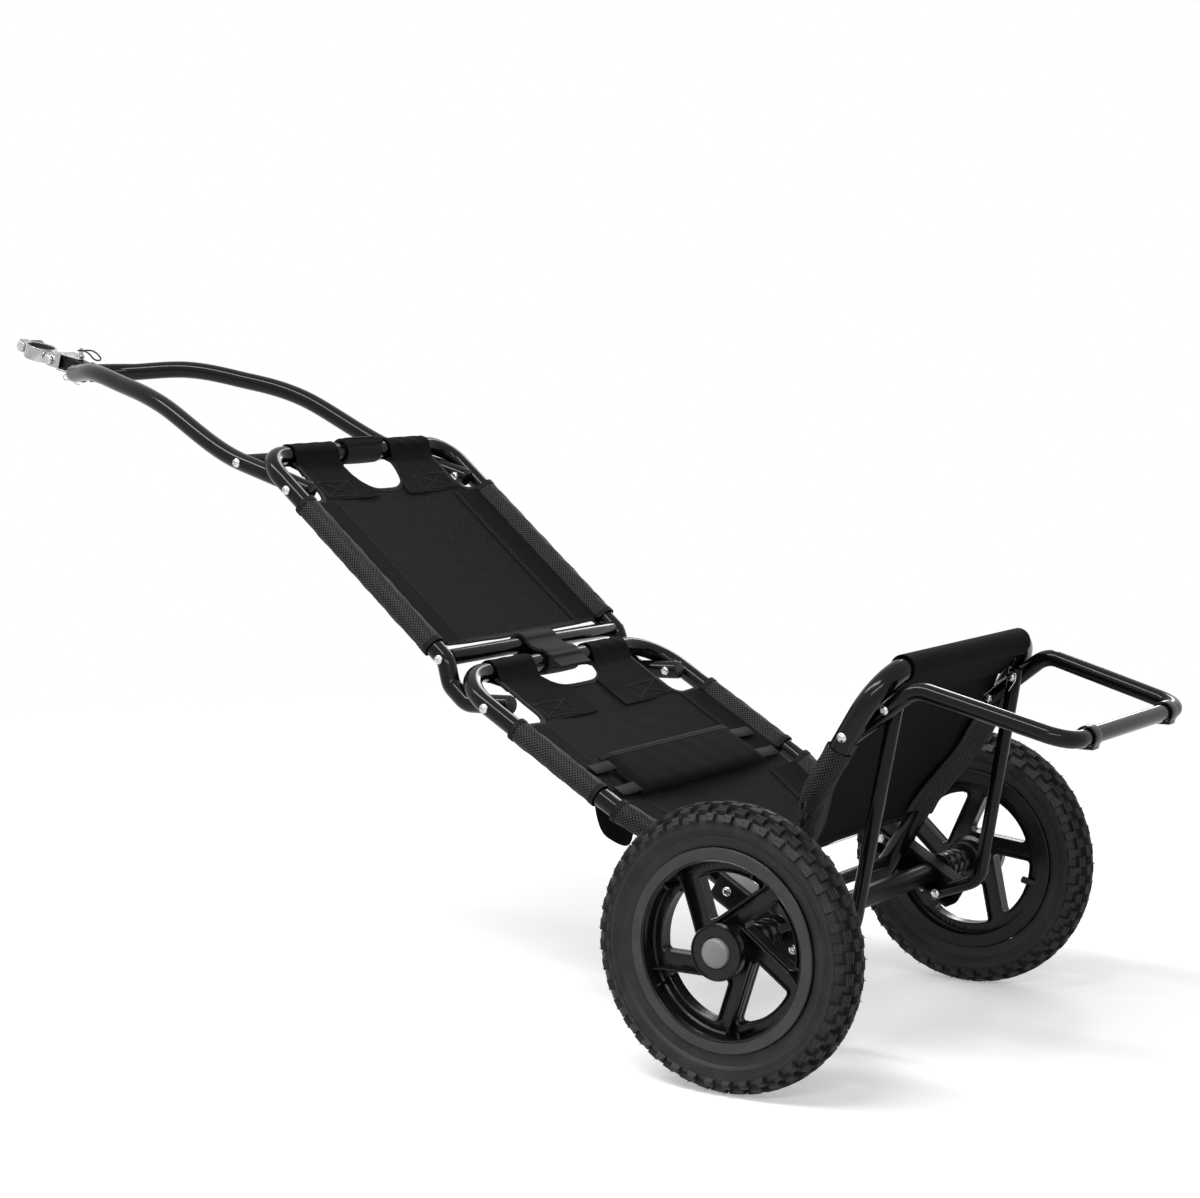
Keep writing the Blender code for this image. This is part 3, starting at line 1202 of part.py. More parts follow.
AXLE_AT = Vector((0.0, -CLAMP_AHEAD_OF_AXLE, TYRE_R - CLAMP_ABOVE_GROUND))
HITCH = axis_frame(POST_TILT, (0.0, 0.0, 0.0))
LOWER = axis_frame(LOWER_TILT, AXLE_AT)
UPPER = axis_frame(UPPER_TILT, LOWER @ Vector((0.0, LOWER_PIVOT_L, 0.0)))
DRAWBAR = axis_frame(DRAWBAR_TILT, UPPER @ Vector((0.0, UPPER_PIVOT_U, -UPPER_DROP)))
PLATFORM = axis_frame(PLATFORM_TILT, LOWER @ Vector((0.0, PLATFORM_PIVOT_L, PLATFORM_PIVOT_N)))
STAND = axis_frame(PLATFORM_TILT, PLATFORM @ Vector((0.0, STAND_PIVOT_P, 0.0)))
STRUT = axis_frame(LOWER_TILT, LOWER @ Vector((0.0, STRUT_PIVOT_L, STRUT_PIVOT_N)))
YAW = axis_frame(POST_TILT, HITCH @ Vector((0.0, -PIN_BACK, 0.0)))
PITCH = axis_frame(POST_TILT, HITCH @ Vector((0.0, -YOKE_BOLT_BACK, 0.0)))
SCREW = axis_frame(POST_TILT, HITCH @ Vector((0.0, CLAMP_SCREW_F, 0.0)))
BAIL = axis_frame(POST_TILT, HITCH @ Vector((0.0, -PIN_BACK, bail_level())))

build_lower(body_empty("lower_frame_body", LOWER))
build_upper(body_empty("upper_frame_axis", UPPER))
build_drawbar(body_empty("drawbar_axis", DRAWBAR))
build_platform(body_empty("platform_axis", PLATFORM))
build_stand(body_empty("kickstand_axis", STAND))
build_struts(body_empty("strut_axis", STRUT))
for SIDE, WORD in ((-1, "left"), (1, "right")):
    SPIN = Matrix.Translation(AXLE_AT + Vector((SIDE * WHEEL_TRACK / 2.0, 0.0, 0.0)))
    build_wheel(body_empty(f"wheel_axis_{WORD}", SPIN), SIDE, WORD)
    build_button(body_empty(f"button_axis_{WORD}", SPIN), SIDE, WORD)
build_yoke(body_empty("yoke_axis", YAW))
build_clamp(body_empty("clamp_axis", PITCH), body_empty("knob_axis", SCREW))
build_pin(body_empty("lock_pin_axis", YAW), body_empty("bail_axis", BAIL))
bpy.context.view_layer.update()
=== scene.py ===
"""Bike cargo trailer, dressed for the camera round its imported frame.

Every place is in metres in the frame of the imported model: +Z up, +Y the way the
trailer is towed, the middle of the seat post clamp at the origin. Local frames
follow the tubes: X across, Y along the tube, Z square to the tube's plane.
"""

import json
import logging
import math
from dataclasses import dataclass
from enum import Enum
from typing import Callable, Iterable, Sequence

import bmesh
import bpy
from mathutils import Matrix, Vector


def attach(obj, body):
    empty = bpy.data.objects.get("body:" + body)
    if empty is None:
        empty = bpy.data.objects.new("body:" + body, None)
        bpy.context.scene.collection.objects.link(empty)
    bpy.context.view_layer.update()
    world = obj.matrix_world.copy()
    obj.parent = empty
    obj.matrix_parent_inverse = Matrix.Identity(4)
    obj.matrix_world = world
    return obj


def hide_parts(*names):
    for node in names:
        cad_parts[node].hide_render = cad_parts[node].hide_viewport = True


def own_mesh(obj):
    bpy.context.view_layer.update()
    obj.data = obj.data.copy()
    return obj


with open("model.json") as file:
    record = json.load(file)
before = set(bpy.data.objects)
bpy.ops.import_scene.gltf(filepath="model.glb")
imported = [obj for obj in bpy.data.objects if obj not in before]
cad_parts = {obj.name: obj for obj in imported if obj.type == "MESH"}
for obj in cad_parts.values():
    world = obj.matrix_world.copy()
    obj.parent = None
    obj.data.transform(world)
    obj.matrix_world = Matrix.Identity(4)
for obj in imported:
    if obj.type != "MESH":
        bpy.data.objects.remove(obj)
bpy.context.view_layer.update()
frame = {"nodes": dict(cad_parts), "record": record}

LOG = logging.getLogger("trailer")
WELD = 1e-6
ARC_STEP = math.radians(6.0)
QUARTER = math.radians(90.0)
SOFT_ANGLE = 60.0
WHEEL_ANGLE = 32.0
ACROSS = Vector((1.0, 0.0, 0.0))
AHEAD = Vector((0.0, 1.0, 0.0))
UP = Vector((0.0, 0.0, 1.0))
ALONG_X = Matrix(((0.0, 0.0, 1.0, 0.0), (1.0, 0.0, 0.0, 0.0), (0.0, 1.0, 0.0, 0.0), (0.0, 0.0, 0.0, 1.0)))
ALONG_Y = Matrix(((1.0, 0.0, 0.0, 0.0), (0.0, 0.0, 1.0, 0.0), (0.0, 1.0, 0.0, 0.0), (0.0, 0.0, 0.0, 1.0)))


class Side(Enum):
    """The two sides of the trailer, as signs of X."""

    LEFT = -1
    RIGHT = 1

    @property
    def word(self) -> str:
        """Name of the side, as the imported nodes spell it."""
        return self.name.lower()

    @property
    def outward(self) -> Matrix:
        """Turn that points Z away from the middle."""
        return Matrix.Rotation(QUARTER * self.value, 4, "Y")

    @property
    def mirror(self) -> Matrix:
        """Scale that brings points of the right half to this side."""
        return Matrix.Diagonal((self.value, 1.0, 1.0, 1.0))


class Edge(Enum):
    """How far a hard edge is rounded, in metres."""

    SHARP = 0.0
    FINE = 0.0004


# Nodes.


def joined(operation: str, swapped: bool = False) -> Callable:
    """Method that joins a signal and another value in a Math node.

    Args:
        operation: what the Math node does.
        swapped: whether the other value comes first.

    Returns:
        The method.
    """

    def method(self: "Signal", other: "Signal | float" = 0.0) -> "Signal":
        """Result of the Math node."""
        pair = (other, self) if swapped else (self, other)
        return self.nodes.number("ShaderNodeMath", {"operation": operation}, dict(enumerate(pair)))

    return method


class Signal:
    """A number that runs through a tree's nodes and takes part in sums."""

    __add__ = __radd__ = joined("ADD")
    __sub__ = joined("SUBTRACT")
    __rsub__ = joined("SUBTRACT", True)
    __mul__ = __rmul__ = joined("MULTIPLY")
    __truediv__ = joined("DIVIDE")
    least = joined("MINIMUM")
    most = joined("MAXIMUM")
    part = joined("FRACT")
    floor = joined("FLOOR")
    sine = joined("SINE")
    cosine = joined("COSINE")

    def __init__(self, nodes: "Nodes", socket: bpy.types.NodeSocket) -> None:
        """Wrap one output socket."""
        self.nodes = nodes
        self.socket = socket

    def wave(self, turns: float) -> "Signal":
        """Sine of this, with a number of turns for each unit, from 0 to 1."""
        return (self * (turns * 2.0 * math.pi)).sine() * 0.5 + 0.5

    def span(self, low: float, high: float) -> "Signal":
        """0 below low and 1 above high, smooth between them."""
        return self.nodes.number("ShaderNodeMapRange", {"interpolation_type": "SMOOTHSTEP"},
                                 {"Value": self, "From Min": low, "From Max": high})


class Nodes:
    """A node tree that grows node by node."""

    def __init__(self, tree: bpy.types.NodeTree) -> None:
        """Empty the tree."""
        self.tree = tree
        self.tree.nodes.clear()

    def node(self, kind: str, settings: dict | None = None, sockets: dict | None = None) -> bpy.types.Node:
        """Add a node.

        Args:
            kind: the node's type.
            settings: properties, set before the sockets.
            sockets: values or links by socket name or number.

        Returns:
            The new node.
        """
        made = self.tree.nodes.new(kind)
        for key, value in (settings or {}).items():
            setattr(made, key, value)
        for key, value in (sockets or {}).items():
            source = value.socket if isinstance(value, Signal) else value
            if isinstance(source, bpy.types.NodeSocket):
                self.tree.links.new(source, made.inputs[key])
            else:
                made.inputs[key].default_value = source
        return made

    def number(self, kind: str, settings: dict | None = None, sockets: dict | None = None,
               out: int | str = 0) -> Signal:
        """Add a node and wrap one of its outputs."""
        return Signal(self, self.node(kind, settings, sockets).outputs[out])

    def seen(self) -> Signal:
        """1 for the camera, in reflections and through gaps, 0 for light on surfaces.

        Returns:
            The number.
        """
        rays = self.node("ShaderNodeLightPath").outputs
        camera, glossy, through = (Signal(self, rays[f"Is {kind} Ray"])
                                   for kind in ("Camera", "Glossy", "Transmission"))
        return camera.most(glossy).most(through)


class Shading(Nodes):
    """The node tree of one material."""

    def __init__(self, name: str) -> None:
        """Make a material with an empty tree.

        Args:
            name: its name.
        """
        self.material = bpy.data.materials.new(name)
        self.material.use_nodes = True
        super().__init__(self.material.node_tree)

    def place(self) -> bpy.types.NodeSocket:
        """Object coordinates."""
        return self.node("ShaderNodeTexCoord").outputs["Object"]

    def flat(self) -> tuple[Signal, Signal]:
        """Coordinates of the flat cut in metres, from the piece's UV map."""
        apart = self.node("ShaderNodeSeparateXYZ", None, {0: self.node("ShaderNodeTexCoord").outputs["UV"]})
        return Signal(self, apart.outputs[0]), Signal(self, apart.outputs[1])

    def stretch(self, vector: bpy.types.NodeSocket, scale: tuple) -> bpy.types.NodeSocket:
        """Scale coordinates."""
        return self.node("ShaderNodeMapping", None, {"Vector": vector, "Scale": scale}).outputs[0]

    def noise(self, vector: bpy.types.NodeSocket, scale: float, detail: float = 2.0) -> Signal:
        """Noise from 0 to 1."""
        return self.number("ShaderNodeTexNoise", None, {"Vector": vector, "Scale": scale, "Detail": detail})

    def tint(self, share: Signal, low: tuple, high: tuple) -> bpy.types.NodeSocket:
        """Colour between two, by a share from 0 to 1.

        Args:
            share: how much of the second colour.
            low: colour at a share of 0.
            high: colour at a share of 1.

        Returns:
            The mixed colour.
        """
        mixed = self.node("ShaderNodeMix", {"data_type": "RGBA"},
                          {0: share, 6: (*low, 1.0), 7: (*high, 1.0)})
        return mixed.outputs[2]

    def bump(self, height: Signal, depth: float) -> bpy.types.NodeSocket:
        """Normal from a height of 0 to 1 that stands for a depth in metres."""
        sockets = {"Height": height, "Distance": depth, "Strength": 1.0}
        return self.node("ShaderNodeBump", None, sockets).outputs[0]

    def shade(self, links: dict, fixed: dict) -> bpy.types.Material:
        """Close the tree with the shader.

        Args:
            links: what varies over the surface.
            fixed: what is the same everywhere.

        Returns:
            The finished material.
        """
        shader = self.node("ShaderNodeBsdfPrincipled", None, {**fixed, **links})
        self.node("ShaderNodeOutputMaterial", None, {"Surface": shader.outputs[0]})
        return self.material


# Finishes.


@dataclass(frozen=True)
class Finish:
    """A finish of the trailer and the record's slot that it belongs to."""

    name: str
    slot: str
    colour: tuple
    light: tuple
    roughness: float
    spread: float
    specular: float
    grain: float = 900.0
    depth: float = 0.00002

    def dress(self) -> bpy.types.Material:
        """Material of this finish, made once."""
        return bpy.data.materials.get(self.name) or self.make(Shading(self.name))

    def make(self, nodes: Shading) -> bpy.types.Material:
        """Build the nodes."""
        raise NotImplementedError


@dataclass(frozen=True)
class GlossPaint(Finish):
    """Sprayed paint with orange peel, faint dust and hairline rubs."""

    bend: float = 1.2
    cloud_scale: float = 16.0
    rub_stretch: tuple = (60.0, 60.0, 300.0)
    rub_from: tuple = (0.62, 0.75)
    cloud_share: float = 0.7
    rub_share: float = 0.3

    def make(self, nodes: Shading) -> bpy.types.Material:
        """Build the nodes.

        Args:
            nodes: the material's tree.

        Returns:
            The finished material.
        """
        place = nodes.place()
        peel = nodes.noise(place, self.grain, 1.0)
        cloud = nodes.noise(place, self.cloud_scale, 4.0)
        rub = nodes.noise(nodes.stretch(place, self.rub_stretch), 1.0, 3.0).span(*self.rub_from)
        colour = nodes.tint(cloud * self.cloud_share + rub * self.rub_share, self.colour, self.light)
        return nodes.shade({"Base Color": colour, "Roughness": self.roughness + cloud * self.spread,
                            "Normal": nodes.bump(peel, self.depth)},
                           {"IOR": self.bend, "Specular IOR Level": self.specular})


@dataclass(frozen=True)
class Moulded(Finish):
    """Moulded plastic or rubber with a fine grain and rubbed, dusty patches."""

    dust: float = 0.4
    cloud_scale: float = 38.0
    dusty: tuple = (0.35, 0.75)
    grain_share: float = 0.25

    def make(self, nodes: Shading) -> bpy.types.Material:
        """Build the nodes.

        Args:
            nodes: the material's tree.

        Returns:
            The finished material.
        """
        place = nodes.place()
        grain = nodes.noise(place, self.grain, 3.0)
        cloud = nodes.noise(place, self.cloud_scale, 5.0)
        dust = (cloud.span(*self.dusty) * self.dust + grain * self.grain_share).least(1.0)
        return nodes.shade({"Base Color": nodes.tint(dust, self.colour, self.light),
                            "Roughness": self.roughness + cloud * self.spread,
                            "Normal": nodes.bump(grain, self.depth)},
                           {"Specular IOR Level": self.specular})


@dataclass(frozen=True)
class Metal(Finish):
    """Plated or turned metal with faint turning marks and smudges."""

    marks_stretch: tuple = (1.0, 0.15, 0.15)
    smudge_scale: float = 90.0

    def make(self, nodes: Shading) -> bpy.types.Material:
        """Build the nodes.

        Args:
            nodes: the material's tree.

        Returns:
            The finished material.
        """
        place = nodes.place()
        marks = nodes.noise(nodes.stretch(place, self.marks_stretch), self.grain, 2.0)
        smudge = nodes.noise(place, self.smudge_scale, 4.0)
        return nodes.shade({"Base Color": nodes.tint(smudge, self.colour, self.light),
                            "Roughness": self.roughness + smudge * self.spread,
                            "Normal": nodes.bump(marks, self.depth)},
                           {"Metallic": 1.0})


@dataclass(frozen=True)
class Woven(Finish):
    """Plain woven cloth or webbing; the weave follows the cut."""

    pitch: float = 0.0012
    crease: float = 0.0006
    cloud_scale: float = 24.0
    fuzz_scale: float = 1400.0
    folds_stretch: tuple = (34.0, 20.0, 20.0)
    shares: tuple = (0.5, 0.3, 0.2)

    def make(self, nodes: Shading) -> bpy.types.Material:
        """Build the nodes.

        Args:
            nodes: the material's tree.

        Returns:
            The finished material.
        """
        across, along = nodes.flat()
        over = (across / self.pitch + along / self.pitch).wave(0.5)
        thread = across.wave(1.0 / self.pitch) * over + along.wave(1.0 / self.pitch) * (1.0 - over)
        cloud = nodes.noise(nodes.place(), self.cloud_scale, 4.0)
        fuzz = nodes.noise(nodes.place(), self.fuzz_scale, 2.0)
        shade = thread * self.shares[0] + cloud * self.shares[1] + fuzz * self.shares[2]
        folds = nodes.noise(nodes.stretch(nodes.place(), self.folds_stretch), 1.0, 2.0)
        height = thread * (self.depth / self.crease) + folds
        return nodes.shade({"Base Color": nodes.tint(shade, self.colour, self.light),
                            "Roughness": self.roughness + fuzz * self.spread,
                            "Normal": nodes.bump(height, self.crease)},
                           {"Specular IOR Level": self.specular})


@dataclass(frozen=True)
class Netting(Finish):
    """Knitted mesh with rows of small holes, open or backed, or of small raised dots whose light colour is a
    painted glint.
    """

    pitch: float = 0.0030
    hole: float = 0.30
    rim: tuple = (0.35, 0.75)
    open_share: float = 0.0
    # Raised dots: the bump lifts them, and the light colour paints a glint on each one.
    raised: bool = False
    cloud_scale: float = 30.0
    fuzz_scale: float = 1500.0
    shares: tuple = (0.45, 0.25, 0.2, 0.1)
    rib_height: float = 0.2

    def make(self, nodes: Shading) -> bpy.types.Material:
        """Build the nodes.

        Args:
            nodes: the material's tree.

        Returns:
            The finished material.
        """
        across, along = nodes.flat()
        row = along / (self.pitch * 0.5)
        shift = row.floor() * 0.5
        cell = (across / self.pitch + shift).part() - 0.5
        rise = (row.part() - 0.5) * 0.5
        area = self.hole * self.hole
        thread = (cell * cell + rise * rise).span(area * self.rim[0], area * self.rim[1])
        # Raised dots take the light colour, a painted glint on each dot, with the dark base between them.
        if self.raised:
            thread = 1.0 - thread
        ribs = across.wave(1.0 / self.pitch)
        cloud = nodes.noise(nodes.place(), self.cloud_scale, 3.0)
        fuzz = nodes.noise(nodes.place(), self.fuzz_scale, 2.0)
        base, rib, soiled, fuzzy = self.shares
        shade = thread * (base + ribs * rib + cloud * soiled + fuzz * fuzzy)
        height = thread * (1.0 - self.rib_height) + ribs * self.rib_height
        links = {"Base Color": nodes.tint(shade, self.colour, self.light),
                 "Roughness": self.roughness + fuzz * self.spread,
                 "Normal": nodes.bump(height, self.depth)}
        if self.open_share:
            links["Alpha"] = 1.0 - (1.0 - thread) * self.open_share
        return nodes.shade(links, {"Specular IOR Level": self.specular})


def grey(level: float, blue: float | None = None) -> tuple:
    """Grey colour, with its own blue where one is given."""
    return (level, level, level if blue is None else blue)


PAINT = GlossPaint("gloss_black_paint", "black_paint", grey(0.0022, 0.0023), grey(0.0050, 0.0053),
                   0.12, 0.06, 0.90, 500.0, 0.0000012)
SATIN = GlossPaint("satin_black_paint", "black_paint", grey(0.0030, 0.0032), grey(0.0070, 0.0074),
                   0.30, 0.12, 0.75, 1500.0, 0.000006)
PLASTIC = Moulded("black_moulded_plastic", "moulded_plastic", grey(0.0026, 0.0028), grey(0.0085, 0.0090),
                  0.21, 0.12, 0.24, 2600.0, 0.000010)
RIM_PLASTIC = Moulded("satin_rim_plastic", "moulded_plastic", grey(0.020, 0.0204), grey(0.048, 0.049),
                      0.34, 0.14, 0.34, 2600.0, 0.00002)
RUBBER = Moulded("tyre_tread_rubber", "tyre_rubber", grey(0.0060), grey(0.026),
                 0.44, 0.22, 0.30, 1300.0, 0.00006, dust=0.5)
LINER = Moulded("clamp_liner_rubber", "liner_rubber", grey(0.010), grey(0.025),
                0.65, 0.2, 0.35, 1800.0, 0.00005)
GREY = Moulded("satin_grey_button", "button_plastic", grey(0.15, 0.153), grey(0.25, 0.255),
               0.30, 0.12, 0.5, 3200.0, 0.00002, dust=0.3)
CHROME = Metal("bright_chrome", "chrome", grey(0.29, 0.295), grey(0.58, 0.59),
               0.10, 0.16, 0.5, 500.0, 0.000004)
STEEL = Metal("zinc_steel", "bright_steel", grey(0.36, 0.365), grey(0.72, 0.73),
              0.16, 0.20, 0.5, 900.0, 0.00001)
CLOTH = Woven("black_pack_cloth", "black_webbing", grey(0.0016, 0.0017), grey(0.0050, 0.0054),
              0.76, 0.2, 0.08, depth=0.00005)
WEBBING = Woven("black_strap_webbing", "black_webbing", grey(0.0030, 0.0032), grey(0.011, 0.0115),
                0.62, 0.2, 0.16, depth=0.00012, pitch=0.0024, crease=0.0003)
BINDING = Woven("black_edge_tape", "black_webbing", grey(0.0025, 0.0026), grey(0.0080, 0.0085),
                0.60, 0.2, 0.16, depth=0.00008, pitch=0.0016, crease=0.0002)
# Sleeve mesh: near-black base, and light raised dots whose colour is a painted glint.
SPACER_PAINTED_GLINTS = Netting("black_sleeve_mesh", "black_webbing", grey(0.0014), grey(0.072, 0.074),
                 0.52, 0.2, 0.20, depth=0.0006, pitch=0.0042, raised=True)
# Panel mesh: dark yarn, darkened further as painted shade for the shadow of a bag lying on the sling.
MESH = Netting("grey_sling_mesh", "grey_mesh", grey(0.0018), grey(0.0105, 0.011),
               0.70, 0.2, 0.06, depth=0.0003, pitch=0.0030, open_share=0.18)
THREAD = Woven("seam_thread", "black_webbing", grey(0.010), grey(0.030, 0.031),
               0.6, 0.2, 0.25, depth=0.00003, pitch=0.0006, crease=0.0002)


# Places.


def tilted(degrees: float, origin: Sequence[float]) -> Matrix:
    """Frame whose Y runs at a tilt in the side view, at an origin."""
    return Matrix.Translation(Vector(origin)) @ Matrix.Rotation(math.radians(degrees), 4, "X")


@dataclass(frozen=True)
class Layout:
    """Where the trailer's frames are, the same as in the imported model."""

    axle: tuple = (0.0, -1.248, -0.602)
    ground: float = -0.757
    lower_tilt: float = 30.45
    lower_pivot: float = 0.4245
    upper_tilt: float = 40.1
    upper_pivot: float = 0.382
    upper_drop: float = 0.0168
    drawbar_tilt: float = 15.9
    platform_tilt: float = 121.0
    platform_pivot: tuple = (0.0427, -0.0110)
    stand_pivot: float = 0.239
    strut_pivot: tuple = (-0.0281, -0.0044)
    hitch_tilt: float = 17.0
    frame_r: float = 0.011
    cross_r: float = 0.0095
    gap: float = 0.0003

    @property
    def lower(self) -> Matrix:
        """Lower frame, from the axle along its side tubes."""
        return tilted(self.lower_tilt, self.axle)

    @property
    def upper(self) -> Matrix:
        """Upper frame, from the lower pivot."""
        return tilted(self.upper_tilt, self.lower @ Vector((0.0, self.lower_pivot, 0.0)))

    @property
    def drawbar(self) -> Matrix:
        """Drawbar, from its pivot."""
        pivot = Vector((0.0, self.upper_pivot, -self.upper_drop))
        return tilted(self.drawbar_tilt, self.upper @ pivot)

    @property
    def platform(self) -> Matrix:
        """Platform, from its pivot in the brackets."""
        return tilted(self.platform_tilt, self.lower @ Vector((0.0, *self.platform_pivot)))

    @property
    def stand(self) -> Matrix:
        """Kickstand, from its pivot on the platform."""
        return tilted(self.platform_tilt, self.platform @ Vector((0.0, self.stand_pivot, 0.0)))

    @property
    def strut(self) -> Matrix:
        """Struts, from their feet in the brackets."""
        return tilted(self.lower_tilt, self.lower @ Vector((0.0, *self.strut_pivot)))

    @property
    def hitch(self) -> Matrix:
        """Hitch line, from the middle of the clamp."""
        return tilted(self.hitch_tilt, (0.0, 0.0, 0.0))


PLAN = Layout()


# Meshes.


def fillet(points: Sequence[Sequence[float]], radii: Sequence[float]) -> list[Vector]:
    """Round the inner corners of a line.

    Args:
        points: corners of the line.
        radii: one radius for each inner corner.

    Returns:
        Points along the rounded line.
    """
    corners = [Vector(point) for point in points]
    path = [corners[0]]
    for index, radius in enumerate(radii, start=1):
        here = corners[index]
        back = (corners[index - 1] - here).normalized()
        ahead = (corners[index + 1] - here).normalized()
        turn = math.pi - back.angle(ahead)
        if turn < ARC_STEP / 6.0 or radius <= 0.0:
            path.append(here)
            continue
        start = here + back * radius * math.tan(turn / 2.0)
        centre = here + (back + ahead).normalized() * (radius / math.cos(turn / 2.0))
        axis = (-back).cross(ahead).normalized()
        steps = max(3, math.ceil(turn / ARC_STEP))
        for step in range(steps + 1):
            path.append(centre + Matrix.Rotation(turn * step / steps, 3, axis) @ (start - centre))
    path.append(corners[-1])
    return path


def mirrored(half: list[Vector]) -> list[Vector]:
    """Whole path from its +X half, given from the end to the middle."""
    return half + [Vector((-p.x, p.y, p.z)) for p in reversed(half) if p.x > WELD]


def between(path: list[Vector], low: float, high: float) -> list[Vector]:
    """Part of a path whose Y lies between two values, with exact ends.

    Args:
        path: points of the line.
        low: lowest Y that is kept.
        high: highest Y that is kept.

    Returns:
        Points of the line.
    """
    kept = []
    for first, second in zip(path, path[1:]):
        if low <= first.y <= high:
            kept.append(first)
        rise = second.y - first.y
        if abs(rise) > WELD:
            cuts = sorted((level - first.y) / rise for level in (low, high))
            kept += [first.lerp(second, cut) for cut in cuts if 1e-4 < cut < 1.0 - 1e-4]
    if low <= path[-1].y <= high:
        kept.append(path[-1])
    return kept


def arc(centre: tuple, radii: tuple, start: float, end: float, steps: int) -> list[tuple]:
    """Points of an elliptic arc in a plane, angles in degrees."""
    turns = [math.radians(start + (end - start) * step / steps) for step in range(steps + 1)]
    return [(centre[0] + radii[0] * math.cos(t), centre[1] + radii[1] * math.sin(t)) for t in turns]


def ring(radius: float, steps: int) -> list[tuple]:
    """Points of a circle round the origin."""
    return arc((0.0, 0.0), (radius, radius), 0.0, 360.0, steps)[:-1]


def spread(low: float, high: float, count: int) -> list[float]:
    """Even steps from one value to another, both included."""
    return [low + (high - low) * k / count for k in range(count + 1)]


def levels(low: float, high: float, step: float) -> list[float]:
    """Even steps of about a given size between two values, both included."""
    return spread(low, high, max(1, round((high - low) / step)))


def runs_of(points: Sequence[Sequence[float]]) -> list[float]:
    """How far along a line each of its points lies.

    Args:
        points: points of the line.

    Returns:
        One length for each point.
    """
    runs = [0.0]
    for first, second in zip(points, points[1:]):
        runs.append(runs[-1] + math.dist(first, second))
    return runs


def curved(first: Vector, second: Vector, slope_in: Vector, slope_out: Vector, t: float) -> Vector:
    """Point at a share of a smooth curve between two points, by its slopes there."""
    return (first * (2 * t ** 3 - 3 * t ** 2 + 1) + slope_in * (t ** 3 - 2 * t ** 2 + t)
            + second * (3 * t ** 2 - 2 * t ** 3) + slope_out * (t ** 3 - t ** 2))


def hoop(half: list[tuple], radii: list[float]) -> list[Vector]:
    """Rounded hoop from the corners and radii of its +X half, from the end to the middle."""
    return fillet(half + [(-x, y, z) for x, y, z in reversed(half)], radii + radii[::-1])


def crossing(reach: float, y: float = 0.0, z: float = 0.0) -> list[Vector]:
    """Straight line across the trailer."""
    return [Vector((x, y, z)) for x in (-reach, 0.0, reach)]


def leg_of(path: list[Vector], side: Side, low: float, high: float) -> list[Vector]:
    """Part of one leg of a hoop between two levels, from low to high."""
    return sorted(between([p for p in path if p.x * side.value > 0.0], low, high), key=lambda p: p.y)


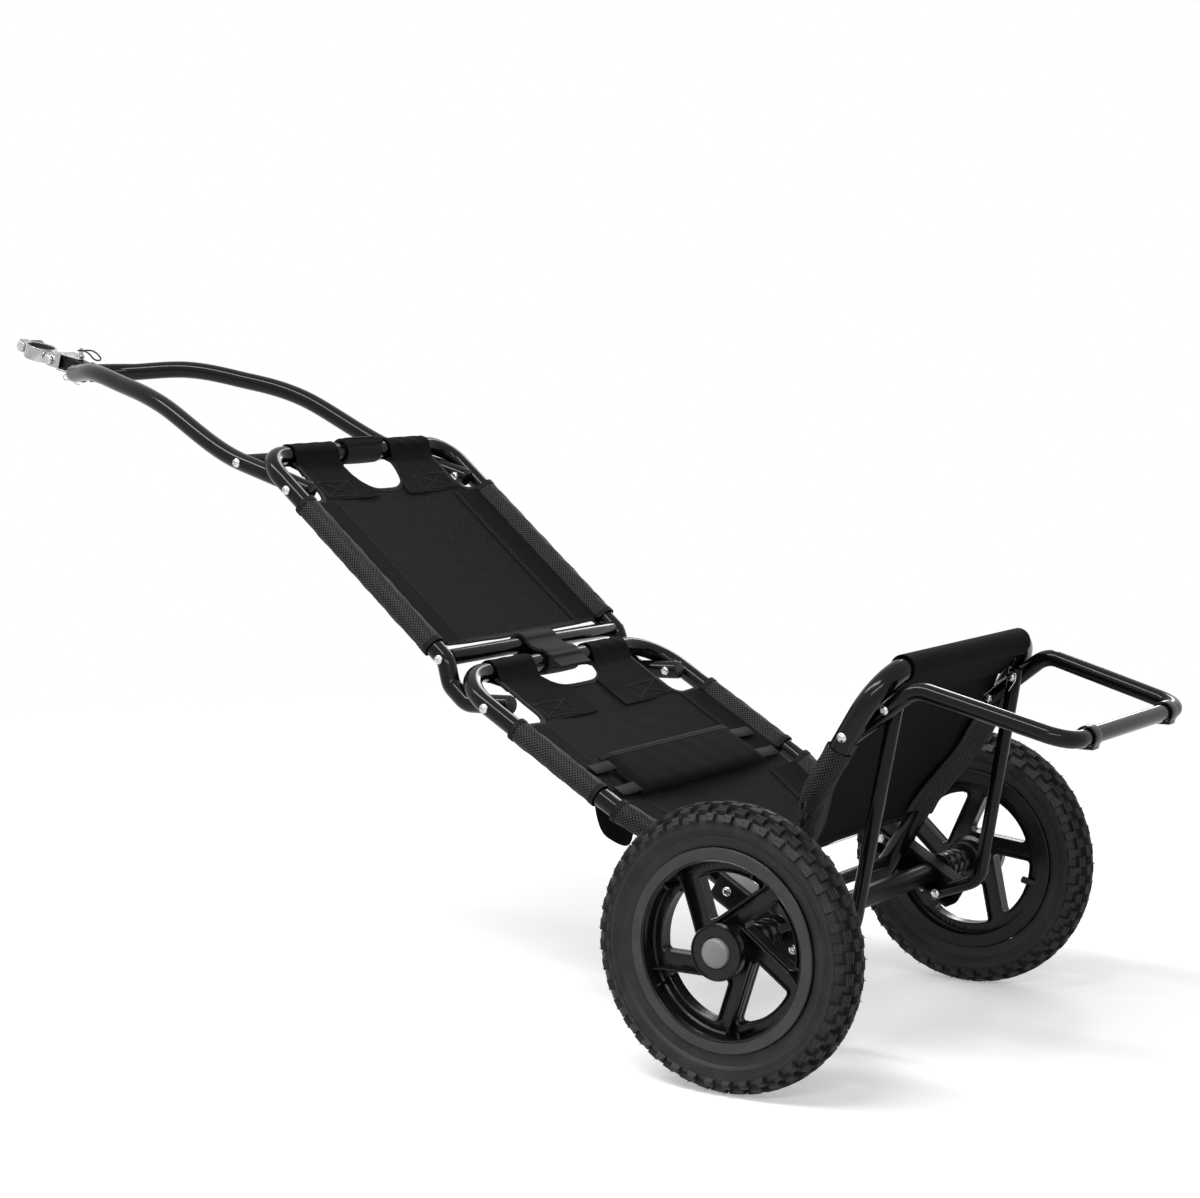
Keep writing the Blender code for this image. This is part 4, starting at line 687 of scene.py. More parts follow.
class Form:
    """A mesh in the making, with a UV map in metres of the flat cut."""

    def __init__(self) -> None:
        """Start empty."""
        self.work = bmesh.new()
        self.flat = self.work.loops.layers.uv.new("cut")

    def skin(self, rows: list[list[Vector]], flats: list[list[tuple]] | None = None,
             wrap: bool = False) -> None:
        """Cover rows of points with quads.

        Args:
            rows: equal rows of points.
            flats: a UV pair for each point; a wrapped row has one more.
            wrap: whether each row closes on itself.
        """
        made = [[self.work.verts.new(point) for point in row] for row in rows]
        count = len(rows[0])
        for i in range(len(rows) - 1):
            for j in range(count if wrap else count - 1):
                k = (j + 1) % count
                face = self.work.faces.new((made[i][j], made[i][k], made[i + 1][k], made[i + 1][j]))
                if flats:
                    for loop, (a, b) in zip(face.loops, ((i, j), (i, j + 1), (i + 1, j + 1), (i + 1, j))):
                        loop[self.flat].uv = flats[a][b]

    def lay(self, place: Matrix, rows: list[list[tuple]], runs: Sequence[float]) -> None:
        """Lay cloth over rows of a place's points; the cut runs along X and each row's run."""
        flats = [[(point[0], run) for point in row] for row, run in zip(rows, runs)]
        self.skin([[place @ Vector(point) for point in row] for row in rows], flats)

    def cap(self, row: list[Vector]) -> None:
        """Close a row of points with one face."""
        self.work.faces.new([self.work.verts.new(point) for point in row])

    def sweep(self, path: list[Vector], section: list[tuple], across: Vector | None = None,
              scales: list[float] | None = None, closed: bool = False, upward: Vector | None = None) -> None:
        """Sweep a closed section along a path.

        Args:
            path: points of the line.
            section: points of the section, first sideways, then upwards.
            across: sideways direction of a tape; a round section turns freely without it.
            scales: a scale of the section for each point.
            closed: whether the path ends where it starts.
            upward: direction that stays the section's up, for a line in a plane.
        """
        rows = []
        side = None
        last = len(path) - 1
        outline = runs_of(section + section[:1])
        for index, point in enumerate(path):
            before = path[index - 1] if index else (path[-2] if closed else point)
            after = path[index + 1] if index < last else (path[1] if closed else point)
            ahead = (after - before).normalized()
            if across is not None:
                side = across
            elif upward is not None:
                side = ahead.cross(upward)
            elif side is None:
                side = ahead.orthogonal()
            side = (side - ahead * side.dot(ahead)).normalized()
            up = side.cross(ahead)
            scale = scales[index] if scales else 1.0
            rows.append([point + side * (x * scale) + up * (y * scale) for x, y in section])
        self.skin(rows, [[(along, run) for along in outline] for run in runs_of(path)], True)
        if not closed:
            self.cap(rows[0])
            self.cap(rows[-1])

    def tube(self, path: list[Vector], radius: float, sides: int = 28, soften: float = 0.0012) -> None:
        """Round tube along a path, its ends slightly rounded.

        Args:
            path: points of the line.
            radius: outer radius.
            sides: points round the tube.
            soften: how far its ends are rounded.
        """
        first = (path[1] - path[0]).normalized()
        final = (path[-1] - path[-2]).normalized()
        ends = [path[0], path[0] + first * soften * 0.3, path[0] + first * soften]
        tail = [path[-1] - final * soften, path[-1] - final * soften * 0.3, path[-1]]
        shrink = [1.0 - soften / radius, 1.0 - 0.3 * soften / radius, 1.0]
        self.sweep(ends + path[1:-1] + tail, ring(radius, sides), None,
                   shrink + [1.0] * (len(path) - 2) + shrink[::-1])

    def turn(self, profile: list[tuple], place: Matrix, steps: int = 32, closed: bool = False) -> None:
        """Turn (radius, height) points round a place's Z.

        Args:
            profile: points of the outline, as radius and height.
            place: frame whose Z is the axis.
            steps: parts round the axis.
            closed: whether the outline ends where it starts.
        """
        outline = profile + profile[:1] if closed else profile
        runs = runs_of(outline)
        rows = []
        flats = []
        for angle in spread(0.0, 2.0 * math.pi, steps):
            rows.append([place @ Vector((r * math.cos(angle), r * math.sin(angle), z)) for r, z in outline])
            flats.append([(angle * outline[0][0] + angle * 0.01, run) for run in runs])
        self.skin(rows, flats)

    def plate(self, outlines: list[list[tuple]], low: float, high: float, place: Matrix,
              round_r: float = 0.0) -> None:
        """Flat plate from closed outlines, inner ones are holes.

        Args:
            outlines: closed outlines in the place's XY plane.
            low: lower face on the place's Z.
            high: upper face.
            place: where the plate is.
            round_r: how far its edges are rounded.
        """
        curve = bpy.data.curves.new("plate", "CURVE")
        curve.dimensions = "2D"
        curve.fill_mode = "BOTH"
        curve.extrude = (high - low) / 2.0 - round_r
        curve.bevel_depth = round_r
        curve.bevel_resolution = 2
        curve.offset = -round_r
        for outline in outlines:
            line = curve.splines.new("POLY")
            line.points.add(len(outline) - 1)
            for point, (x, y) in zip(line.points, outline):
                point.co = (x, y, 0.0, 1.0)
            line.use_cyclic_u = True
        self.take(evaluated(shown("plate", curve)),
                  place @ Matrix.Translation((0.0, 0.0, (low + high) / 2.0)))

    def block(self, low: Sequence[float], high: Sequence[float], place: Matrix) -> None:
        """Square block between two corners of a place.

        Args:
            low: corner with the lowest values.
            high: the opposite corner.
            place: frame of the corners.
        """
        size = Vector(high) - Vector(low)
        middle = (Vector(high) + Vector(low)) / 2.0
        bmesh.ops.create_cube(self.work, size=1.0,
                              matrix=place @ Matrix.Translation(middle) @ Matrix.Diagonal((*size, 1.0)))

    def take(self, mesh: bpy.types.Mesh, place: Matrix) -> None:
        """Add a finished mesh at a place."""
        mesh.transform(place)
        self.work.from_mesh(mesh)

    def tidy(self) -> None:
        """Weld what touches and turn the faces outwards."""
        bmesh.ops.remove_doubles(self.work, verts=self.work.verts, dist=WELD * 4.0)
        bmesh.ops.dissolve_degenerate(self.work, edges=self.work.edges, dist=WELD)
        bmesh.ops.recalc_face_normals(self.work, faces=self.work.faces)

    def mesh(self, name: str) -> bpy.types.Mesh:
        """Plain mesh of the form, which is used up.

        Args:
            name: its name.

        Returns:
            The mesh.
        """
        made = bpy.data.meshes.new(name)
        self.work.to_mesh(made)
        self.work.free()
        return made


def shown(name: str, data: bpy.types.ID) -> bpy.types.Object:
    """Object of some data, put in the scene.

    Args:
        name: its name.
        data: what the object shows.

    Returns:
        The new object.
    """
    made = bpy.data.objects.new(name, data)
    bpy.context.scene.collection.objects.link(made)
    return made


def evaluated(holder: bpy.types.Object) -> bpy.types.Mesh:
    """Plain mesh of an object with its modifiers, which is then removed.

    Args:
        holder: the object, which is used up.

    Returns:
        The mesh.
    """
    bpy.context.view_layer.update()
    mesh = bpy.data.meshes.new_from_object(holder.evaluated_get(bpy.context.evaluated_depsgraph_get()))
    bpy.data.objects.remove(holder, do_unlink=True)
    return mesh


@dataclass
class Piece:
    """How a finished form joins the model."""

    name: str
    look: Finish
    body: str
    stands_for: tuple = ()
    edge: Edge = Edge.SHARP
    angle: float = 38.0
    thick: float = 0.0
    levels: int = 0

    def publish(self, form: Form) -> bpy.types.Object:
        """Make the object of a form.

        Args:
            form: the mesh in the making.

        Returns:
            The object, at the origin, riding on its body.
        """
        form.tidy()
        mesh = form.mesh(self.name)
        if self.thick or self.edge is not Edge.SHARP or self.levels:
            holder = shown("holder", mesh)
            if self.thick:
                wall = holder.modifiers.new("wall", "SOLIDIFY")
                wall.thickness = self.thick
                wall.offset = 0.0
            if self.edge is not Edge.SHARP:
                bevel = holder.modifiers.new("edges", "BEVEL")
                bevel.width = self.edge.value
                bevel.segments = 2
                bevel.limit_method = "ANGLE"
                bevel.angle_limit = math.radians(self.angle)
            if self.levels:
                finer = holder.modifiers.new("finer", "SUBSURF")
                finer.levels = self.levels
                finer.render_levels = self.levels
            mesh = evaluated(holder)
            mesh.name = self.name
        mesh.shade_smooth()
        mesh.set_sharp_from_angle(angle=math.radians(self.angle))
        mesh.materials.clear()
        mesh.materials.append(self.look.dress())
        made = shown(self.name, mesh)
        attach(made, self.body)
        if self.stands_for:
            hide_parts(*self.stands_for)
        LOG.info("%s: %d faces on %s", self.name, len(mesh.polygons), self.body)
        return made

    def tube(self, place: Matrix, path: Iterable[Vector], radius: float, sides: int = 28,
             soften: float = 0.0012) -> bpy.types.Object:
        """Make the piece as one round tube.

        Args:
            place: frame of the path.
            path: centre line of the tube.
            radius: outer radius.
            sides: points round the tube.
            soften: how far its ends are rounded.

        Returns:
            The tube's object.
        """
        form = Form()
        form.tube([place @ point for point in path], radius, sides, soften)
        return self.publish(form)


def finished(node: str, look: Finish, body: str, **settings: float | Edge) -> Piece:
    """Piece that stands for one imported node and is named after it."""
    return Piece(node + "_finished", look, body, (node,), **settings)


def recut(node: str, look: Finish, body: str) -> bpy.types.Object:
    """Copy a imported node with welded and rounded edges, and let it stand for the node.

    Args:
        node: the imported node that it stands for.
        look: its finish.
        body: the body that it rides on.

    Returns:
        The new object.
    """
    form = Form()
    form.work.from_mesh(frame["nodes"][node].data)
    bmesh.ops.remove_doubles(form.work, verts=form.work.verts, dist=0.00002)
    flat = [e for e in form.work.edges if len(e.link_faces) == 2 and e.calc_face_angle() < math.radians(0.6)]
    bmesh.ops.dissolve_edges(form.work, edges=flat, use_verts=True)
    return finished(node, look, body, edge=Edge.FINE).publish(form)


# Geometry node trees.


class Tree(Nodes):
    """Geometry node tree with named inputs, run on a holder and read back as a plain mesh."""

    NAME = ""
    INPUTS = {}

    def __init__(self) -> None:
        """Make the tree and its sockets, then its nodes."""
        super().__init__(bpy.data.node_groups.new(self.NAME, "GeometryNodeTree"))
        face = self.tree.interface
        face.new_socket(name="Geometry", in_out="INPUT", socket_type="NodeSocketGeometry")
        inputs = {"Piece": "Object", **self.INPUTS, "Finish": "Material"}
        self.keys = {}
        for name, kind in inputs.items():
            socket = face.new_socket(name=name, in_out="INPUT", socket_type="NodeSocket" + kind)
            self.keys[name] = socket.identifier
        face.new_socket(name="Geometry", in_out="OUTPUT", socket_type="NodeSocketGeometry")
        source = self.node("NodeGroupInput").outputs
        points, turned = self.build(source)
        shape = self.node("GeometryNodeObjectInfo", None, {"Object": source["Piece"]})
        copies = self.node("GeometryNodeInstanceOnPoints", None, {
            "Points": points, "Instance": shape.outputs["Geometry"], "Rotation": turned})
        real = self.node("GeometryNodeRealizeInstances", None, {0: copies.outputs[0]})
        dressed = self.node("GeometryNodeSetMaterial", None, {
            "Geometry": real.outputs[0], "Material": source["Finish"]})
        self.node("NodeGroupOutput", None, {0: dressed.outputs[0]})

    def build(self, source: bpy.types.NodeOutputs) -> tuple:
        """Nodes of the tree; gives back the points and the turn of each copy."""
        raise NotImplementedError

    def run(self, mesh: bpy.types.Mesh, form: Form, look: Finish, values: dict) -> bpy.types.Mesh:
        """Plain mesh of the tree's result on a mesh.

        Args:
            mesh: what the tree starts from.
            form: what is repeated; it is used up.
            look: the finish of the copies.
            values: value of each named input.

        Returns:
            The realized copies.
        """
        form.tidy()
        shape = shown("pattern", form.mesh("pattern"))
        holder = shown("holder", mesh)
        step = holder.modifiers.new("tree", "NODES")
        step.node_group = self.tree
        for name, value in {"Piece": shape, "Finish": look.dress(), **values}.items():
            step[self.keys[name]] = value
        made = evaluated(holder)
        bpy.data.objects.remove(shape, do_unlink=True)
        return made


class RingTree(Tree):
    """Copies of a piece in a ring round X."""

    NAME = "ring_of_pieces"
    INPUTS = {"Count": "Int", "Radius": "Float", "Offset": "Float", "Phase": "Float", "Lean": "Float"}

    def build(self, source: bpy.types.NodeOutputs) -> tuple:
        """Points in a ring, each with its turn.

        Args:
            source: outputs of the group's input node.

        Returns:
            The points, and the turn of each copy.
        """
        count, radius, phase = (Signal(self, source[name]) for name in ("Count", "Radius", "Phase"))
        line = self.node("GeometryNodeMeshLine", None, {"Count": count, "Offset": (0.0, 0.0, 0.0)})
        angle = (self.number("GeometryNodeInputIndex") + phase) / count * (2.0 * math.pi)
        spot = self.node("ShaderNodeCombineXYZ", None, {
            0: source["Offset"], 1: angle.sine() * (radius * -1.0), 2: angle.cosine() * radius})
        points = self.node("GeometryNodeSetPosition", None, {
            "Geometry": line.outputs[0], "Position": spot.outputs[0]})
        lean, spin = (self.node("FunctionNodeEulerToRotation", None, {
            0: self.node("ShaderNodeCombineXYZ", None, angles).outputs[0]})
            for angles in ({1: source["Lean"]}, {0: angle}))
        both = self.node("FunctionNodeRotateRotation", {"rotation_space": "GLOBAL"},
                         {0: lean.outputs[0], 1: spin.outputs[0]})
        return points.outputs[0], both.outputs[0]

    def ring(self, form: Form, look: Finish, count: int, radius: float, offset: float = 0.0,
             phase: float = 0.0, lean: float = 0.0) -> bpy.types.Mesh:
        """Plain mesh of one ring of copies.

        Args:
            form: what is repeated, its Z outwards and its X along the ring's axis.
            look: the finish of the copies.
            count: how many stand in the ring.
            radius: radius of the ring.
            offset: place of the ring on its axis.
            phase: turn of the ring, in pieces.
            lean: turn of each piece towards the axis, in radians.

        Returns:
            The mesh, round the origin.
        """
        return self.run(bpy.data.meshes.new("ring"), form, look, {
            "Count": count, "Radius": radius, "Offset": offset, "Phase": phase, "Lean": lean})


class SeamTree(Tree):
    """Stitches at even steps along sewn lines."""

    NAME = "stitched_seams"
    INPUTS = {"Step": "Float", "Up": "Vector"}
    STEP = 0.0044
    LENGTH = 0.0031
    THREAD_R = 0.00042
    SINK = 0.0004
    RISE = 0.0001

    def build(self, source: bpy.types.NodeOutputs) -> tuple:
        """Points along the lines, each with the turn of its stitch.

        Args:
            source: outputs of the group's input node.

        Returns:
            The points, and the turn of each copy.
        """
        line = self.node("GeometryNodeMeshToCurve", None, {0: source["Geometry"]})
        points = self.node("GeometryNodeCurveToPoints", {"mode": "LENGTH"},
                           {0: line.outputs[0], "Length": source["Step"]})
        along = self.node("FunctionNodeAlignRotationToVector", {"axis": "Y"},
                          {"Vector": points.outputs["Tangent"]})
        laid = self.node("FunctionNodeAlignRotationToVector", {"axis": "Z", "pivot_axis": "Y"},
                         {"Rotation": along.outputs[0], "Vector": source["Up"]})
        return points.outputs[0], laid.outputs[0]

    def sew(self, name: str, body: str, lines: list[list[Vector]], up: Vector) -> bpy.types.Object:
        """Make the stitches of some seams.

        Args:
            name: name of the piece.
            body: the body that it rides on.
            lines: points of each seam, on the cloth's face.
            up: direction away from the cloth.

        Returns:
            The stitches' object.
        """
        half = self.LENGTH / 2.0
        side = ((-half, -self.SINK), (-half * 0.6, self.RISE), (half * 0.6, self.RISE), (half, -self.SINK))
        stitch = Form()
        stitch.sweep([Vector((0.0, y, z)) for y, z in side], ring(self.THREAD_R, 5))
        seams = bmesh.new()
        for line in lines:
            spots = [seams.verts.new(point) for point in line]
            for first, second in zip(spots, spots[1:]):
                seams.edges.new((first, second))
        mesh = bpy.data.meshes.new("seams")
        seams.to_mesh(mesh)
        seams.free()
        form = Form()
        form.take(self.run(mesh, stitch, THREAD, {"Step": self.STEP, "Up": tuple(up)}), Matrix.Identity(4))
        return Piece(name, THREAD, body, angle=SOFT_ANGLE).publish(form)


RINGS = RingTree()
SEAMS = SeamTree()


# Fasteners.


@dataclass(frozen=True)
class BoltSet:
    """Domed bolts, their nuts and the rods through the cross tubes."""

    shank_r: float = 0.003
    head_r: float = 0.0055
    head_h: float = 0.003
    nut_h: float = 0.0045
    socket_r: float = 0.0021
    socket_d: float = 0.0012
    washer_t: float = 0.0005
    rod_gap: float = 0.0005

    def head(self, form: Form, face: float, place: Matrix, head_r: float) -> None:
        """Domed head with a round recess, standing on a face.

        Args:
            form: the mesh in the making.
            face: height of the face that it lies on.
            place: frame of the bolt, its Z outwards.
            head_r: radius of the head.
        """
        top = face + self.head_h
        foot = face + self.washer_t
        dome = [(head_r * math.cos(t), foot + (self.head_h - self.washer_t) * math.sin(t))
                for t in (0.0, 0.25, 0.5, 0.75, 1.0)]
        profile = [(0.0, top - self.socket_d), (self.socket_r, top - self.socket_d),
                   (self.socket_r, face + self.head_h * 0.985), (self.socket_r * 1.2, top), *dome[::-1],
                   (head_r * 0.98, foot), (head_r, face), (self.shank_r, face)]
        form.turn(profile, place, 28)

    def nut(self, form: Form, face: float, place: Matrix, height: float) -> None:
        """Domed lock nut below a face.

        Args:
            form: the mesh in the making.
            face: height of the face that it lies on.
            place: frame of the bolt, its Z outwards.
            height: height of the nut.
        """
        form.plate([ring(self.head_r, 6)], face - height * 0.7, face, place, 0.0003)
        form.turn([(self.head_r * wide, face - height * deep)
                   for wide, deep in ((0.0, 1.0), (0.45, 1.0), (0.72, 0.85), (0.8, 0.68))], place, 20)

    def bolt(self, node: str, body: str, local: Matrix, outer: float, inner: float, side: Side,
             head_r: float | None = None, nut: bool = True) -> bpy.types.Object:
        """Make one bolt along X.

        Args:
            node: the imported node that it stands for.
            body: the body that it rides on.
            local: frame whose origin is on the bolt's line.
            outer: half width to the face under the head.
            inner: half width to the face at the nut or the tip.
            side: the side of the trailer.
            head_r: radius of the head where it isn't the usual one.
            nut: whether it has a nut.

        Returns:
            The bolt's object.
        """
        form = Form()
        place = local @ Matrix.Translation((side.value * (outer + PLAN.gap), 0.0, 0.0)) @ side.outward
        tip = inner - outer - 2.0 * PLAN.gap
        self.head(form, 0.0, place, head_r or self.head_r)
        form.turn([(self.shank_r, 0.0), (self.shank_r, tip), (0.0, tip)], place, 20)
        if nut:
            self.nut(form, tip, place, self.nut_h)
        return finished(node, STEEL, body).publish(form)

    def rod(self, node: str, body: str, local: Matrix, half: float) -> bpy.types.Object:
        """Rod through a cross tube with a head on its left end and a nut on the right.

        Args:
            node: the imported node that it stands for.
            body: the body that it rides on.
            local: frame whose X is the rod's line.
            half: half of the rod's length.

        Returns:
            The new object.
        """
        form = Form()
        turned = local @ Side.LEFT.outward
        face = half + self.rod_gap
        self.head(form, face, turned, self.head_r)
        form.turn([(self.shank_r, face), (self.shank_r, -face)], turned, 16)
        self.nut(form, -face, turned, self.nut_h)
        return finished(node, STEEL, body).publish(form)


BOLTS = BoltSet()


# Tubes.


@dataclass(frozen=True)
class LowerFrame:
    """Bent lower hoop, its brackets, axle tube and ribbed housings."""

    half: float = 0.2065
    foot_half: float = 0.1755
    top: float = 0.4825
    end: float = 0.052
    taper_low: float = 0.115
    taper_high: float = 0.2245
    corner_r: float = 0.058
    bend_r: float = 0.08
    web: float = 0.1942
    wall: float = 0.003
    fold_r: float = 0.006
    depth: float = 0.030
    drop: float = 0.0195
    bracket_low: float = -0.042
    bracket_high: float = 0.0875
    boss_r: float = 0.0185
    boss_h: float = 0.0022
    axle_r: float = 0.0125
    pin_bore: float = 0.0065
    hub_face: float = 0.261
    hub_gap: float = 0.0025
    housing_r: float = 0.0145
    ribs: tuple = ((0.0034, 0.0), (0.0028, 0.0016), (0.0018, 0.0025))
    bolt_at: float = 0.0705
    bolt_len: float = 0.0300
    rivet_h: float = 0.0016
    overlap: float = 0.0002

    @property
    def path(self) -> list[Vector]:
        """Centre line of the hoop in the lower frame.

        Returns:
            Points of the line.
        """
        return hoop([(self.foot_half, self.end, 0.0), (self.foot_half, self.taper_low, 0.0),
                     (self.half, self.taper_high, 0.0), (self.half, self.top, 0.0)],
                    [self.bend_r, self.bend_r, self.corner_r])

    def build(self) -> None:
        """Make the hoop and what sits at its feet."""
        Piece("lower_hoop", PAINT, "lower_frame", ("lower_frame_tube",)).tube(PLAN.lower, self.path,
                                                                              PLAN.frame_r)
        finished("axle_tube", SATIN, "lower_frame").tube(PLAN.lower, crossing(self.web - self.wall),
                                                         self.axle_r, 36)
        for side in Side:
            self.bracket(side)
            self.bolt(side)
            self.housing(side)

    def bracket(self, side: Side) -> None:
        """Folded channel with its open side inwards, and the boss round the axle.

        Args:
            side: the side of the trailer.
        """
        w = self.wall
        top = PLAN.frame_r + PLAN.gap + w
        low = -self.drop
        inner = self.web - self.depth
        outer = fillet([(inner, top, 0.0), (self.web, top, 0.0), (self.web, low, 0.0), (inner, low, 0.0)],
                       [self.fold_r] * 2)
        core = fillet([(inner, low + w, 0.0), (self.web - w, low + w, 0.0), (self.web - w, top - w, 0.0),
                       (inner, top - w, 0.0)], [self.fold_r / 2.0] * 2)
        form = Form()
        form.plate([[(p.x * side.value, p.y) for p in outer + core]], self.bracket_low, self.bracket_high,
                   PLAN.lower @ ALONG_Y, 0.0006)
        form.plate([ring(self.boss_r, 40)], self.web - self.overlap, self.web + self.boss_h,
                   PLAN.lower @ side.outward, 0.0006)
        Piece(f"bracket_{side.word}", SATIN, "lower_frame", (f"wheel_bracket_{side.word}",)).publish(form)

    def bolt(self, side: Side) -> None:
        """Bolt that holds the hoop in its bracket.

        Args:
            side: the side of the trailer.
        """
        form = Form()
        spot = Matrix.Translation((side.value * (self.web + self.overlap), self.bolt_at, 0.0))
        place = PLAN.lower @ spot @ side.outward
        BOLTS.head(form, 0.0, place, BOLTS.head_r)
        form.turn([(BOLTS.shank_r, 0.0), (BOLTS.shank_r, -self.bolt_len)], place, 16)
        BOLTS.nut(form, -self.bolt_len, place, self.rivet_h)
        Piece(f"hoop_bolt_{side.word}", STEEL, "lower_frame").publish(form)

    def housing(self, side: Side) -> None:
        """Collar between bracket and hub with raised ribs.

        Args:
            side: the side of the trailer.
        """
        start = self.web + PLAN.gap
        end = self.hub_face - self.hub_gap
        r = self.housing_r
        edge = 0.001
        profile = [(self.pin_bore, end), (r - edge, end), (r, end - edge)]
        for index in (3, 2, 1):
            middle = start + (end - start) / 4.0 * index
            profile += [(r + rise, middle + along) for along, rise in self.ribs]
            profile += [(r + rise, middle - along) for along, rise in reversed(self.ribs)]
        profile += [(r, start + edge), (r - edge, start), (self.pin_bore, start)]
        form = Form()
        form.turn(profile, PLAN.lower @ side.outward, 40, True)
        finished(f"axle_housing_{side.word}", PLASTIC, "lower_frame").publish(form)


@dataclass(frozen=True)
class UpperFrame:
    """Bent upper hoop with cranked leg ends and its cross tube."""

    half: float = 0.180
    leg_half: float = 0.1815
    cross: float = 0.093
    cross_bend: float = 0.003
    top: float = 0.440
    corner_r: float = 0.037
    crank: tuple = (0.036, 0.066, 0.033)
    crank_r: float = 0.02
    leg_past: float = 0.011
    socket: float = 0.002
    plug: tuple = ((0.0105, -0.0015), (0.0108, 0.0), (0.0108, 0.0012), (0.0095, 0.0026), (0.0, 0.0031))

    @property
    def heading(self) -> Vector:
        """Direction of a leg towards its end."""
        return -Vector((0.0, self.crank[0], -self.crank[2])).normalized()

    @property
    def path(self) -> list[Vector]:
        """Centre line of the hoop in the upper frame.

        Returns:
            Points of the line.
        """
        low, high, deep = self.crank
        past = self.heading * self.leg_past
        return hoop([(self.leg_half, past.y, past.z), (self.leg_half, low, -deep),
                     (self.leg_half, high, -deep),
                     (self.half, self.cross - self.cross_bend, -PLAN.upper_drop),
                     (self.half, self.top, -PLAN.upper_drop)], [self.crank_r] * 3 + [self.corner_r])

    def build(self, lower: LowerFrame, drawbar: "Drawbar") -> None:
        """Make the hoop, cross tube, rod and pivot bolts.

        Args:
            lower: the lower frame.
            drawbar: the drawbar.
        """
        Piece("upper_hoop", PAINT, "upper_frame", ("upper_frame_tube",)).tube(PLAN.upper, self.path,
                                                                              PLAN.frame_r)
        reach = self.half - PLAN.frame_r + self.socket
        finished("upper_cross_tube", PAINT, "upper_frame").tube(
            PLAN.upper, crossing(reach, self.cross, -PLAN.upper_drop), PLAN.cross_r)
        line = PLAN.upper @ Matrix.Translation((0.0, self.cross, -PLAN.upper_drop))
        BOLTS.rod("upper_tie_rod", "upper_frame", line, self.half + PLAN.frame_r)
        pivot = PLAN.upper @ Matrix.Translation((0.0, PLAN.upper_pivot, -PLAN.upper_drop))
        for side in Side:
            self.stopper(side)
            BOLTS.bolt(f"drawbar_pivot_bolt_{side.word}", "upper_frame", pivot, self.half + PLAN.frame_r,
                       drawbar.pivot_half - PLAN.frame_r - PLAN.gap, side)
            BOLTS.bolt(f"lower_pivot_bolt_{side.word}", "lower_frame", PLAN.upper, lower.half + PLAN.frame_r,
                       self.leg_half - PLAN.frame_r, side)

    def stopper(self, side: Side) -> None:
        """Plastic plug in the end of a leg.

        Args:
            side: the side of the trailer.
        """
        tip = Vector((side.value * self.leg_half, 0.0, 0.0)) + self.heading * self.leg_past
        turned = self.heading.to_track_quat("Z", "X").to_matrix().to_4x4()
        form = Form()
        form.turn(list(self.plug), PLAN.upper @ Matrix.Translation(tip) @ turned, 28)
        Piece(f"leg_plug_{side.word}", PLASTIC, "upper_frame").publish(form)


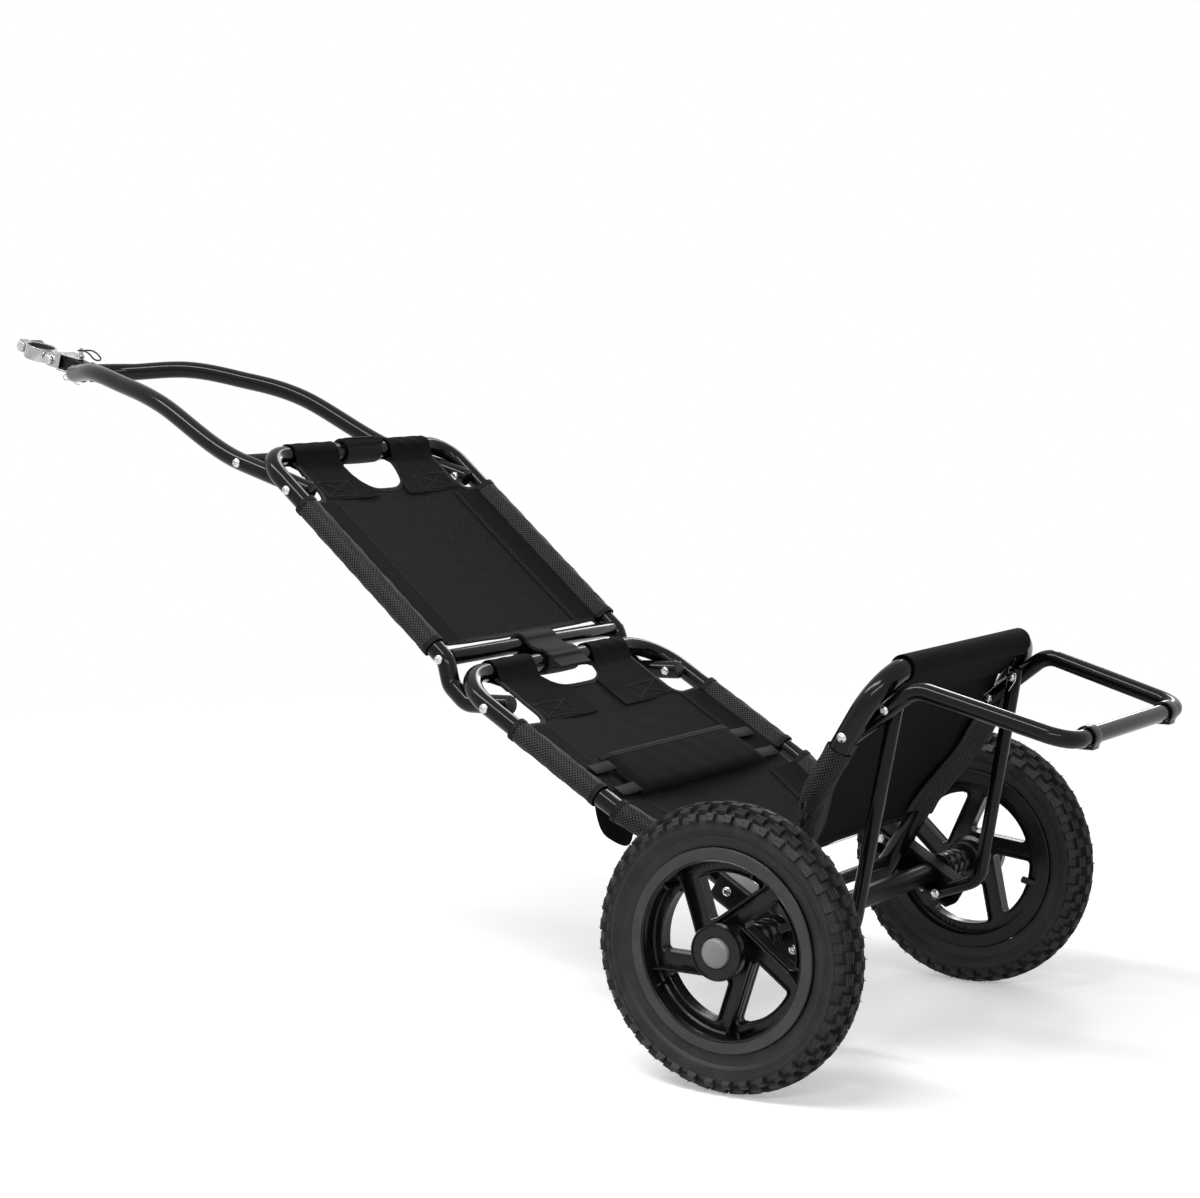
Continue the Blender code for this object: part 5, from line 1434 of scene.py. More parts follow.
@dataclass(frozen=True)
class Drawbar:
    """Bent drawbar hoop, its cross tube and the square tongue block."""

    pivot_half: float = 0.1575
    cross_half: float = 0.1535
    cross: float = 0.102
    end_past: float = 0.011
    tip_r: float = 0.062
    tip_back: float = 0.0885
    tip_toe: float = 27.0
    tip_steps: int = 18
    tip_knot: int = 3
    bends: tuple = ((0.36, 0.667, 0.896), (0.59, 0.912, 0.749), (0.76, 1.03, 0.586))
    socket: float = 0.002
    block_half: float = 0.009
    block_edge: float = 0.0022
    block_rise: float = 0.003
    block_front: float = 0.052
    block_back: float = 0.115
    bead_r: float = 0.0016
    bead_out: float = 0.0006

    @property
    def path(self) -> list[Vector]:
        """Centre line of the hoop in the drawbar frame.

        Returns:
            Points of the line.
        """
        back = PLAN.drawbar.inverted()
        tip = back @ (PLAN.hitch @ Vector((0.0, -self.tip_back, 0.0)))
        level = back.to_3x3() @ AHEAD
        up = back.to_3x3() @ UP
        cross = Vector((self.cross_half, self.cross, 0.0))
        base = Vector((0.0, cross.y, cross.z))
        reach = tip - base
        knots = [Vector((self.pivot_half, 0.0, 0.0)), cross]
        for along, climb, half in self.bends:
            spot = base + level * reach.dot(level) * along + up * reach.dot(up) * climb
            knots.append(Vector((cross.x * half, spot.y, spot.z)))
        tips = []
        for turn in spread(math.radians(self.tip_toe), math.pi / 2.0, self.tip_steps):
            spot = tip - level * self.tip_r * (1.0 - math.sin(turn))
            tips.append(Vector((self.tip_r * math.cos(turn), spot.y, spot.z)))
        knots += [tips[0], tips[self.tip_knot]]
        past = (knots[0] - knots[1]).normalized() * self.end_past
        return mirrored([knots[0] + past] + self.spline(knots, 12)[1:] + tips[1:])

    @staticmethod
    def spline(knots: list[Vector], steps: int) -> list[Vector]:
        """Smooth points through knots; the first run stays straight.

        Args:
            knots: points that the line runs through.
            steps: parts between two given points.

        Returns:
            Points of the line.
        """
        path = [knots[0], knots[1]]
        for index in range(1, len(knots) - 2):
            before, first, second, after = knots[index - 1:index + 3]
            slope_in = (second - before) * 0.5
            slope_out = (after - first) * 0.5
            if index == 1:
                slope_in = (first - before).normalized() * (second - first).length
            path += [curved(first, second, slope_in, slope_out, step / steps)
                     for step in range(1, steps + 1)]
        return path

    def build(self) -> None:
        """Make the hoop, cross tube, rod and block."""
        Piece("drawbar_hoop", PAINT, "drawbar", ("drawbar_tube",)).tube(PLAN.drawbar, self.path,
                                                                        PLAN.frame_r)
        finished("drawbar_cross_tube", PAINT, "drawbar").tube(
            PLAN.drawbar, crossing(self.cross_half - PLAN.frame_r + self.socket, self.cross), PLAN.cross_r)
        line = PLAN.drawbar @ Matrix.Translation((0.0, self.cross, 0.0))
        BOLTS.rod("drawbar_tie_rod", "drawbar", line, self.cross_half + PLAN.frame_r)
        w = self.block_half
        square = fillet([(w, 0.0, 0.0), (w, w, 0.0), (-w, w, 0.0), (-w, -w, 0.0), (w, -w, 0.0),
                         (w, 0.0, 0.0)],
                        [self.block_edge] * 4)
        place = PLAN.hitch @ Matrix.Translation((0.0, 0.0, self.block_rise)) @ ALONG_Y
        form = Form()
        form.plate([[(p.x, p.y) for p in square[:-1]]], -self.block_back, -self.block_front, place, 0.0008)
        finished("tongue_block", SATIN, "drawbar").publish(form)
        self.weld()

    def weld(self) -> None:
        """Bead where the tube meets the tongue block."""
        form = Form()
        w = self.block_half
        r = PLAN.frame_r + self.bead_out
        for face in (-1, 1):
            bead = [Vector((w * face, -self.tip_back + r * math.sin(t), r * math.cos(t)))
                    for t in spread(0.0, 2.0 * math.pi, 28)]
            form.sweep([PLAN.hitch @ p for p in bead if p.z < self.block_rise + w], ring(self.bead_r, 8))
        Piece("tongue_weld", SATIN, "drawbar").publish(form)


@dataclass(frozen=True)
class Platform:
    """Bent platform hoop and the bar between its feet."""

    foot_half: float = 0.150
    half: float = 0.1875
    end: float = -0.012
    front: float = 0.320
    bend_low: float = 0.105
    bend_high: float = 0.165
    bend_r: float = 0.05
    corner_r: float = 0.055
    tube_r: float = 0.0125
    bar_r: float = 0.008
    bar_socket: float = 0.001
    stand_face: float = 0.156
    bolt_past: float = 0.014

    @property
    def path(self) -> list[Vector]:
        """Centre line of the hoop in the platform frame.

        Returns:
            Points of the line.
        """
        return hoop([(self.foot_half, self.end, 0.0), (self.foot_half, self.bend_low, 0.0),
                     (self.half, self.bend_high, 0.0), (self.half, self.front, 0.0)],
                    [self.bend_r, self.bend_r, self.corner_r])

    def build(self, lower: LowerFrame) -> None:
        """Make the hoop, the bar and the bolts.

        Args:
            lower: the lower frame.
        """
        Piece("platform_hoop", PAINT, "platform", ("platform_tube",)).tube(PLAN.platform, self.path,
                                                                           self.tube_r)
        reach = self.foot_half - self.tube_r + self.bar_socket
        Piece("platform_bar", SATIN, "platform", ("platform_cross_bar",)).tube(
            PLAN.platform, crossing(reach), self.bar_r)
        for side in Side:
            BOLTS.bolt(f"stand_pivot_bolt_{side.word}", "platform", PLAN.stand, self.half + self.tube_r,
                       self.stand_face, side)
            BOLTS.bolt(f"platform_pivot_bolt_{side.word}", "lower_frame", PLAN.platform, lower.web,
                       self.foot_half - self.tube_r - self.bolt_past, side, nut=False)


@dataclass(frozen=True)
class Kickstand:
    """Bent kickstand hoop with a foot clip near each corner, and its struts."""

    half: float = 0.1655
    foot_half: float = 0.150
    head: tuple = (0.043, 0.0165)
    head_past: float = 0.011
    head_bolt_r: float = 0.005
    bend: tuple = (0.0800, 0.0310)
    foot: tuple = (0.1285, 0.198)
    tube_r: float = 0.0095
    corner_r: float = 0.03
    clip_at: float = 0.104
    clip_len: float = 0.016
    clip_gap: float = 0.0006
    clip_t: float = 0.0022
    clip_mouth: float = 50.0
    pad_half: float = 0.008
    pad_drop: float = 0.0005
    strut_r: float = 0.008
    strut_past: float = 0.010
    strut_bend_r: float = 0.025
    strut_foot_half: float = 0.1555
    strut_head_half: float = 0.1475
    strut_bend: tuple = (-0.0343, 0.0434)
    wire: tuple = ((0.1490, -0.0020, -0.0050), (0.1385, 0.0385, 0.0105), (0.1375, 0.0490, 0.0130),
                   (0.1375, 0.0490, 0.0200), (0.1380, 0.0420, 0.0225), (0.1400, 0.0268, 0.0216))
    wire_r: float = 0.0008
    wire_bend: float = 0.003

    @property
    def path(self) -> list[Vector]:
        """Centre line of the hoop in the kickstand frame.

        Returns:
            Points of the line.
        """
        start = -Vector((0.0, *self.head)).normalized() * self.head_past
        return hoop([(self.half, start.y, start.z), (self.half, *self.bend), (self.foot_half, *self.foot)],
                    [self.corner_r] * 2)

    @property
    def head_from_strut(self) -> Vector:
        """Head pivot of the struts, seen from their feet."""
        there = PLAN.platform @ Vector((0.0, PLAN.stand_pivot + self.head[0], self.head[1]))
        return PLAN.strut.inverted() @ there

    def build(self, lower: LowerFrame) -> None:
        """Make the hoop, clips, struts and their fasteners.

        Args:
            lower: the lower frame.
        """
        Piece("kickstand_hoop", PAINT, "kickstand", ("kickstand_tube",)).tube(PLAN.stand, self.path,
                                                                              self.tube_r)
        pivot = PLAN.stand @ Matrix.Translation((0.0, *self.head))
        for side in Side:
            self.clip(side)
            self.strut(side)
            BOLTS.bolt(f"strut_head_bolt_{side.word}", "kickstand", pivot, self.half + self.tube_r,
                       self.half - self.tube_r + PLAN.gap, side, self.head_bolt_r, nut=False)
            BOLTS.bolt(f"strut_foot_bolt_{side.word}", "lower_frame", PLAN.strut, lower.web,
                       self.strut_foot_half - self.strut_r, side)
        Piece("stand_wire_clip", STEEL, "kickstand").tube(
            PLAN.stand, fillet(self.wire, [self.wire_bend] * 4), self.wire_r, 10, 0.0003)

    def clip(self, side: Side) -> None:
        """Moulded foot that snaps on the tube, with a pad underneath.

        Args:
            side: the side of the trailer.
        """
        r = self.tube_r + self.clip_gap
        out = r + self.clip_t
        place = PLAN.stand @ Matrix.Translation((side.value * self.clip_at, *self.foot)) @ ALONG_X
        down = place.to_3x3().inverted() @ -UP
        heading = math.degrees(math.atan2(down.y, down.x))
        outline = arc((0.0, 0.0), (out, out), heading + self.clip_mouth, heading + 360.0 - self.clip_mouth,
                      30)
        pad = Matrix.Rotation(math.radians(heading), 3, "Z")
        outline += [tuple((pad @ Vector((out + self.pad_drop, y, 0.0)))[:2])
                    for y in (-self.pad_half, self.pad_half)]
        form = Form()
        form.plate([outline, ring(r, 32)], -self.clip_len / 2.0, self.clip_len / 2.0, place, 0.0006)
        finished(f"foot_clip_{side.word}", PLASTIC, "kickstand").publish(form)

    def strut(self, side: Side) -> None:
        """Bent strut, a round tube between both bolts where the real one is flattened, with the nut at its
        head.

        Args:
            side: the side of the trailer.
        """
        s = side.value
        head = self.head_from_strut
        bend = Vector((0.0, *self.strut_bend))
        flat_head = Vector((0.0, head.y, head.z))
        start = -bend.normalized() * self.strut_past
        end = flat_head + (flat_head - bend).normalized() * self.strut_past
        path = fillet([(s * self.strut_foot_half, start.y, start.z),
                       (s * self.strut_foot_half, bend.y, bend.z),
                       (s * self.strut_head_half, end.y, end.z)], [self.strut_bend_r])
        finished(f"strut_{side.word}", PAINT, "struts").tube(PLAN.strut, path, self.strut_r)
        face = s * (self.strut_head_half - self.strut_r - PLAN.gap)
        place = PLAN.strut @ Matrix.Translation((face, head.y, head.z)) @ side.outward
        form = Form()
        BOLTS.nut(form, 0.0, place, BOLTS.nut_h)
        form.turn([(BOLTS.shank_r, 0.0), (BOLTS.shank_r, self.strut_r)], place, 16)
        finished(f"strut_nut_{side.word}", STEEL, "struts").publish(form)


# Wheels.


@dataclass(frozen=True)
class Knob:
    """One row of tread knobs."""

    angle: float
    along: float
    across: float
    height: float
    cuts: int
    phase: float


@dataclass(frozen=True)
class Wheel:
    """Five-spoke moulded wheel with a knobbly tyre, hub cap, button and valve."""

    middle: float = 0.291
    tyre_r: float = 0.155
    tyre_half: float = 0.025
    rim_r: float = 0.1095
    rim_half: float = 0.0207
    rim_inner: float = 0.0945
    window_r: float = 0.081
    window_corner: float = 0.0045
    spokes: int = 5
    spoke_low: float = 0.012
    spoke_high: float = 0.033
    spoke_turn: tuple = (18.0, 60.0)
    valve_turn: tuple = (-65.6, -75.5)
    valve_reach: tuple = (1.0, 0.52)
    disc_low: float = -0.009
    disc_high: float = 0.0
    lip: float = 0.0042
    fin_top: float = 0.0085
    fin_end: float = 0.0140
    hub_r: float = 0.022
    hub_out: float = 0.030
    hub_in: float = -0.030
    cap_r: float = 0.030
    button_r: float = 0.016
    knobs_round: int = 42
    hair_from: float = 30.0
    bore_r: float = 0.0065
    carcass_drop: float = 0.0058
    carcass_in: float = 0.0018
    seat_gap: float = 0.0006
    seat_half: float = 0.0165
    wall_end: float = 128.0
    wall_ribs: tuple = ((0.1265, 0.0007), (0.1292, 0.0007), (0.1355, 0.0009))
    rib_sink: float = 0.0001
    rows: tuple = (Knob(10.0, 0.0150, 0.0076, 0.0058, 3, 0.0), Knob(-10.0, 0.0150, 0.0076, 0.0058, 3, 0.5),
                   Knob(35.0, 0.0138, 0.0092, 0.0056, 3, 0.5), Knob(-35.0, 0.0138, 0.0092, 0.0056, 3, 0.0),
                   Knob(63.0, 0.0104, 0.0094, 0.0050, 0, 0.0), Knob(-63.0, 0.0104, 0.0094, 0.0050, 0, 0.5))
    knob_sink: float = 0.0015
    knob_groove: float = 0.0012
    knob_taper: float = 0.86
    pip_at: tuple = (-0.0019, 0.0019)
    pip: tuple = ((0.0007, -0.0004), (0.0012, -0.0004), (0.0012, 0.0003), (0.0007, 0.0003))
    hair: tuple = ((0.0005, -0.0003), (0.0004, 0.0010), (0.0, 0.0030))
    fin_in: float = 0.0026
    fin_back: float = 0.0025
    fins: tuple = ((0.0, 1.0, 0.0013), (0.55, 1.0, 0.0011), (0.85, 1.1, 0.0010))
    gusset: tuple = (0.007, 0.0012, 0.004, 0.0022)
    gusset_in: float = 0.0028
    gusset_at: float = 0.0095
    gusset_turn: float = 0.32
    dome: float = 0.0058
    dome_power: float = 1.15
    button_gap: float = 0.0005
    stem: tuple = ((0.0046, -0.004), (0.0046, 0.0), (0.0037, 0.003), (0.0033, 0.020))
    stem_ribs: tuple = (0.0205, 0.0240, 0.0275)
    stem_rib: tuple = ((0.0042, 0.0), (0.0042, 0.0022), (0.0036, 0.0026), (0.0036, 0.0032))
    stem_cap: tuple = ((0.0042, 0.0310), (0.0042, 0.0355), (0.0030, 0.0370), (0.0, 0.0372))
    stem_in: float = -0.0135

    def centre(self, side: Side) -> Matrix:
        """Place of a wheel's middle."""
        return Matrix.Translation(Vector(PLAN.axle) + Vector((side.value * self.middle, 0.0, 0.0)))

    def place(self, side: Side) -> Matrix:
        """Frame of a wheel, its Z outwards."""
        return self.centre(side) @ side.outward

    def wall(self, angle: float) -> tuple:
        """Radius and half width of the carcass at an angle from its crown."""
        return self.mid + self.tall * math.cos(angle), self.wide * math.sin(angle)

    @property
    def mid(self) -> float:
        """Radius at the middle of the tyre's wall."""
        return (self.tyre_r + self.rim_r) / 2.0

    @property
    def tall(self) -> float:
        """Height of the carcass above the middle of its wall."""
        return self.tyre_r - self.mid - self.carcass_drop

    @property
    def wide(self) -> float:
        """Half width of the carcass."""
        return self.tyre_half - self.carcass_in

    def build(self) -> None:
        """Make both wheels."""
        for side in Side:
            self.tyre(side)
            self.disc(side)
            self.cap(side)
            self.valve(side)

    def body(self, side: Side) -> str:
        """Body of a wheel."""
        return f"wheel_unit_{side.word}"

    def tyre(self, side: Side) -> None:
        """Carcass with fine ribs on its walls, and rows of knobs.

        Args:
            side: the side of the trailer.
        """
        place = self.place(side)
        half = [(self.rim_r + self.seat_gap, self.seat_half)]
        half += [self.wall(math.radians(angle)) for angle in spread(self.wall_end, 0.0, 24)]
        form = Form()
        form.turn(half + [(r, -z) for r, z in reversed(half[:-1])], place, 120, True)
        for radius, size in self.wall_ribs:
            angle = math.acos(max(-1.0, min(1.0, (radius - self.mid) / self.tall)))
            for face in (-1, 1):
                z = face * (self.wall(angle)[1] - self.rib_sink)
                form.turn([(radius + c, z + s) for c, s in ring(size, 6)], place, 96, True)
        for row in self.rows:
            angle = math.radians(row.angle)
            r, x = self.wall(angle)
            slope = math.atan2(math.sin(angle) / self.wide, math.cos(angle) / self.tall)
            knobs = RINGS.ring(self.knob(row), RUBBER, self.knobs_round, r, x, row.phase, slope)
            form.take(knobs, self.centre(side))
        finished(f"tyre_{side.word}", RUBBER, self.body(side), angle=WHEEL_ANGLE).publish(form)

    def knob(self, row: Knob) -> Form:
        """One tread knob, cut across by narrow grooves, with a moulding hair on the outer rows.

        Args:
            row: the row that the knob is part of.

        Returns:
            The knob's mesh.
        """
        form = Form()
        count = max(1, row.cuts)
        width = (row.across - self.knob_groove * (count - 1)) / count
        if not row.cuts:
            for y in self.pip_at:
                form.turn([(r, row.height + z) for r, z in self.pip], Matrix.Translation((0.0, y, 0.0)), 7,
                          True)
        if abs(row.angle) > self.hair_from:
            form.turn([(r, row.height + z) for r, z in self.hair],
                      Matrix.Translation((0.0, row.along * 0.3, 0.0)), 4)
        end = row.along / 2.0
        for index in range(count):
            x = -row.across / 2.0 + index * (width + self.knob_groove)
            base = [(x, -end), (x + width, -end), (x + width, end), (x, end)]
            high = [Vector((a * self.knob_taper, b * self.knob_taper, row.height)) for a, b in base]
            form.skin([[Vector((a, b, -self.knob_sink)) for a, b in base], high], None, True)
            form.cap(high)
        return form

    def windows(self, side: Side) -> list[list[tuple]]:
        """Outlines of the openings between the spokes, the right wheel mirrors the left.

        Args:
            side: the side of the trailer.

        Returns:
            One outline for each opening.
        """
        step = math.radians(360.0 / self.spokes)
        hub = Vector(((self.spoke_high * math.cos(step) - self.spoke_low) / math.sin(step), self.spoke_high,
                      0.0))
        first = math.asin(self.spoke_high / self.window_r)
        last = step + math.asin(self.spoke_low / self.window_r)
        rim = [Vector((self.window_r * math.cos(a), self.window_r * math.sin(a), 0.0))
               for a in spread(first, last, 12)]
        line = [hub.lerp(rim[0], 0.5), *rim, hub, hub.lerp(rim[0], 0.5)]
        radii = [self.window_corner] + [0.0] * 11 + [self.window_corner, self.window_corner]
        whole = [Vector((p.x, -side.value * p.y, 0.0)) for p in fillet(line, radii)[:-1]][::-side.value]
        turns = [Matrix.Rotation(step * index + self.rolled(side), 3, "Z") for index in range(self.spokes)]
        return [[tuple((turn @ p)[:2]) for p in whole] for turn in turns]

    def rolled(self, side: Side) -> float:
        """How far a wheel has rolled, in radians."""
        return math.radians(self.spoke_turn[side is Side.RIGHT])

    def disc(self, side: Side) -> None:
        """Rim, spoke disc with lips and fins, and hub.

        Args:
            side: the side of the trailer.
        """
        place = self.place(side)
        form = Form()
        r, half, inner = self.rim_r, self.rim_half, self.rim_inner
        form.turn([(r, half - 0.001), (r - 0.001, half), (inner + 0.0022, half),
                   (inner + 0.0012, half + 0.0008),
                   (inner, half), (inner - 0.0008, half - 0.002), (inner - 0.0012, self.disc_high + 0.002),
                   (inner - 0.003, self.disc_high), (inner - 0.003, self.disc_low),
                   (inner - 0.0012, self.disc_low - 0.002), (inner, -half), (r - 0.001, -half),
                   (r, -half + 0.001), (r, 0.0)], place, 120, True)
        windows = self.windows(side)
        form.plate([ring(inner - 0.001, 120), *windows, ring(self.hub_r - 0.002, 40)],
                   self.disc_low, self.disc_high, place, 0.0008)
        top = self.lip
        wall = [(-0.0002, -0.0015), (-0.0002, top - 0.0006), (0.0004, top), (0.0012, top),
                (0.0017, top - 0.0006),
                (0.0020, -0.0015)]
        axis = place.to_3x3() @ UP
        for level, way in ((self.disc_high, 1), (self.disc_low, -1)):
            for outline in windows:
                path = [place @ Vector((x, y, level)) for x, y in outline[::way]]
                form.sweep(path + path[:1], wall, closed=True, upward=axis * way)
        for index in range(self.spokes):
            turn = Matrix.Rotation(math.radians(360.0 * index / self.spokes) + self.rolled(side), 4, "Z")
            self.fin(form, place @ turn, -side.value)
        form.turn(self.hub(), place, 72, True)
        x, y, low, high = self.gusset
        rib = Form()
        rib.block((-x, -y, -low), (x, y, high), Matrix.Identity(4))
        form.take(RINGS.ring(rib, PLASTIC, self.spokes, inner - self.gusset_in, side.value * self.gusset_at,
                             self.gusset_turn), self.centre(side))
        finished(f"wheel_{side.word}", PLASTIC, self.body(side), angle=WHEEL_ANGLE).publish(form)
        band = Form()
        band.turn([(r - 0.0004, half - 0.0006), (r - 0.0012, half + 0.0004), (inner + 0.0026, half + 0.0004),
                   (inner + 0.0022, half - 0.0006)], place, 120, True)
        Piece(f"rim_face_{side.word}", RIM_PLASTIC, self.body(side), angle=WHEEL_ANGLE).publish(band)

    def hub(self) -> list[tuple]:
        """Profile of the hub and its cap, as radius and height.

        Returns:
            Points of the line.
        """
        r, cap, button, out = self.hub_r, self.cap_r, self.button_r, self.hub_out
        return [(self.bore_r, self.hub_in), (r - 0.002, self.hub_in), (r, self.hub_in + 0.002), (r, -0.012),
                (r + 0.004, self.disc_low), (r + 0.006, self.disc_high), (r + 0.002, 0.010),
                (r + 0.003, 0.0165),
                (cap - 0.001, 0.018), (cap, 0.019), (cap, out - 0.0010), (cap - 0.0006, out),
                (cap - 0.0018, out), (cap - 0.0026, out - 0.0016), (button + 0.0012, out - 0.0014),
                (button + 0.0004, out - 0.002), (button + 0.0004, 0.022), (self.bore_r, 0.022)]

    def fin(self, form: Form, place: Matrix, hand: int) -> None:
        """Raised fin along the outer edge of a spoke, rising to the rim.

        Args:
            form: the mesh in the making.
            place: frame of the wheel, its X along the spoke.
            hand: side of the spoke that the fin is on, as a sign.
        """
        reach = math.sqrt(self.rim_inner ** 2 - self.spoke_high ** 2) - self.fin_back
        y = self.spoke_high - self.fin_in
        foot = self.disc_high - 0.001
        rows = []
        for share, rise, half in (*self.fins, (1.0, self.fin_end / self.fin_top, 0.0009)):
            high = self.fin_top * rise
            rows.append([place @ Vector((reach * share, b * hand, z)) for b, z in (
                (y - half * 2.6, foot), (y - half * 1.2, high - 0.0009), (y - half * 0.5, high),
                (y + half * 0.5, high), (y + half, high - 0.0006), (y + half * 1.4, foot))])
        form.skin(rows, None, True)
        form.cap(rows[0])
        form.cap(rows[-1])

    def cap(self, side: Side) -> None:
        """Domed release button in the hub cap.

        Args:
            side: the side of the trailer.
        """
        rim = self.hub_out + self.button_gap
        low = self.hub_out - 0.003
        profile = [(0.0, rim + self.dome)]
        profile += [(self.button_r * s,
                     rim + self.dome * math.sqrt(max(0.0, 1.0 - s * s)) ** self.dome_power)
                    for s in (0.2, 0.4, 0.6, 0.75, 0.87, 0.95)]
        profile += [(self.button_r, rim - 0.0003), (self.button_r, low), (0.0, low)]
        form = Form()
        form.turn(profile, self.place(side), 64)
        finished(f"release_button_{side.word}", GREY, f"button_{side.word}", angle=50.0).publish(form)

    def valve(self, side: Side) -> None:
        """Rubber valve stem with a ribbed cap, pointing at the hub.

        Args:
            side: the side of the trailer.
        """
        turn = Matrix.Rotation(math.radians(self.valve_turn[side is Side.RIGHT]), 4, "Z")
        share = self.valve_reach[side is Side.RIGHT]
        spot = Matrix.Translation((self.rim_inner - 0.001, 0.0, self.stem_in)) @ Side.LEFT.outward
        profile = list(self.stem)
        for start in self.stem_ribs:
            profile += [(r, start + z) for r, z in self.stem_rib]
        form = Form()
        form.turn([(r, z * share) for r, z in (*profile, *self.stem_cap)], self.place(side) @ turn @ spot,
                  20)
        Piece(f"valve_{side.word}", RUBBER, self.body(side)).publish(form)


# Hitch.


@dataclass(frozen=True)
class Hitch:
    """Yoke, seat post clamp, lock pin with its wire bail, and the clip below."""

    pin_back: float = 0.071
    pin_r: float = 0.003
    pin_top: float = 0.0153
    pin_low: float = -0.018
    eye_top: float = 0.0283
    bail_half: float = 0.0075
    bail_reach: float = 0.032
    bail_rise: float = 0.0035
    bail_up: float = 0.0095
    wire_r: float = 0.0011
    screw: float = 0.0280
    ear_face: float = 0.0063
    knob_gap: float = 0.0006
    knob_r: float = 0.0072
    knob_wave: float = 0.0005
    knob_ribs: int = 12
    knob_ends: tuple = (0.002, 0.022)
    clip_drop: float = -0.0145
    clip_r: float = 0.0008
    clip_line: tuple = ((-0.009, 0.0), (0.016, 0.0), (0.022, -0.001), (0.0235, -0.005), (0.019, -0.0075),
                        (0.012, -0.0055), (0.0055, -0.0032), (0.002, -0.0052), (-0.004, -0.0068),
                        (-0.008, -0.0050))
    clip_bends: tuple = (0.004, 0.003, 0.003, 0.004, 0.006, 0.004, 0.004, 0.006)

    def build(self) -> None:
        """Make the hitch."""
        for node, look, body in (("yoke", CHROME, "hitch_yoke"), ("clamp_jaw_left", CHROME, "seat_clamp"),
                                 ("clamp_jaw_right", CHROME, "seat_clamp"),
                                 ("clamp_liner_left", LINER, "seat_clamp"),
                                 ("clamp_liner_right", LINER, "seat_clamp"),
                                 ("yoke_bolt", STEEL, "hitch_yoke"),
                                 ("clamp_screw", STEEL, "seat_clamp")):
            recut(node, look, body)
        self.knob()
        self.pin()
        finished("pin_bail", PLASTIC, "pin_loop").tube(self.pin_place(self.pin_top + self.bail_up),
                                                       self.bail(), self.wire_r, 14, 0.0004)
        line = fillet([(0.0, y, z) for y, z in self.clip_line], self.clip_bends)
        Piece("retaining_clip", STEEL, "hitch_yoke").tube(self.pin_place(self.clip_drop), line, self.clip_r,
                                                          10, 0.0003)

    def pin_place(self, level: float) -> Matrix:
        """Frame on the lock pin's line, at a height."""
        return PLAN.hitch @ Matrix.Translation((0.0, -self.pin_back, level))

    def knob(self) -> None:
        """Moulded knob with grip ribs."""
        low = self.ear_face + self.knob_gap
        place = PLAN.hitch @ Matrix.Translation((0.0, self.screw, 0.0)) @ Side.RIGHT.outward
        outline = []
        for angle in spread(0.0, 2.0 * math.pi, self.knob_ribs * 6)[:-1]:
            r = self.knob_r + self.knob_wave * math.cos(angle * self.knob_ribs)
            outline.append((r * math.cos(angle), r * math.sin(angle)))
        form = Form()
        form.plate([outline], *(low + end for end in self.knob_ends), place, 0.0007)
        form.turn([(0.0034, low), (0.0052, low), (0.0056, low + 0.0025)], place, 24)
        form.turn([(0.0054, low + 0.0215), (0.0048, low + 0.0235), (0.0, low + 0.0240)], place, 24)
        finished("clamp_knob", PLASTIC, "knob").publish(form)

    def pin(self) -> None:
        """Headed pin through yoke and block."""
        top = self.pin_top
        low = self.pin_low
        r = self.pin_r
        profile = [(0.0, self.eye_top), (r * 0.6, self.eye_top - 0.0002), (r, self.eye_top - 0.0012),
                   (r, top + 0.0042), (0.0052, top + 0.0040), (0.0055, top + 0.0034), (0.0055, top + 0.0006),
                   (0.0052, top), (r, top), (r, low + 0.0015), (r * 0.7, low + 0.0002), (0.0, low)]
        form = Form()
        form.turn(profile, self.pin_place(0.0), 32)
        finished("lock_pin", CHROME, "hitch_pin").publish(form)

    def bail(self) -> list[Vector]:
        """Bent wire loop through the pin's eye.

        Returns:
            Points of the line.
        """
        h = self.bail_half
        arch = self.bail_rise
        reach = -self.bail_reach
        side = [(h, 0.0, 0.0), (h, reach * 0.35, arch), (h, reach * 0.7, arch * 0.6), (h, reach, -arch)]
        corners = [(0.0, 0.0, 0.0), *side, *[(-x, y, z) for x, y, z in reversed(side)],
                   (-self.pin_r - 0.0015, 0.0, 0.0)]
        bends = [0.002, 0.02, 0.02, 0.006]
        return fillet(corners, bends + bends[::-1])


# Cloth.


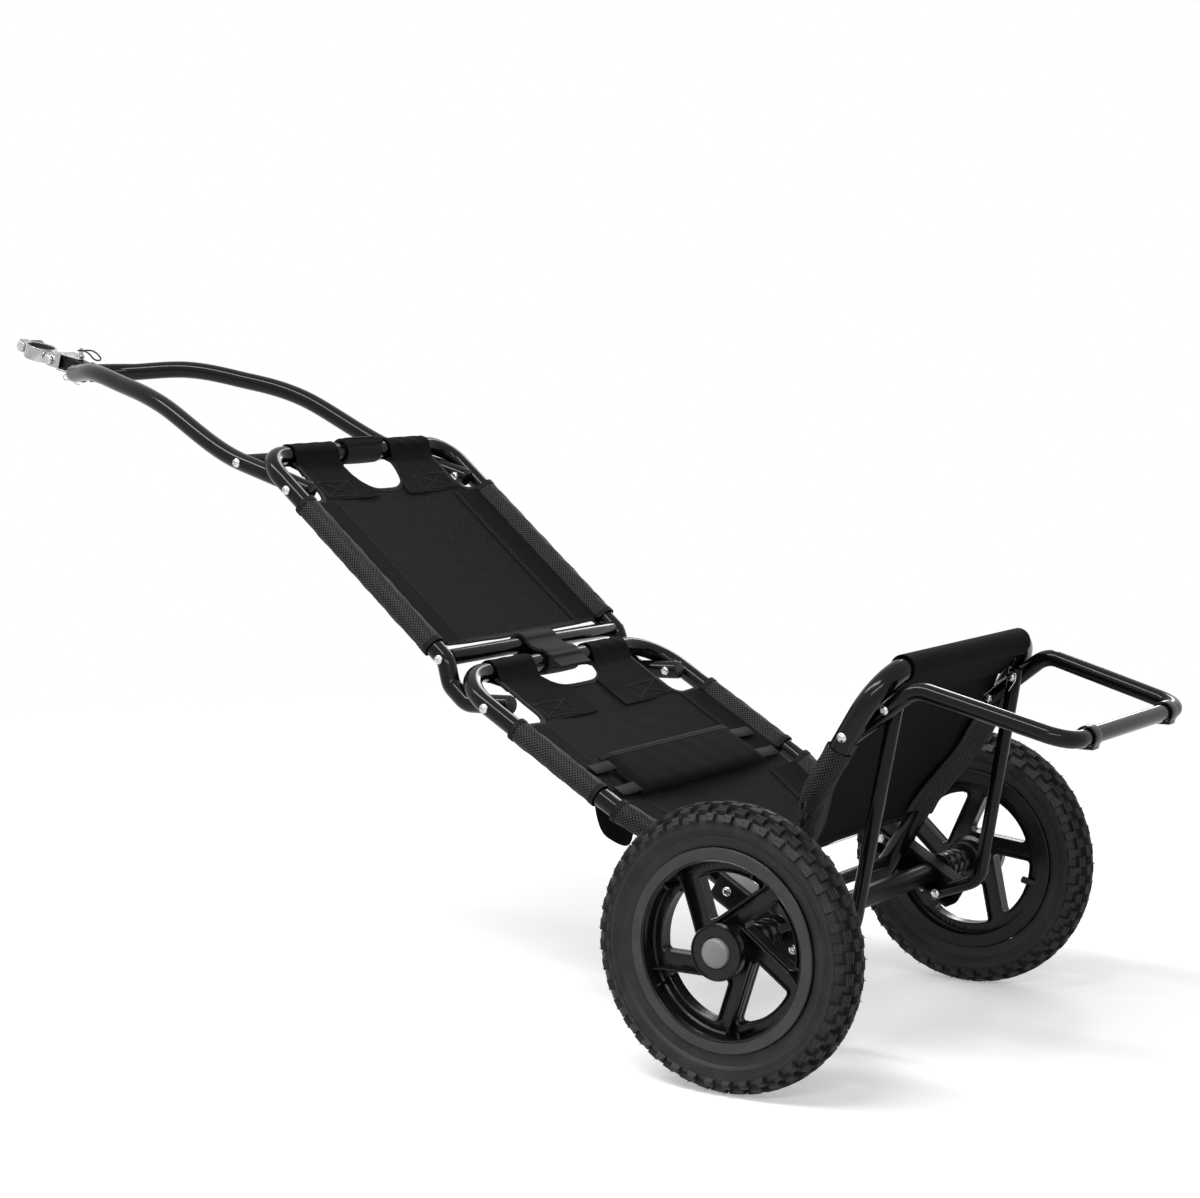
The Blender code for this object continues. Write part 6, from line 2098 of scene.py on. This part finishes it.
@dataclass(frozen=True)
class Tunnel:
    """Cloth sleeve sewn round a side tube, its two layers joined inboard."""

    radius: float
    reach_top: float
    reach_low: float
    lift: float = 0.0010
    slack: float = 0.001

    def section(self, middle: float) -> tuple[list[tuple], list[float]]:
        """Points across the sleeve for a tube at a half width, and their run along the cloth.

        Args:
            middle: half width of the tube's line.

        Returns:
            The points, and how far along the cloth each lies.
        """
        lead = math.degrees(math.acos(self.radius / (self.reach_low + self.slack)))
        inner = spread(middle - self.reach_top, middle - self.reach_low * 0.5, 4)[:-1]
        points = [(x, self.lift) for x in inner]
        points += arc((middle, 0.0), (self.radius, self.radius), 180.0 - lead, -180.0 + lead, 22)
        points.append((middle - self.reach_low, -self.lift))
        return points, runs_of(points)

    def wrap(self, form: Form, path: list[Vector], side: Side, place: Matrix,
             wobble: float = 0.0004) -> tuple:
        """Skin the sleeve along part of a tube.

        Args:
            form: the mesh in the making.
            path: the tube's centre line in the place, from low to high.
            side: the side of the trailer.
            place: the tube's frame.
            wobble: how far the cloth stands off here and there.

        Returns:
            Width and length of the flat cut.
        """
        rows = []
        flats = []
        fine = refine(path, 0.006)
        for point, run in zip(fine, runs_of(fine)):
            points, runs = self.section(abs(point.x))
            row = []
            for order, (x, n) in enumerate(points):
                wave = wobble * (math.sin(point.y * 230.0 + order * 0.9)
                                 + math.sin(point.y * 97.0 + order * 1.7))
                out = Vector((0.0, 0.0))
                if n or order > 3:
                    out = Vector((x - abs(point.x), n)).normalized() * wave
                row.append(place @ Vector((side.value * (x + out.x), point.y, point.z + n + out.y)))
            rows.append(row)
            flats.append([(r, run) for r in runs])
        form.skin(rows, flats)
        return flats[-1][-1]


def refine(path: list[Vector], step: float) -> list[Vector]:
    """Path with more points, no further apart than a step.

    Args:
        path: points of the line.
        step: longest gap between two points.

    Returns:
        Points of the line.
    """
    fine = [path[0]]
    for first, second in zip(path, path[1:]):
        count = max(1, math.ceil((second - first).length / step))
        fine += [first.lerp(second, k / count) for k in range(1, count + 1)]
    return fine


def refine_flat(line: list[tuple], step: float = 0.006) -> list[tuple]:
    """Flat line with more points."""
    return [(p.x, p.y) for p in refine([Vector((x, y, 0.0)) for x, y in line], step)]


def smooth_line(line: list[tuple], steps: int) -> list[tuple]:
    """Flat line with smooth points between the given ones.

    Args:
        line: points of the line.
        steps: parts between two given points.

    Returns:
        Points of the line.
    """
    points = [Vector(point) for point in line]
    fine = []
    for index in range(len(points) - 1):
        before = points[max(0, index - 1)]
        first = points[index]
        second = points[index + 1]
        after = points[min(len(points) - 1, index + 2)]
        fine += [curved(first, second, (second - before) * 0.5, (after - first) * 0.5, step / steps)
                 for step in range(steps)]
    return [(p.x, p.y) for p in (*fine, points[-1])]


@dataclass(frozen=True)
class PanelCut:
    """Outline of a mesh panel that hangs between two side tubes."""

    name: str
    body: str
    node: str
    bottom: float
    cut: float
    top: float
    tab_in: float
    tab_out: float
    hand: float
    sag: float
    corner: float = 0.02
    square: float = 3.0

    def inner(self, level: float) -> float:
        """Half width of the hand opening at a level.

        Args:
            level: distance along the tubes.

        Returns:
            The half width.
        """
        if level <= self.hand:
            return 0.0
        share = (self.top - level) / (self.top - self.hand)
        return self.tab_in * max(0.0, 1.0 - share ** self.square) ** (1.0 / self.square)

    def opening(self, start: float, end: float, steps: int) -> list[tuple]:
        """Points along the hand opening, angles in degrees.

        Args:
            start: first angle.
            end: last angle.
            steps: parts along the opening.

        Returns:
            Points of the line.
        """
        bent = 2.0 / self.square
        return [(self.tab_in * math.copysign(abs(x) ** bent, x),
                 self.top + (self.top - self.hand) * math.copysign(abs(y) ** bent, y))
                for x, y in arc((0.0, 0.0), (1.0, 1.0), start, end, steps)]

    def outer(self, level: float) -> float:
        """Half width of the tabs at a level above the side cut.

        Args:
            level: distance along the tubes.

        Returns:
            The half width.
        """
        rise = self.cut + self.corner - level
        if rise <= 0.0:
            return self.tab_out
        return self.tab_out + self.corner - math.sqrt(max(0.0, self.corner ** 2 - rise ** 2))


@dataclass
class Panel:
    """Mesh panel between side tubes with sleeves, tabs round the top tube and taped edges."""

    cut: PanelCut
    place: Matrix
    path: list[Vector]
    sleeves: tuple
    seam_half: float = 0.026
    columns: int = 26
    tunnel_top: float = 0.018
    tunnel_low: float = 0.026
    sleeve_gap: float = 0.0016
    tape_over: float = 0.0010
    band_end: float = 0.0145
    band_lift: float = 0.0010
    band_seams: tuple = (0.0035, 0.0075)
    lift: float = 0.0019
    tab_gap: float = 0.0018
    tab_cols: int = 14
    tab_low: float = 0.030
    tab_mid: float = 0.09
    tape_half: float = 0.0035
    tape_t: float = 0.0013
    box_in: float = 0.066
    box_out: float = 0.007
    box_levels: tuple = (0.009, 0.034)

    def depth(self, x: float, level: float) -> float:
        """How far the mesh hangs below the tubes' plane.

        Args:
            x: half width.
            level: distance along the tubes.

        Returns:
            The depth, as a height over the plane.
        """
        share = max(0.0, 1.0 - (x / self.seam(level)) ** 2)
        rise = (level - self.cut.bottom) / (self.cut.top - self.cut.bottom)
        along = math.sin(math.pi * min(1.0, max(0.0, 0.18 + 0.74 * rise)))
        ripple = 0.0005 * math.sin(x * 90.0 + level * 60.0) * math.sin(level * 120.0)
        return -(self.cut.sag * share * along) + ripple * share

    def seam(self, level: float) -> float:
        """Half width where the mesh meets its sleeves."""
        return self.half_at(level) - self.seam_half

    def half_at(self, level: float) -> float:
        """Half width of the side tube at a level.

        Args:
            level: distance along the tubes.

        Returns:
            The half width.
        """
        line = [p for p in self.path if p.x > 0.0]
        for first, second in zip(line, line[1:]):
            if (first.y - level) * (second.y - level) <= 0.0 and abs(second.y - first.y) > WELD:
                return first.lerp(second, (level - first.y) / (second.y - first.y)).x
        return min(line, key=lambda p: abs(p.y - level)).x

    def on_net(self, line: list[tuple], lift: float = 0.0) -> list[Vector]:
        """Points over the net along (x, level) points."""
        return [self.place @ Vector((x, level, self.depth(abs(x), level) + lift)) for x, level in line]

    def piece(self, word: str, look: Finish, thick: float = 0.0, nodes: tuple = ()) -> Piece:
        """Piece of the panel, named after it."""
        return Piece(self.cut.name + word, look, self.cut.body, nodes, thick=thick, angle=SOFT_ANGLE)

    def mesh(self) -> bpy.types.Object:
        """Net of the panel below and between the tabs.

        Returns:
            The new object.
        """
        form = Form()
        c = self.cut
        above = levels(c.cut, c.hand, 0.005) + levels(c.hand, c.top - 0.016, 0.004)[1:]
        for sign in (-1, 1):
            wide = []
            for level in levels(c.bottom, c.cut, 0.008):
                seam = self.seam(level)
                inner = min(c.tab_out + c.corner, seam - 0.004)
                wide.append((level, spread(0.0, inner, self.columns)[:-1] + spread(inner, seam, 4)))
            narrow = [(level, spread(c.inner(level), c.outer(level), self.columns)) for level in above]
            for rows in (wide, narrow):
                form.lay(self.place,
                         [[(sign * x, level, self.depth(x, level)) for x in xs] for level, xs in rows],
                         [level for level, _ in rows])
        # The net's near-black colour includes painted shade.
        return self.piece("", MESH, 0.0010, (c.node,)).publish(form)

    def sleeve(self, side: Side, low: float, high: float, reach: float, word: str) -> list[list[tuple]]:
        """Sleeve round one side tube with taped ends and the band beside it.

        Args:
            side: the side of the trailer.
            low: its lower end.
            high: its upper end.
            reach: how far inboard of the tube the band goes.
            word: what the sleeve is called.

        Returns:
            Lines where the band is sewn.
        """
        r = PLAN.frame_r + self.sleeve_gap
        tunnel = Tunnel(r, self.tunnel_top, self.tunnel_low, self.lift)
        form = Form()
        flat = tunnel.wrap(form, leg_of(self.path, side, low, high), side, self.place)
        made = self.piece(f"_{word}_{side.word}", SPACER_PAINTED_GLINTS, 0.0012).publish(form)
        over = Tunnel(r + self.tape_over, self.tunnel_top + 0.0006, self.tunnel_low + 0.0006,
                      self.lift + 0.0009)
        tape = Form()
        for start, end in ((low - 0.0008, low + 0.0052), (high - 0.0052, high + 0.0008)):
            over.wrap(tape, leg_of(self.path, side, start, end), side, self.place, 0.0)
        ends = self.piece(f"_{word}_tape_{side.word}", BINDING, 0.0010).publish(tape)
        return self.band(side, low, high, reach, word)

    def band(self, side: Side, low: float, high: float, reach: float, word: str) -> list[list[tuple]]:
        """Cloth band sewn on the net beside a sleeve.

        Args:
            side: the side of the trailer.
            low: its lower end.
            high: its upper end.
            reach: how far inboard of the tube it goes.
            word: what the sleeve is called.

        Returns:
            Lines where the band is sewn.
        """
        rows = []
        for level in levels(low + 0.001, high - 0.001, 0.008):
            half = self.half_at(level)
            rows.append([(x, level, self.depth(x, level) + self.band_lift)
                         for x in spread(half - reach, half - self.band_end, 8)])
        form = Form()
        form.lay(self.place @ side.mirror, rows, [row[0][1] for row in rows])
        made = self.piece(f"_{word}_band_{side.word}", CLOTH, 0.0008).publish(form)
        return [[(side.value * (self.half_at(level) - reach + inset), level)
                 for level in levels(low + 0.004, high - 0.004, 0.01)] for inset in self.band_seams]

    def sew(self, word: str, lines: list[list[tuple]], lift: float) -> bpy.types.Object:
        """Stitch along (x, level) lines, a little above the net."""
        return SEAMS.sew(self.cut.name + word, self.cut.body, [self.on_net(line, lift) for line in lines],
                         self.place.to_3x3() @ UP)

    def tab(self, side: Side) -> bpy.types.Object:
        """Cloth tab that loops over the top tube.

        Args:
            side: the side of the trailer.

        Returns:
            The new object.
        """
        c = self.cut
        r = PLAN.frame_r + self.tab_gap
        rise = [(level, 0.0011 + self.depth(self.tab_mid, level))
                for level in levels(c.cut + 0.004, c.top - 0.022, 0.006)]
        front = len(rise) + 3
        line = rise + [(c.top + r * math.cos(a), r * math.sin(a))
                       for a in map(math.radians, spread(135.0, -135.0, 26))]
        line += [(c.top - 0.024, -0.0016 + self.depth(self.tab_mid, c.top - 0.024)),
                 (c.top - 0.034, -0.0045)]
        runs = runs_of(line)
        rows = []
        for index, (level, n) in enumerate(line):
            inner, outer = c.tab_in, c.tab_out
            if index < front:
                inner = max(c.inner(level) if level < c.top - 0.010 else c.tab_in, self.tab_low)
                outer = c.outer(level)
            rows.append([(x, level, n + 0.0004 * math.sin(x * 210.0 + index * 0.8))
                         for x in spread(inner, outer, self.tab_cols)])
        form = Form()
        form.lay(self.place @ side.mirror, rows, runs)
        made = self.piece(f"_tab_{side.word}", CLOTH, 0.0012).publish(form)
        return made

    def tape(self, word: str, line: list[tuple]) -> bpy.types.Object:
        """Folded tape along an edge of the panel, given by (x, level) points.

        Args:
            word: what the tape is called.
            line: points of the edge, as x and level.

        Returns:
            The new object.
        """
        path = self.on_net(line)
        section = tape_section(self.tape_half, self.tape_half * 0.8, self.tape_t)
        normal = self.place.to_3x3() @ UP
        rows = []
        for index, point in enumerate(path):
            before = path[max(0, index - 1)]
            after = path[min(len(path) - 1, index + 1)]
            side = normal.cross((after - before).normalized())
            rows.append([point + side * a + normal * b for a, b in section])
        form = Form()
        across = (0.0, 0.001, 0.004, 0.007, 0.008, 0.011, 0.014)
        form.skin(rows, [[(a, run) for a in across] for run in runs_of(path)], True)
        form.cap(rows[0])
        form.cap(rows[-1])
        return self.piece(word, BINDING).publish(form)

    def build(self) -> None:
        """Make the panel with all that is sewn to it."""
        c = self.cut
        net = self.mesh()
        hem = self.seam(c.bottom)
        level = c.bottom + 0.001
        tapes = [self.tape("_hem", [(x, level) for x in spread(hem, -hem, 40)]),
                 self.tape("_hand_tape", c.opening(-6.0, -174.0, 56))]
        for side in Side:
            corner = arc((c.tab_out + c.corner, c.cut + c.corner), (c.corner, c.corner), 270.0, 180.0, 12)
            line = [(self.seam(c.cut) + 0.004, c.cut), *corner, (c.tab_out, c.top - 0.014)]
            tapes.append(self.tape(f"_side_tape_{side.word}",
                                   refine_flat([(side.value * x, y) for x, y in line])))
        hem -= 0.004
        around = [[(-hem, level), (hem, level)], c.opening(-12.0, -168.0, 40)]
        tapes.append(self.sew("_tape_stitches", around, 0.0017))
        boxes = []
        low, high = (c.cut + rise for rise in self.box_levels)
        for side in Side:
            near, far = side.value * self.box_in, side.value * (c.tab_out - self.box_out)
            boxes.append([(near, low), (far, low), (far, high), (near, high), (near, low), (far, high)])
            boxes.append([(near, high), (far, low)])
        tapes.append(self.sew("_tab_stitches", [refine_flat(line) for line in boxes], 0.0022))
        width = 2.0 * self.seam(c.cut)
        edges = []
        for row in self.sleeves:
            for side in Side:
                edges += self.sleeve(side, *row)
        self.sew("_band_stitches", edges, 0.0016)
        for side in Side:
            self.tab(side)


def tape_section(half: float, flat: float, thick: float) -> list[tuple]:
    """Section of a tape with bevelled edges."""
    return [(half, 0.0), (flat, thick), (-flat, thick), (-half, 0.0), (-flat, -thick), (flat, -thick)]


@dataclass(frozen=True)
class LockingStrap:
    """Wide strap wrapped round a cross tube and the top tube below it, with a tail."""

    name: str
    node: str
    body: str
    joint: str
    place: Matrix
    top: tuple
    cross: tuple
    tail: float
    width: float = 0.065
    stand_off: float = 0.0029
    thick: float = 0.0021

    def line(self) -> list[tuple]:
        """Line of the strap in the side view of its frame.

        Returns:
            Points of the line.
        """
        a = Vector(self.top)
        b = Vector(self.cross)
        heading = (b - a).normalized()
        up = Vector((-heading.y, heading.x))
        ra = PLAN.frame_r + self.stand_off
        rb = PLAN.cross_r + self.stand_off
        middle = a.lerp(b, 0.5)

        def around(centre: Vector, r: float, angles: Iterable[float]) -> list[Vector]:
            """Points round a tube, angles in degrees from the strap's heading."""
            return [centre + heading * r * math.cos(t) + up * r * math.sin(t)
                    for t in map(math.radians, angles)]

        points = [a - heading * (self.tail + 0.006) + up * (ra * 0.72),
                  a - heading * (self.tail * 0.6) + up * ra * 0.8, a - heading * ra * 0.7 + up * ra * 0.98,
                  *around(a, ra, (110.0, 90.0, 70.0, 52.0)), middle + up * (ra * 0.62),
                  *around(b, rb, spread(128.0, -128.0, 14)), middle - up * (ra * 0.62),
                  *around(a, ra, spread(-52.0, -228.0, 10)), a - heading * ra * 1.25 + up * ra * 0.45]
        return [(p.x, p.y) for p in points]

    def build(self) -> None:
        """Make the strap."""
        path = [self.place @ Vector((0.0, y, z)) for y, z in smooth_line(self.line(), 3)]
        half = self.width / 2.0
        edge = half - 0.001
        t = self.thick
        section = [(half, 0.0), (edge, t), (half * 0.6, t * 1.15), (0.0, t * 1.25), (-half * 0.6, t * 1.15),
                   (-edge, t), (-half, 0.0), (-edge, -t), (0.0, -t), (edge, -t)]
        form = Form()
        form.sweep(path, section, ACROSS)
        made = Piece(self.name, WEBBING, self.body, (self.node,), angle=SOFT_ANGLE).publish(form)
        runs_of(path)[-1]
        a = Vector((0.0, *self.top))
        b = Vector((0.0, *self.cross))
        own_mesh(made)


@dataclass(frozen=True)
class PlatformCover:
    """Cloth cover of the platform: a panel, a wrap round the front tube and side sleeves."""

    low: float = 0.062
    low_half: float = 0.125
    edge_half: float = 0.148
    flare: float = 0.014
    wrap_half: float = 0.144
    wrap_gap: float = 0.0018
    panel_end: float = 0.026
    panel_rows: int = 26
    columns: int = 34
    ease_from: float = 0.07
    ease_len: float = 0.044
    sag: float = 0.0035
    sleeve_low: float = 0.082
    sleeve_high: float = 0.222
    sleeve_gap: float = 0.0014
    sleeve_reach: tuple = (0.040, 0.028)
    drop: float = 0.0040
    hems: tuple = (0.003, 0.008)
    hem_in: float = 0.003
    stitch_lift: float = 0.0010

    def half_at(self, p: float, platform: Platform) -> float:
        """Half width of the panel at a level.

        Args:
            p: distance along the platform.
            platform: the platform.

        Returns:
            The half width.
        """
        half = self.edge_half + self.flare
        full = self.sleeve_low + 0.02
        if p < platform.bend_low:
            half = self.low_half
        elif p < full:
            share = (p - platform.bend_low) / (full - platform.bend_low)
            half = self.low_half + (half - self.low_half) * share
        past = p - platform.front + self.ease_from
        return half + (self.wrap_half - half) * min(1.0, past / self.ease_len) if past > 0.0 else half

    def build(self, platform: Platform) -> None:
        """Make the cover.

        Args:
            platform: the platform.
        """
        front = platform.front
        r = platform.tube_r + self.wrap_gap
        line = [(p, -self.drop) for p in spread(self.low, front - self.panel_end, self.panel_rows)]
        line += [(front + r * math.cos(a), r * math.sin(a))
                 for a in map(math.radians, spread(-115.0, 147.0, 28))]
        line += [(front - 0.030, 0.0045), (front - 0.044, 0.0010)]
        runs = runs_of(line)
        rows = []
        for index, (p, n) in enumerate(line):
            panel = index <= self.panel_rows
            half = self.half_at(p, platform) if panel else self.wrap_half
            flatten = max(0.0, min(1.0, (front - 0.03 - p) / 0.08)) if panel else 0.0
            row = []
            for x in spread(-half, half, self.columns):
                hang = -self.sag * (1.0 - (x / half) ** 2) + 0.0006 * math.sin(x * 55.0 + p * 80.0)
                row.append((x, p, n + hang * flatten))
            rows.append(row)
        form = Form()
        form.lay(PLAN.platform, rows, runs)
        made = Piece("platform_cloth", CLOTH, "platform", ("platform_cover",), thick=0.0014,
                     angle=SOFT_ANGLE).publish(form)
        tunnel = Tunnel(platform.tube_r + self.sleeve_gap, *self.sleeve_reach)
        for side in Side:
            sleeve = Form()
            part = leg_of(platform.path, side, self.sleeve_low, self.sleeve_high)
            flat = tunnel.wrap(sleeve, part, side, PLAN.platform)
            worn = Piece(f"platform_sleeve_{side.word}", SPACER_PAINTED_GLINTS, "platform", thick=0.0012,
                         angle=SOFT_ANGLE).publish(sleeve)
        reach = self.low_half - self.hem_in
        hems = [[PLAN.platform @ Vector((x, self.low + inset, level)) for x in (-reach, reach)]
                for level in (-self.drop + self.stitch_lift, -self.drop - self.stitch_lift)
                for inset in self.hems]
        sewn = SEAMS.sew("platform_hem_stitches", "platform", hems, PLAN.platform.to_3x3() @ UP)


# The trailer and its studio.


@dataclass(frozen=True)
class Soft:
    """All the cloth of the trailer."""

    low: float = 0.2375
    high: float = 0.3025
    half: float = 0.140
    out: float = 0.0078
    foot: float = 0.0016
    gather: float = 0.012
    mouth: float = 0.82
    columns: int = 40
    loop_at: tuple = (0.011, -0.013)
    loop_line: tuple = ((0.132, 0.0040), (0.142, 0.0042), (0.152, 0.0034), (0.164, 0.0030), (0.176, 0.0036))
    flap_low: float = 0.217
    flap_high: float = 0.285
    flap_x: float = -0.178
    flap_drop: float = 0.050

    def build(self, lower: LowerFrame, upper: UpperFrame, platform: Platform) -> None:
        """Make panels, pocket, straps and cover.

        Args:
            lower: the lower frame.
            upper: the upper frame.
            platform: the platform.
        """
        drop = -PLAN.upper_drop
        lifted = [p - UP * drop for p in upper.path if p.y > upper.cross]
        Panel(PanelCut("upper_mesh", "upper_frame", "upper_panel", 0.113, 0.356, 0.440, 0.052, 0.134, 0.372,
                       0.007),
              PLAN.upper @ Matrix.Translation((0.0, 0.0, drop)), lifted,
              ((0.113, 0.356, 0.066, "sleeve"),)).build()
        Panel(PanelCut("sling_mesh", "lower_frame", "lower_sling", 0.1185, 0.3815, 0.4825, 0.062, 0.139,
                       0.4355,
                       0.009), PLAN.lower, lower.path,
              ((0.2525, 0.3815, 0.062, "sleeve"), (0.1185, 0.2245, 0.076, "patch"))).build()
        self.pocket()
        self.flap()
        seen = PLAN.upper.inverted() @ (PLAN.lower @ Vector((0.0, lower.top, 0.0)))
        LockingStrap("lower_locking_strap", "lower_strap", "upper_frame", "upper_frame_fold", PLAN.upper,
                     (seen.y, seen.z), (upper.cross, drop), 0.022).build()
        seen = PLAN.drawbar.inverted() @ (PLAN.upper @ Vector((0.0, upper.top, drop)))
        LockingStrap("upper_locking_strap", "upper_strap", "drawbar", "drawbar_fold", PLAN.drawbar,
                     (seen.y, seen.z), (0.102, 0.0), 0.012).build()
        PlatformCover().build(platform)

    def gathered(self, x: float, out: float) -> float:
        """Height of the pocket over the sling, less towards its ends."""
        return self.foot + (out - self.foot) * min(1.0, (self.half - abs(x)) / self.gather)

    def pocket(self) -> None:
        """Band across the sling, gathered at the ends, with a taped top edge."""
        low, high, half, out = self.low, self.high, self.half, self.out
        top = out * self.mouth
        profile = [(low, self.foot), (low + 0.003, out * 0.75), (low + 0.012, out),
                   (low + 0.034, out * 0.97),
                   (high - 0.006, out * 0.9), (high, top)]
        runs = runs_of(profile)
        xs = spread(-half, half, self.columns)
        form = Form()
        form.lay(PLAN.lower,
                 [[(x, level, self.gathered(x, n) + 0.0004 * math.sin(x * 140.0 + index)) for x in xs]
                              for index, (level, n) in enumerate(profile)], runs)
        band = Piece("pocket_band", CLOTH, "lower_frame", ("storage_pocket",), thick=0.0012,
                     angle=SOFT_ANGLE).publish(form)
        across = PLAN.lower.to_3x3() @ AHEAD
        tape = Form()
        tape.sweep([PLAN.lower @ Vector((x, high, self.gathered(x, top))) for x in xs],
                   tape_section(0.0035, 0.003, 0.0013), across)
        edge = Piece("pocket_tape", BINDING, "lower_frame", angle=SOFT_ANGLE).publish(tape)
        loops = Form()
        for side in Side:
            for end, inset in zip((low, high), self.loop_at):
                path = [PLAN.lower @ Vector((side.value * x, end + inset, n)) for x, n in self.loop_line]
                loops.sweep(path, tape_section(0.008, 0.0075, 0.0006), across)
        worn = Piece("pocket_loops", BINDING, "lower_frame", angle=SOFT_ANGLE).publish(loops)
        reach = half - 0.014
        line = [PLAN.lower @ Vector((x, high, top + self.foot)) for x in (-reach, reach)]
        sewn = SEAMS.sew("pocket_stitches", "lower_frame", [line], PLAN.lower.to_3x3() @ UP)

    def flap(self) -> None:
        """Loose cloth tongue that hangs below the left tube beside the sling's patch."""
        wide = self.flap_high - self.flap_low
        down = PLAN.lower.inverted().to_3x3() @ -UP
        rows = []
        flats = []
        for share in spread(0.0, 1.0, 14):
            deep = self.flap_drop * (1.0 - abs(2.0 * share - 1.0) ** 3.2) ** 0.6 + 0.002
            base = Vector((self.flap_x, self.flap_low + wide * share, -0.0035))
            bow = 0.004 * math.sin(share * 7.0)
            falls = spread(0.0, 1.0, 8)
            rows.append([PLAN.lower @ (base + down * (deep * fall) + ACROSS * (bow * fall ** 2))
                         for fall in falls])
            flats.append([(wide * share, deep * fall) for fall in falls])
        form = Form()
        form.skin(rows, flats)
        made = Piece("hanging_flap", CLOTH, "lower_frame", thick=0.0012, angle=SOFT_ANGLE,
                     levels=1).publish(form)


@dataclass(frozen=True)
class Lamp:
    """Soft rectangular lamp aimed at a point."""

    name: str
    spot: tuple
    aim: tuple
    size: tuple
    power: float

    def build(self) -> None:
        """Make the lamp."""
        data = bpy.data.lights.new(self.name, "AREA")
        data.shape = "RECTANGLE"
        data.size, data.size_y = self.size
        data.energy = self.power
        made = shown(self.name, data)
        made.location = self.spot
        made.rotation_euler = (Vector(self.aim) - Vector(self.spot)).to_track_quat("-Z", "Y").to_euler()


@dataclass(frozen=True)
class Studio:
    """Floor, lamps and camera."""

    lens: float = 83.13
    eye: tuple = (-2.7281, -2.6846, 0.0612)
    pitch: float = 81.763
    heading: float = -57.521
    shift: tuple = (-0.0309, 0.0902)
    floor_half: float = 30.0
    floor_grey: float = 0.80
    world_fill: float = 0.38
    floor_glow: float = 0.36
    floor_near: float = 1.1
    floor_far: float = 2.6
    lamps: tuple = (Lamp("key_strip", (-1.6, -0.25, 2.3), (0.0, -0.45, -0.35), (3.4, 0.38), 96.0),
                    Lamp("side_strip", (-2.5, -2.9, 1.3), (0.0, -0.8, -0.4), (2.2, 0.24), 34.0),
                    Lamp("back_strip", (2.9, -0.3, 1.5), (0.0, -0.8, -0.3), (0.40, 2.8), 30.0))

    def build(self) -> None:
        """Make the studio."""
        bpy.context.scene.view_settings.view_transform = "Standard"
        self.camera()
        self.world()
        self.floor()
        for lamp in self.lamps:
            lamp.build()

    def camera(self) -> None:
        """Camera of the photograph."""
        data = bpy.data.cameras.new("camera")
        data.lens = self.lens
        data.shift_x, data.shift_y = self.shift
        data.clip_end = 200.0
        made = shown("camera", data)
        made.location = self.eye
        made.rotation_euler = (math.radians(self.pitch), 0.0, math.radians(self.heading))
        bpy.context.scene.camera = made

    def world(self) -> None:
        """White to the eye and in reflections, softer as a light."""
        made = bpy.data.worlds.new("studio")
        made.use_nodes = True
        nodes = Nodes(made.node_tree)
        level = nodes.node("ShaderNodeMapRange", None, {
            "Value": nodes.seen(), "To Min": self.world_fill, "To Max": 1.0})
        light = nodes.node("ShaderNodeBackground", None, {
            "Color": (1.0, 1.0, 1.0, 1.0), "Strength": level.outputs[0]})
        nodes.node("ShaderNodeOutputWorld", None, {"Surface": light.outputs[0]})
        bpy.context.scene.world = made

    def floor(self) -> None:
        """Pale floor that meets the white behind it."""
        nodes = Shading("studio_floor")
        seen = nodes.seen()
        matt = nodes.node("ShaderNodeBsdfDiffuse", None, {"Color": (*grey(self.floor_grey), 1.0)})
        glow = nodes.node("ShaderNodeEmission", None, {"Strength": seen * self.floor_glow})
        near = nodes.node("ShaderNodeAddShader", None, {0: matt.outputs[0], 1: glow.outputs[0]})
        away = nodes.number("ShaderNodeVectorMath", {"operation": "DISTANCE"},
                            {0: nodes.place(), 1: (0.0, PLAN.axle[1] / 2.0, PLAN.ground)}, "Value")
        white = nodes.node("ShaderNodeEmission", None, {"Strength": seen})
        both = nodes.node("ShaderNodeMixShader", None, {
            0: away.span(self.floor_near, self.floor_far), 1: near.outputs[0], 2: white.outputs[0]})
        nodes.node("ShaderNodeOutputMaterial", None, {"Surface": both.outputs[0]})
        form = Form()
        form.skin([[Vector((x, y, PLAN.ground)) for x in (-self.floor_half, self.floor_half)]
                   for y in (-self.floor_half, self.floor_half)])
        mesh = form.mesh("floor")
        mesh.materials.append(nodes.material)
        shown("floor", mesh)


def dress_rest(names: Iterable[str]) -> None:
    """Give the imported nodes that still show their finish.

    Args:
        names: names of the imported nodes.
    """
    looks = {"black_paint": PAINT, "moulded_plastic": PLASTIC, "bright_steel": STEEL, "chrome": CHROME,
             "tyre_rubber": RUBBER, "liner_rubber": LINER, "button_plastic": GREY}
    slots = {row["node"]: row["material_slot"] for row in frame["record"]["subparts"]}
    for name in names:
        node = frame["nodes"][name]
        if node.hide_render or slots.get(name) not in looks:
            continue
        node.data.materials.clear()
        node.data.materials.append(looks[slots[name]].dress())
        LOG.info("%s keeps its packed shape", name)


def main() -> None:
    """Build the trailer piece by piece."""
    logging.basicConfig(level=logging.INFO, format="%(name)s %(message)s")
    Studio().build()
    lower = LowerFrame()
    upper = UpperFrame()
    drawbar = Drawbar()
    platform = Platform()
    lower.build()
    upper.build(lower, drawbar)
    drawbar.build()
    platform.build(lower)
    Kickstand().build(lower)
    Wheel().build()
    Hitch().build()
    Soft().build(lower, upper, platform)
    dress_rest(frame["nodes"])


if __name__ == "__main__":
    main()
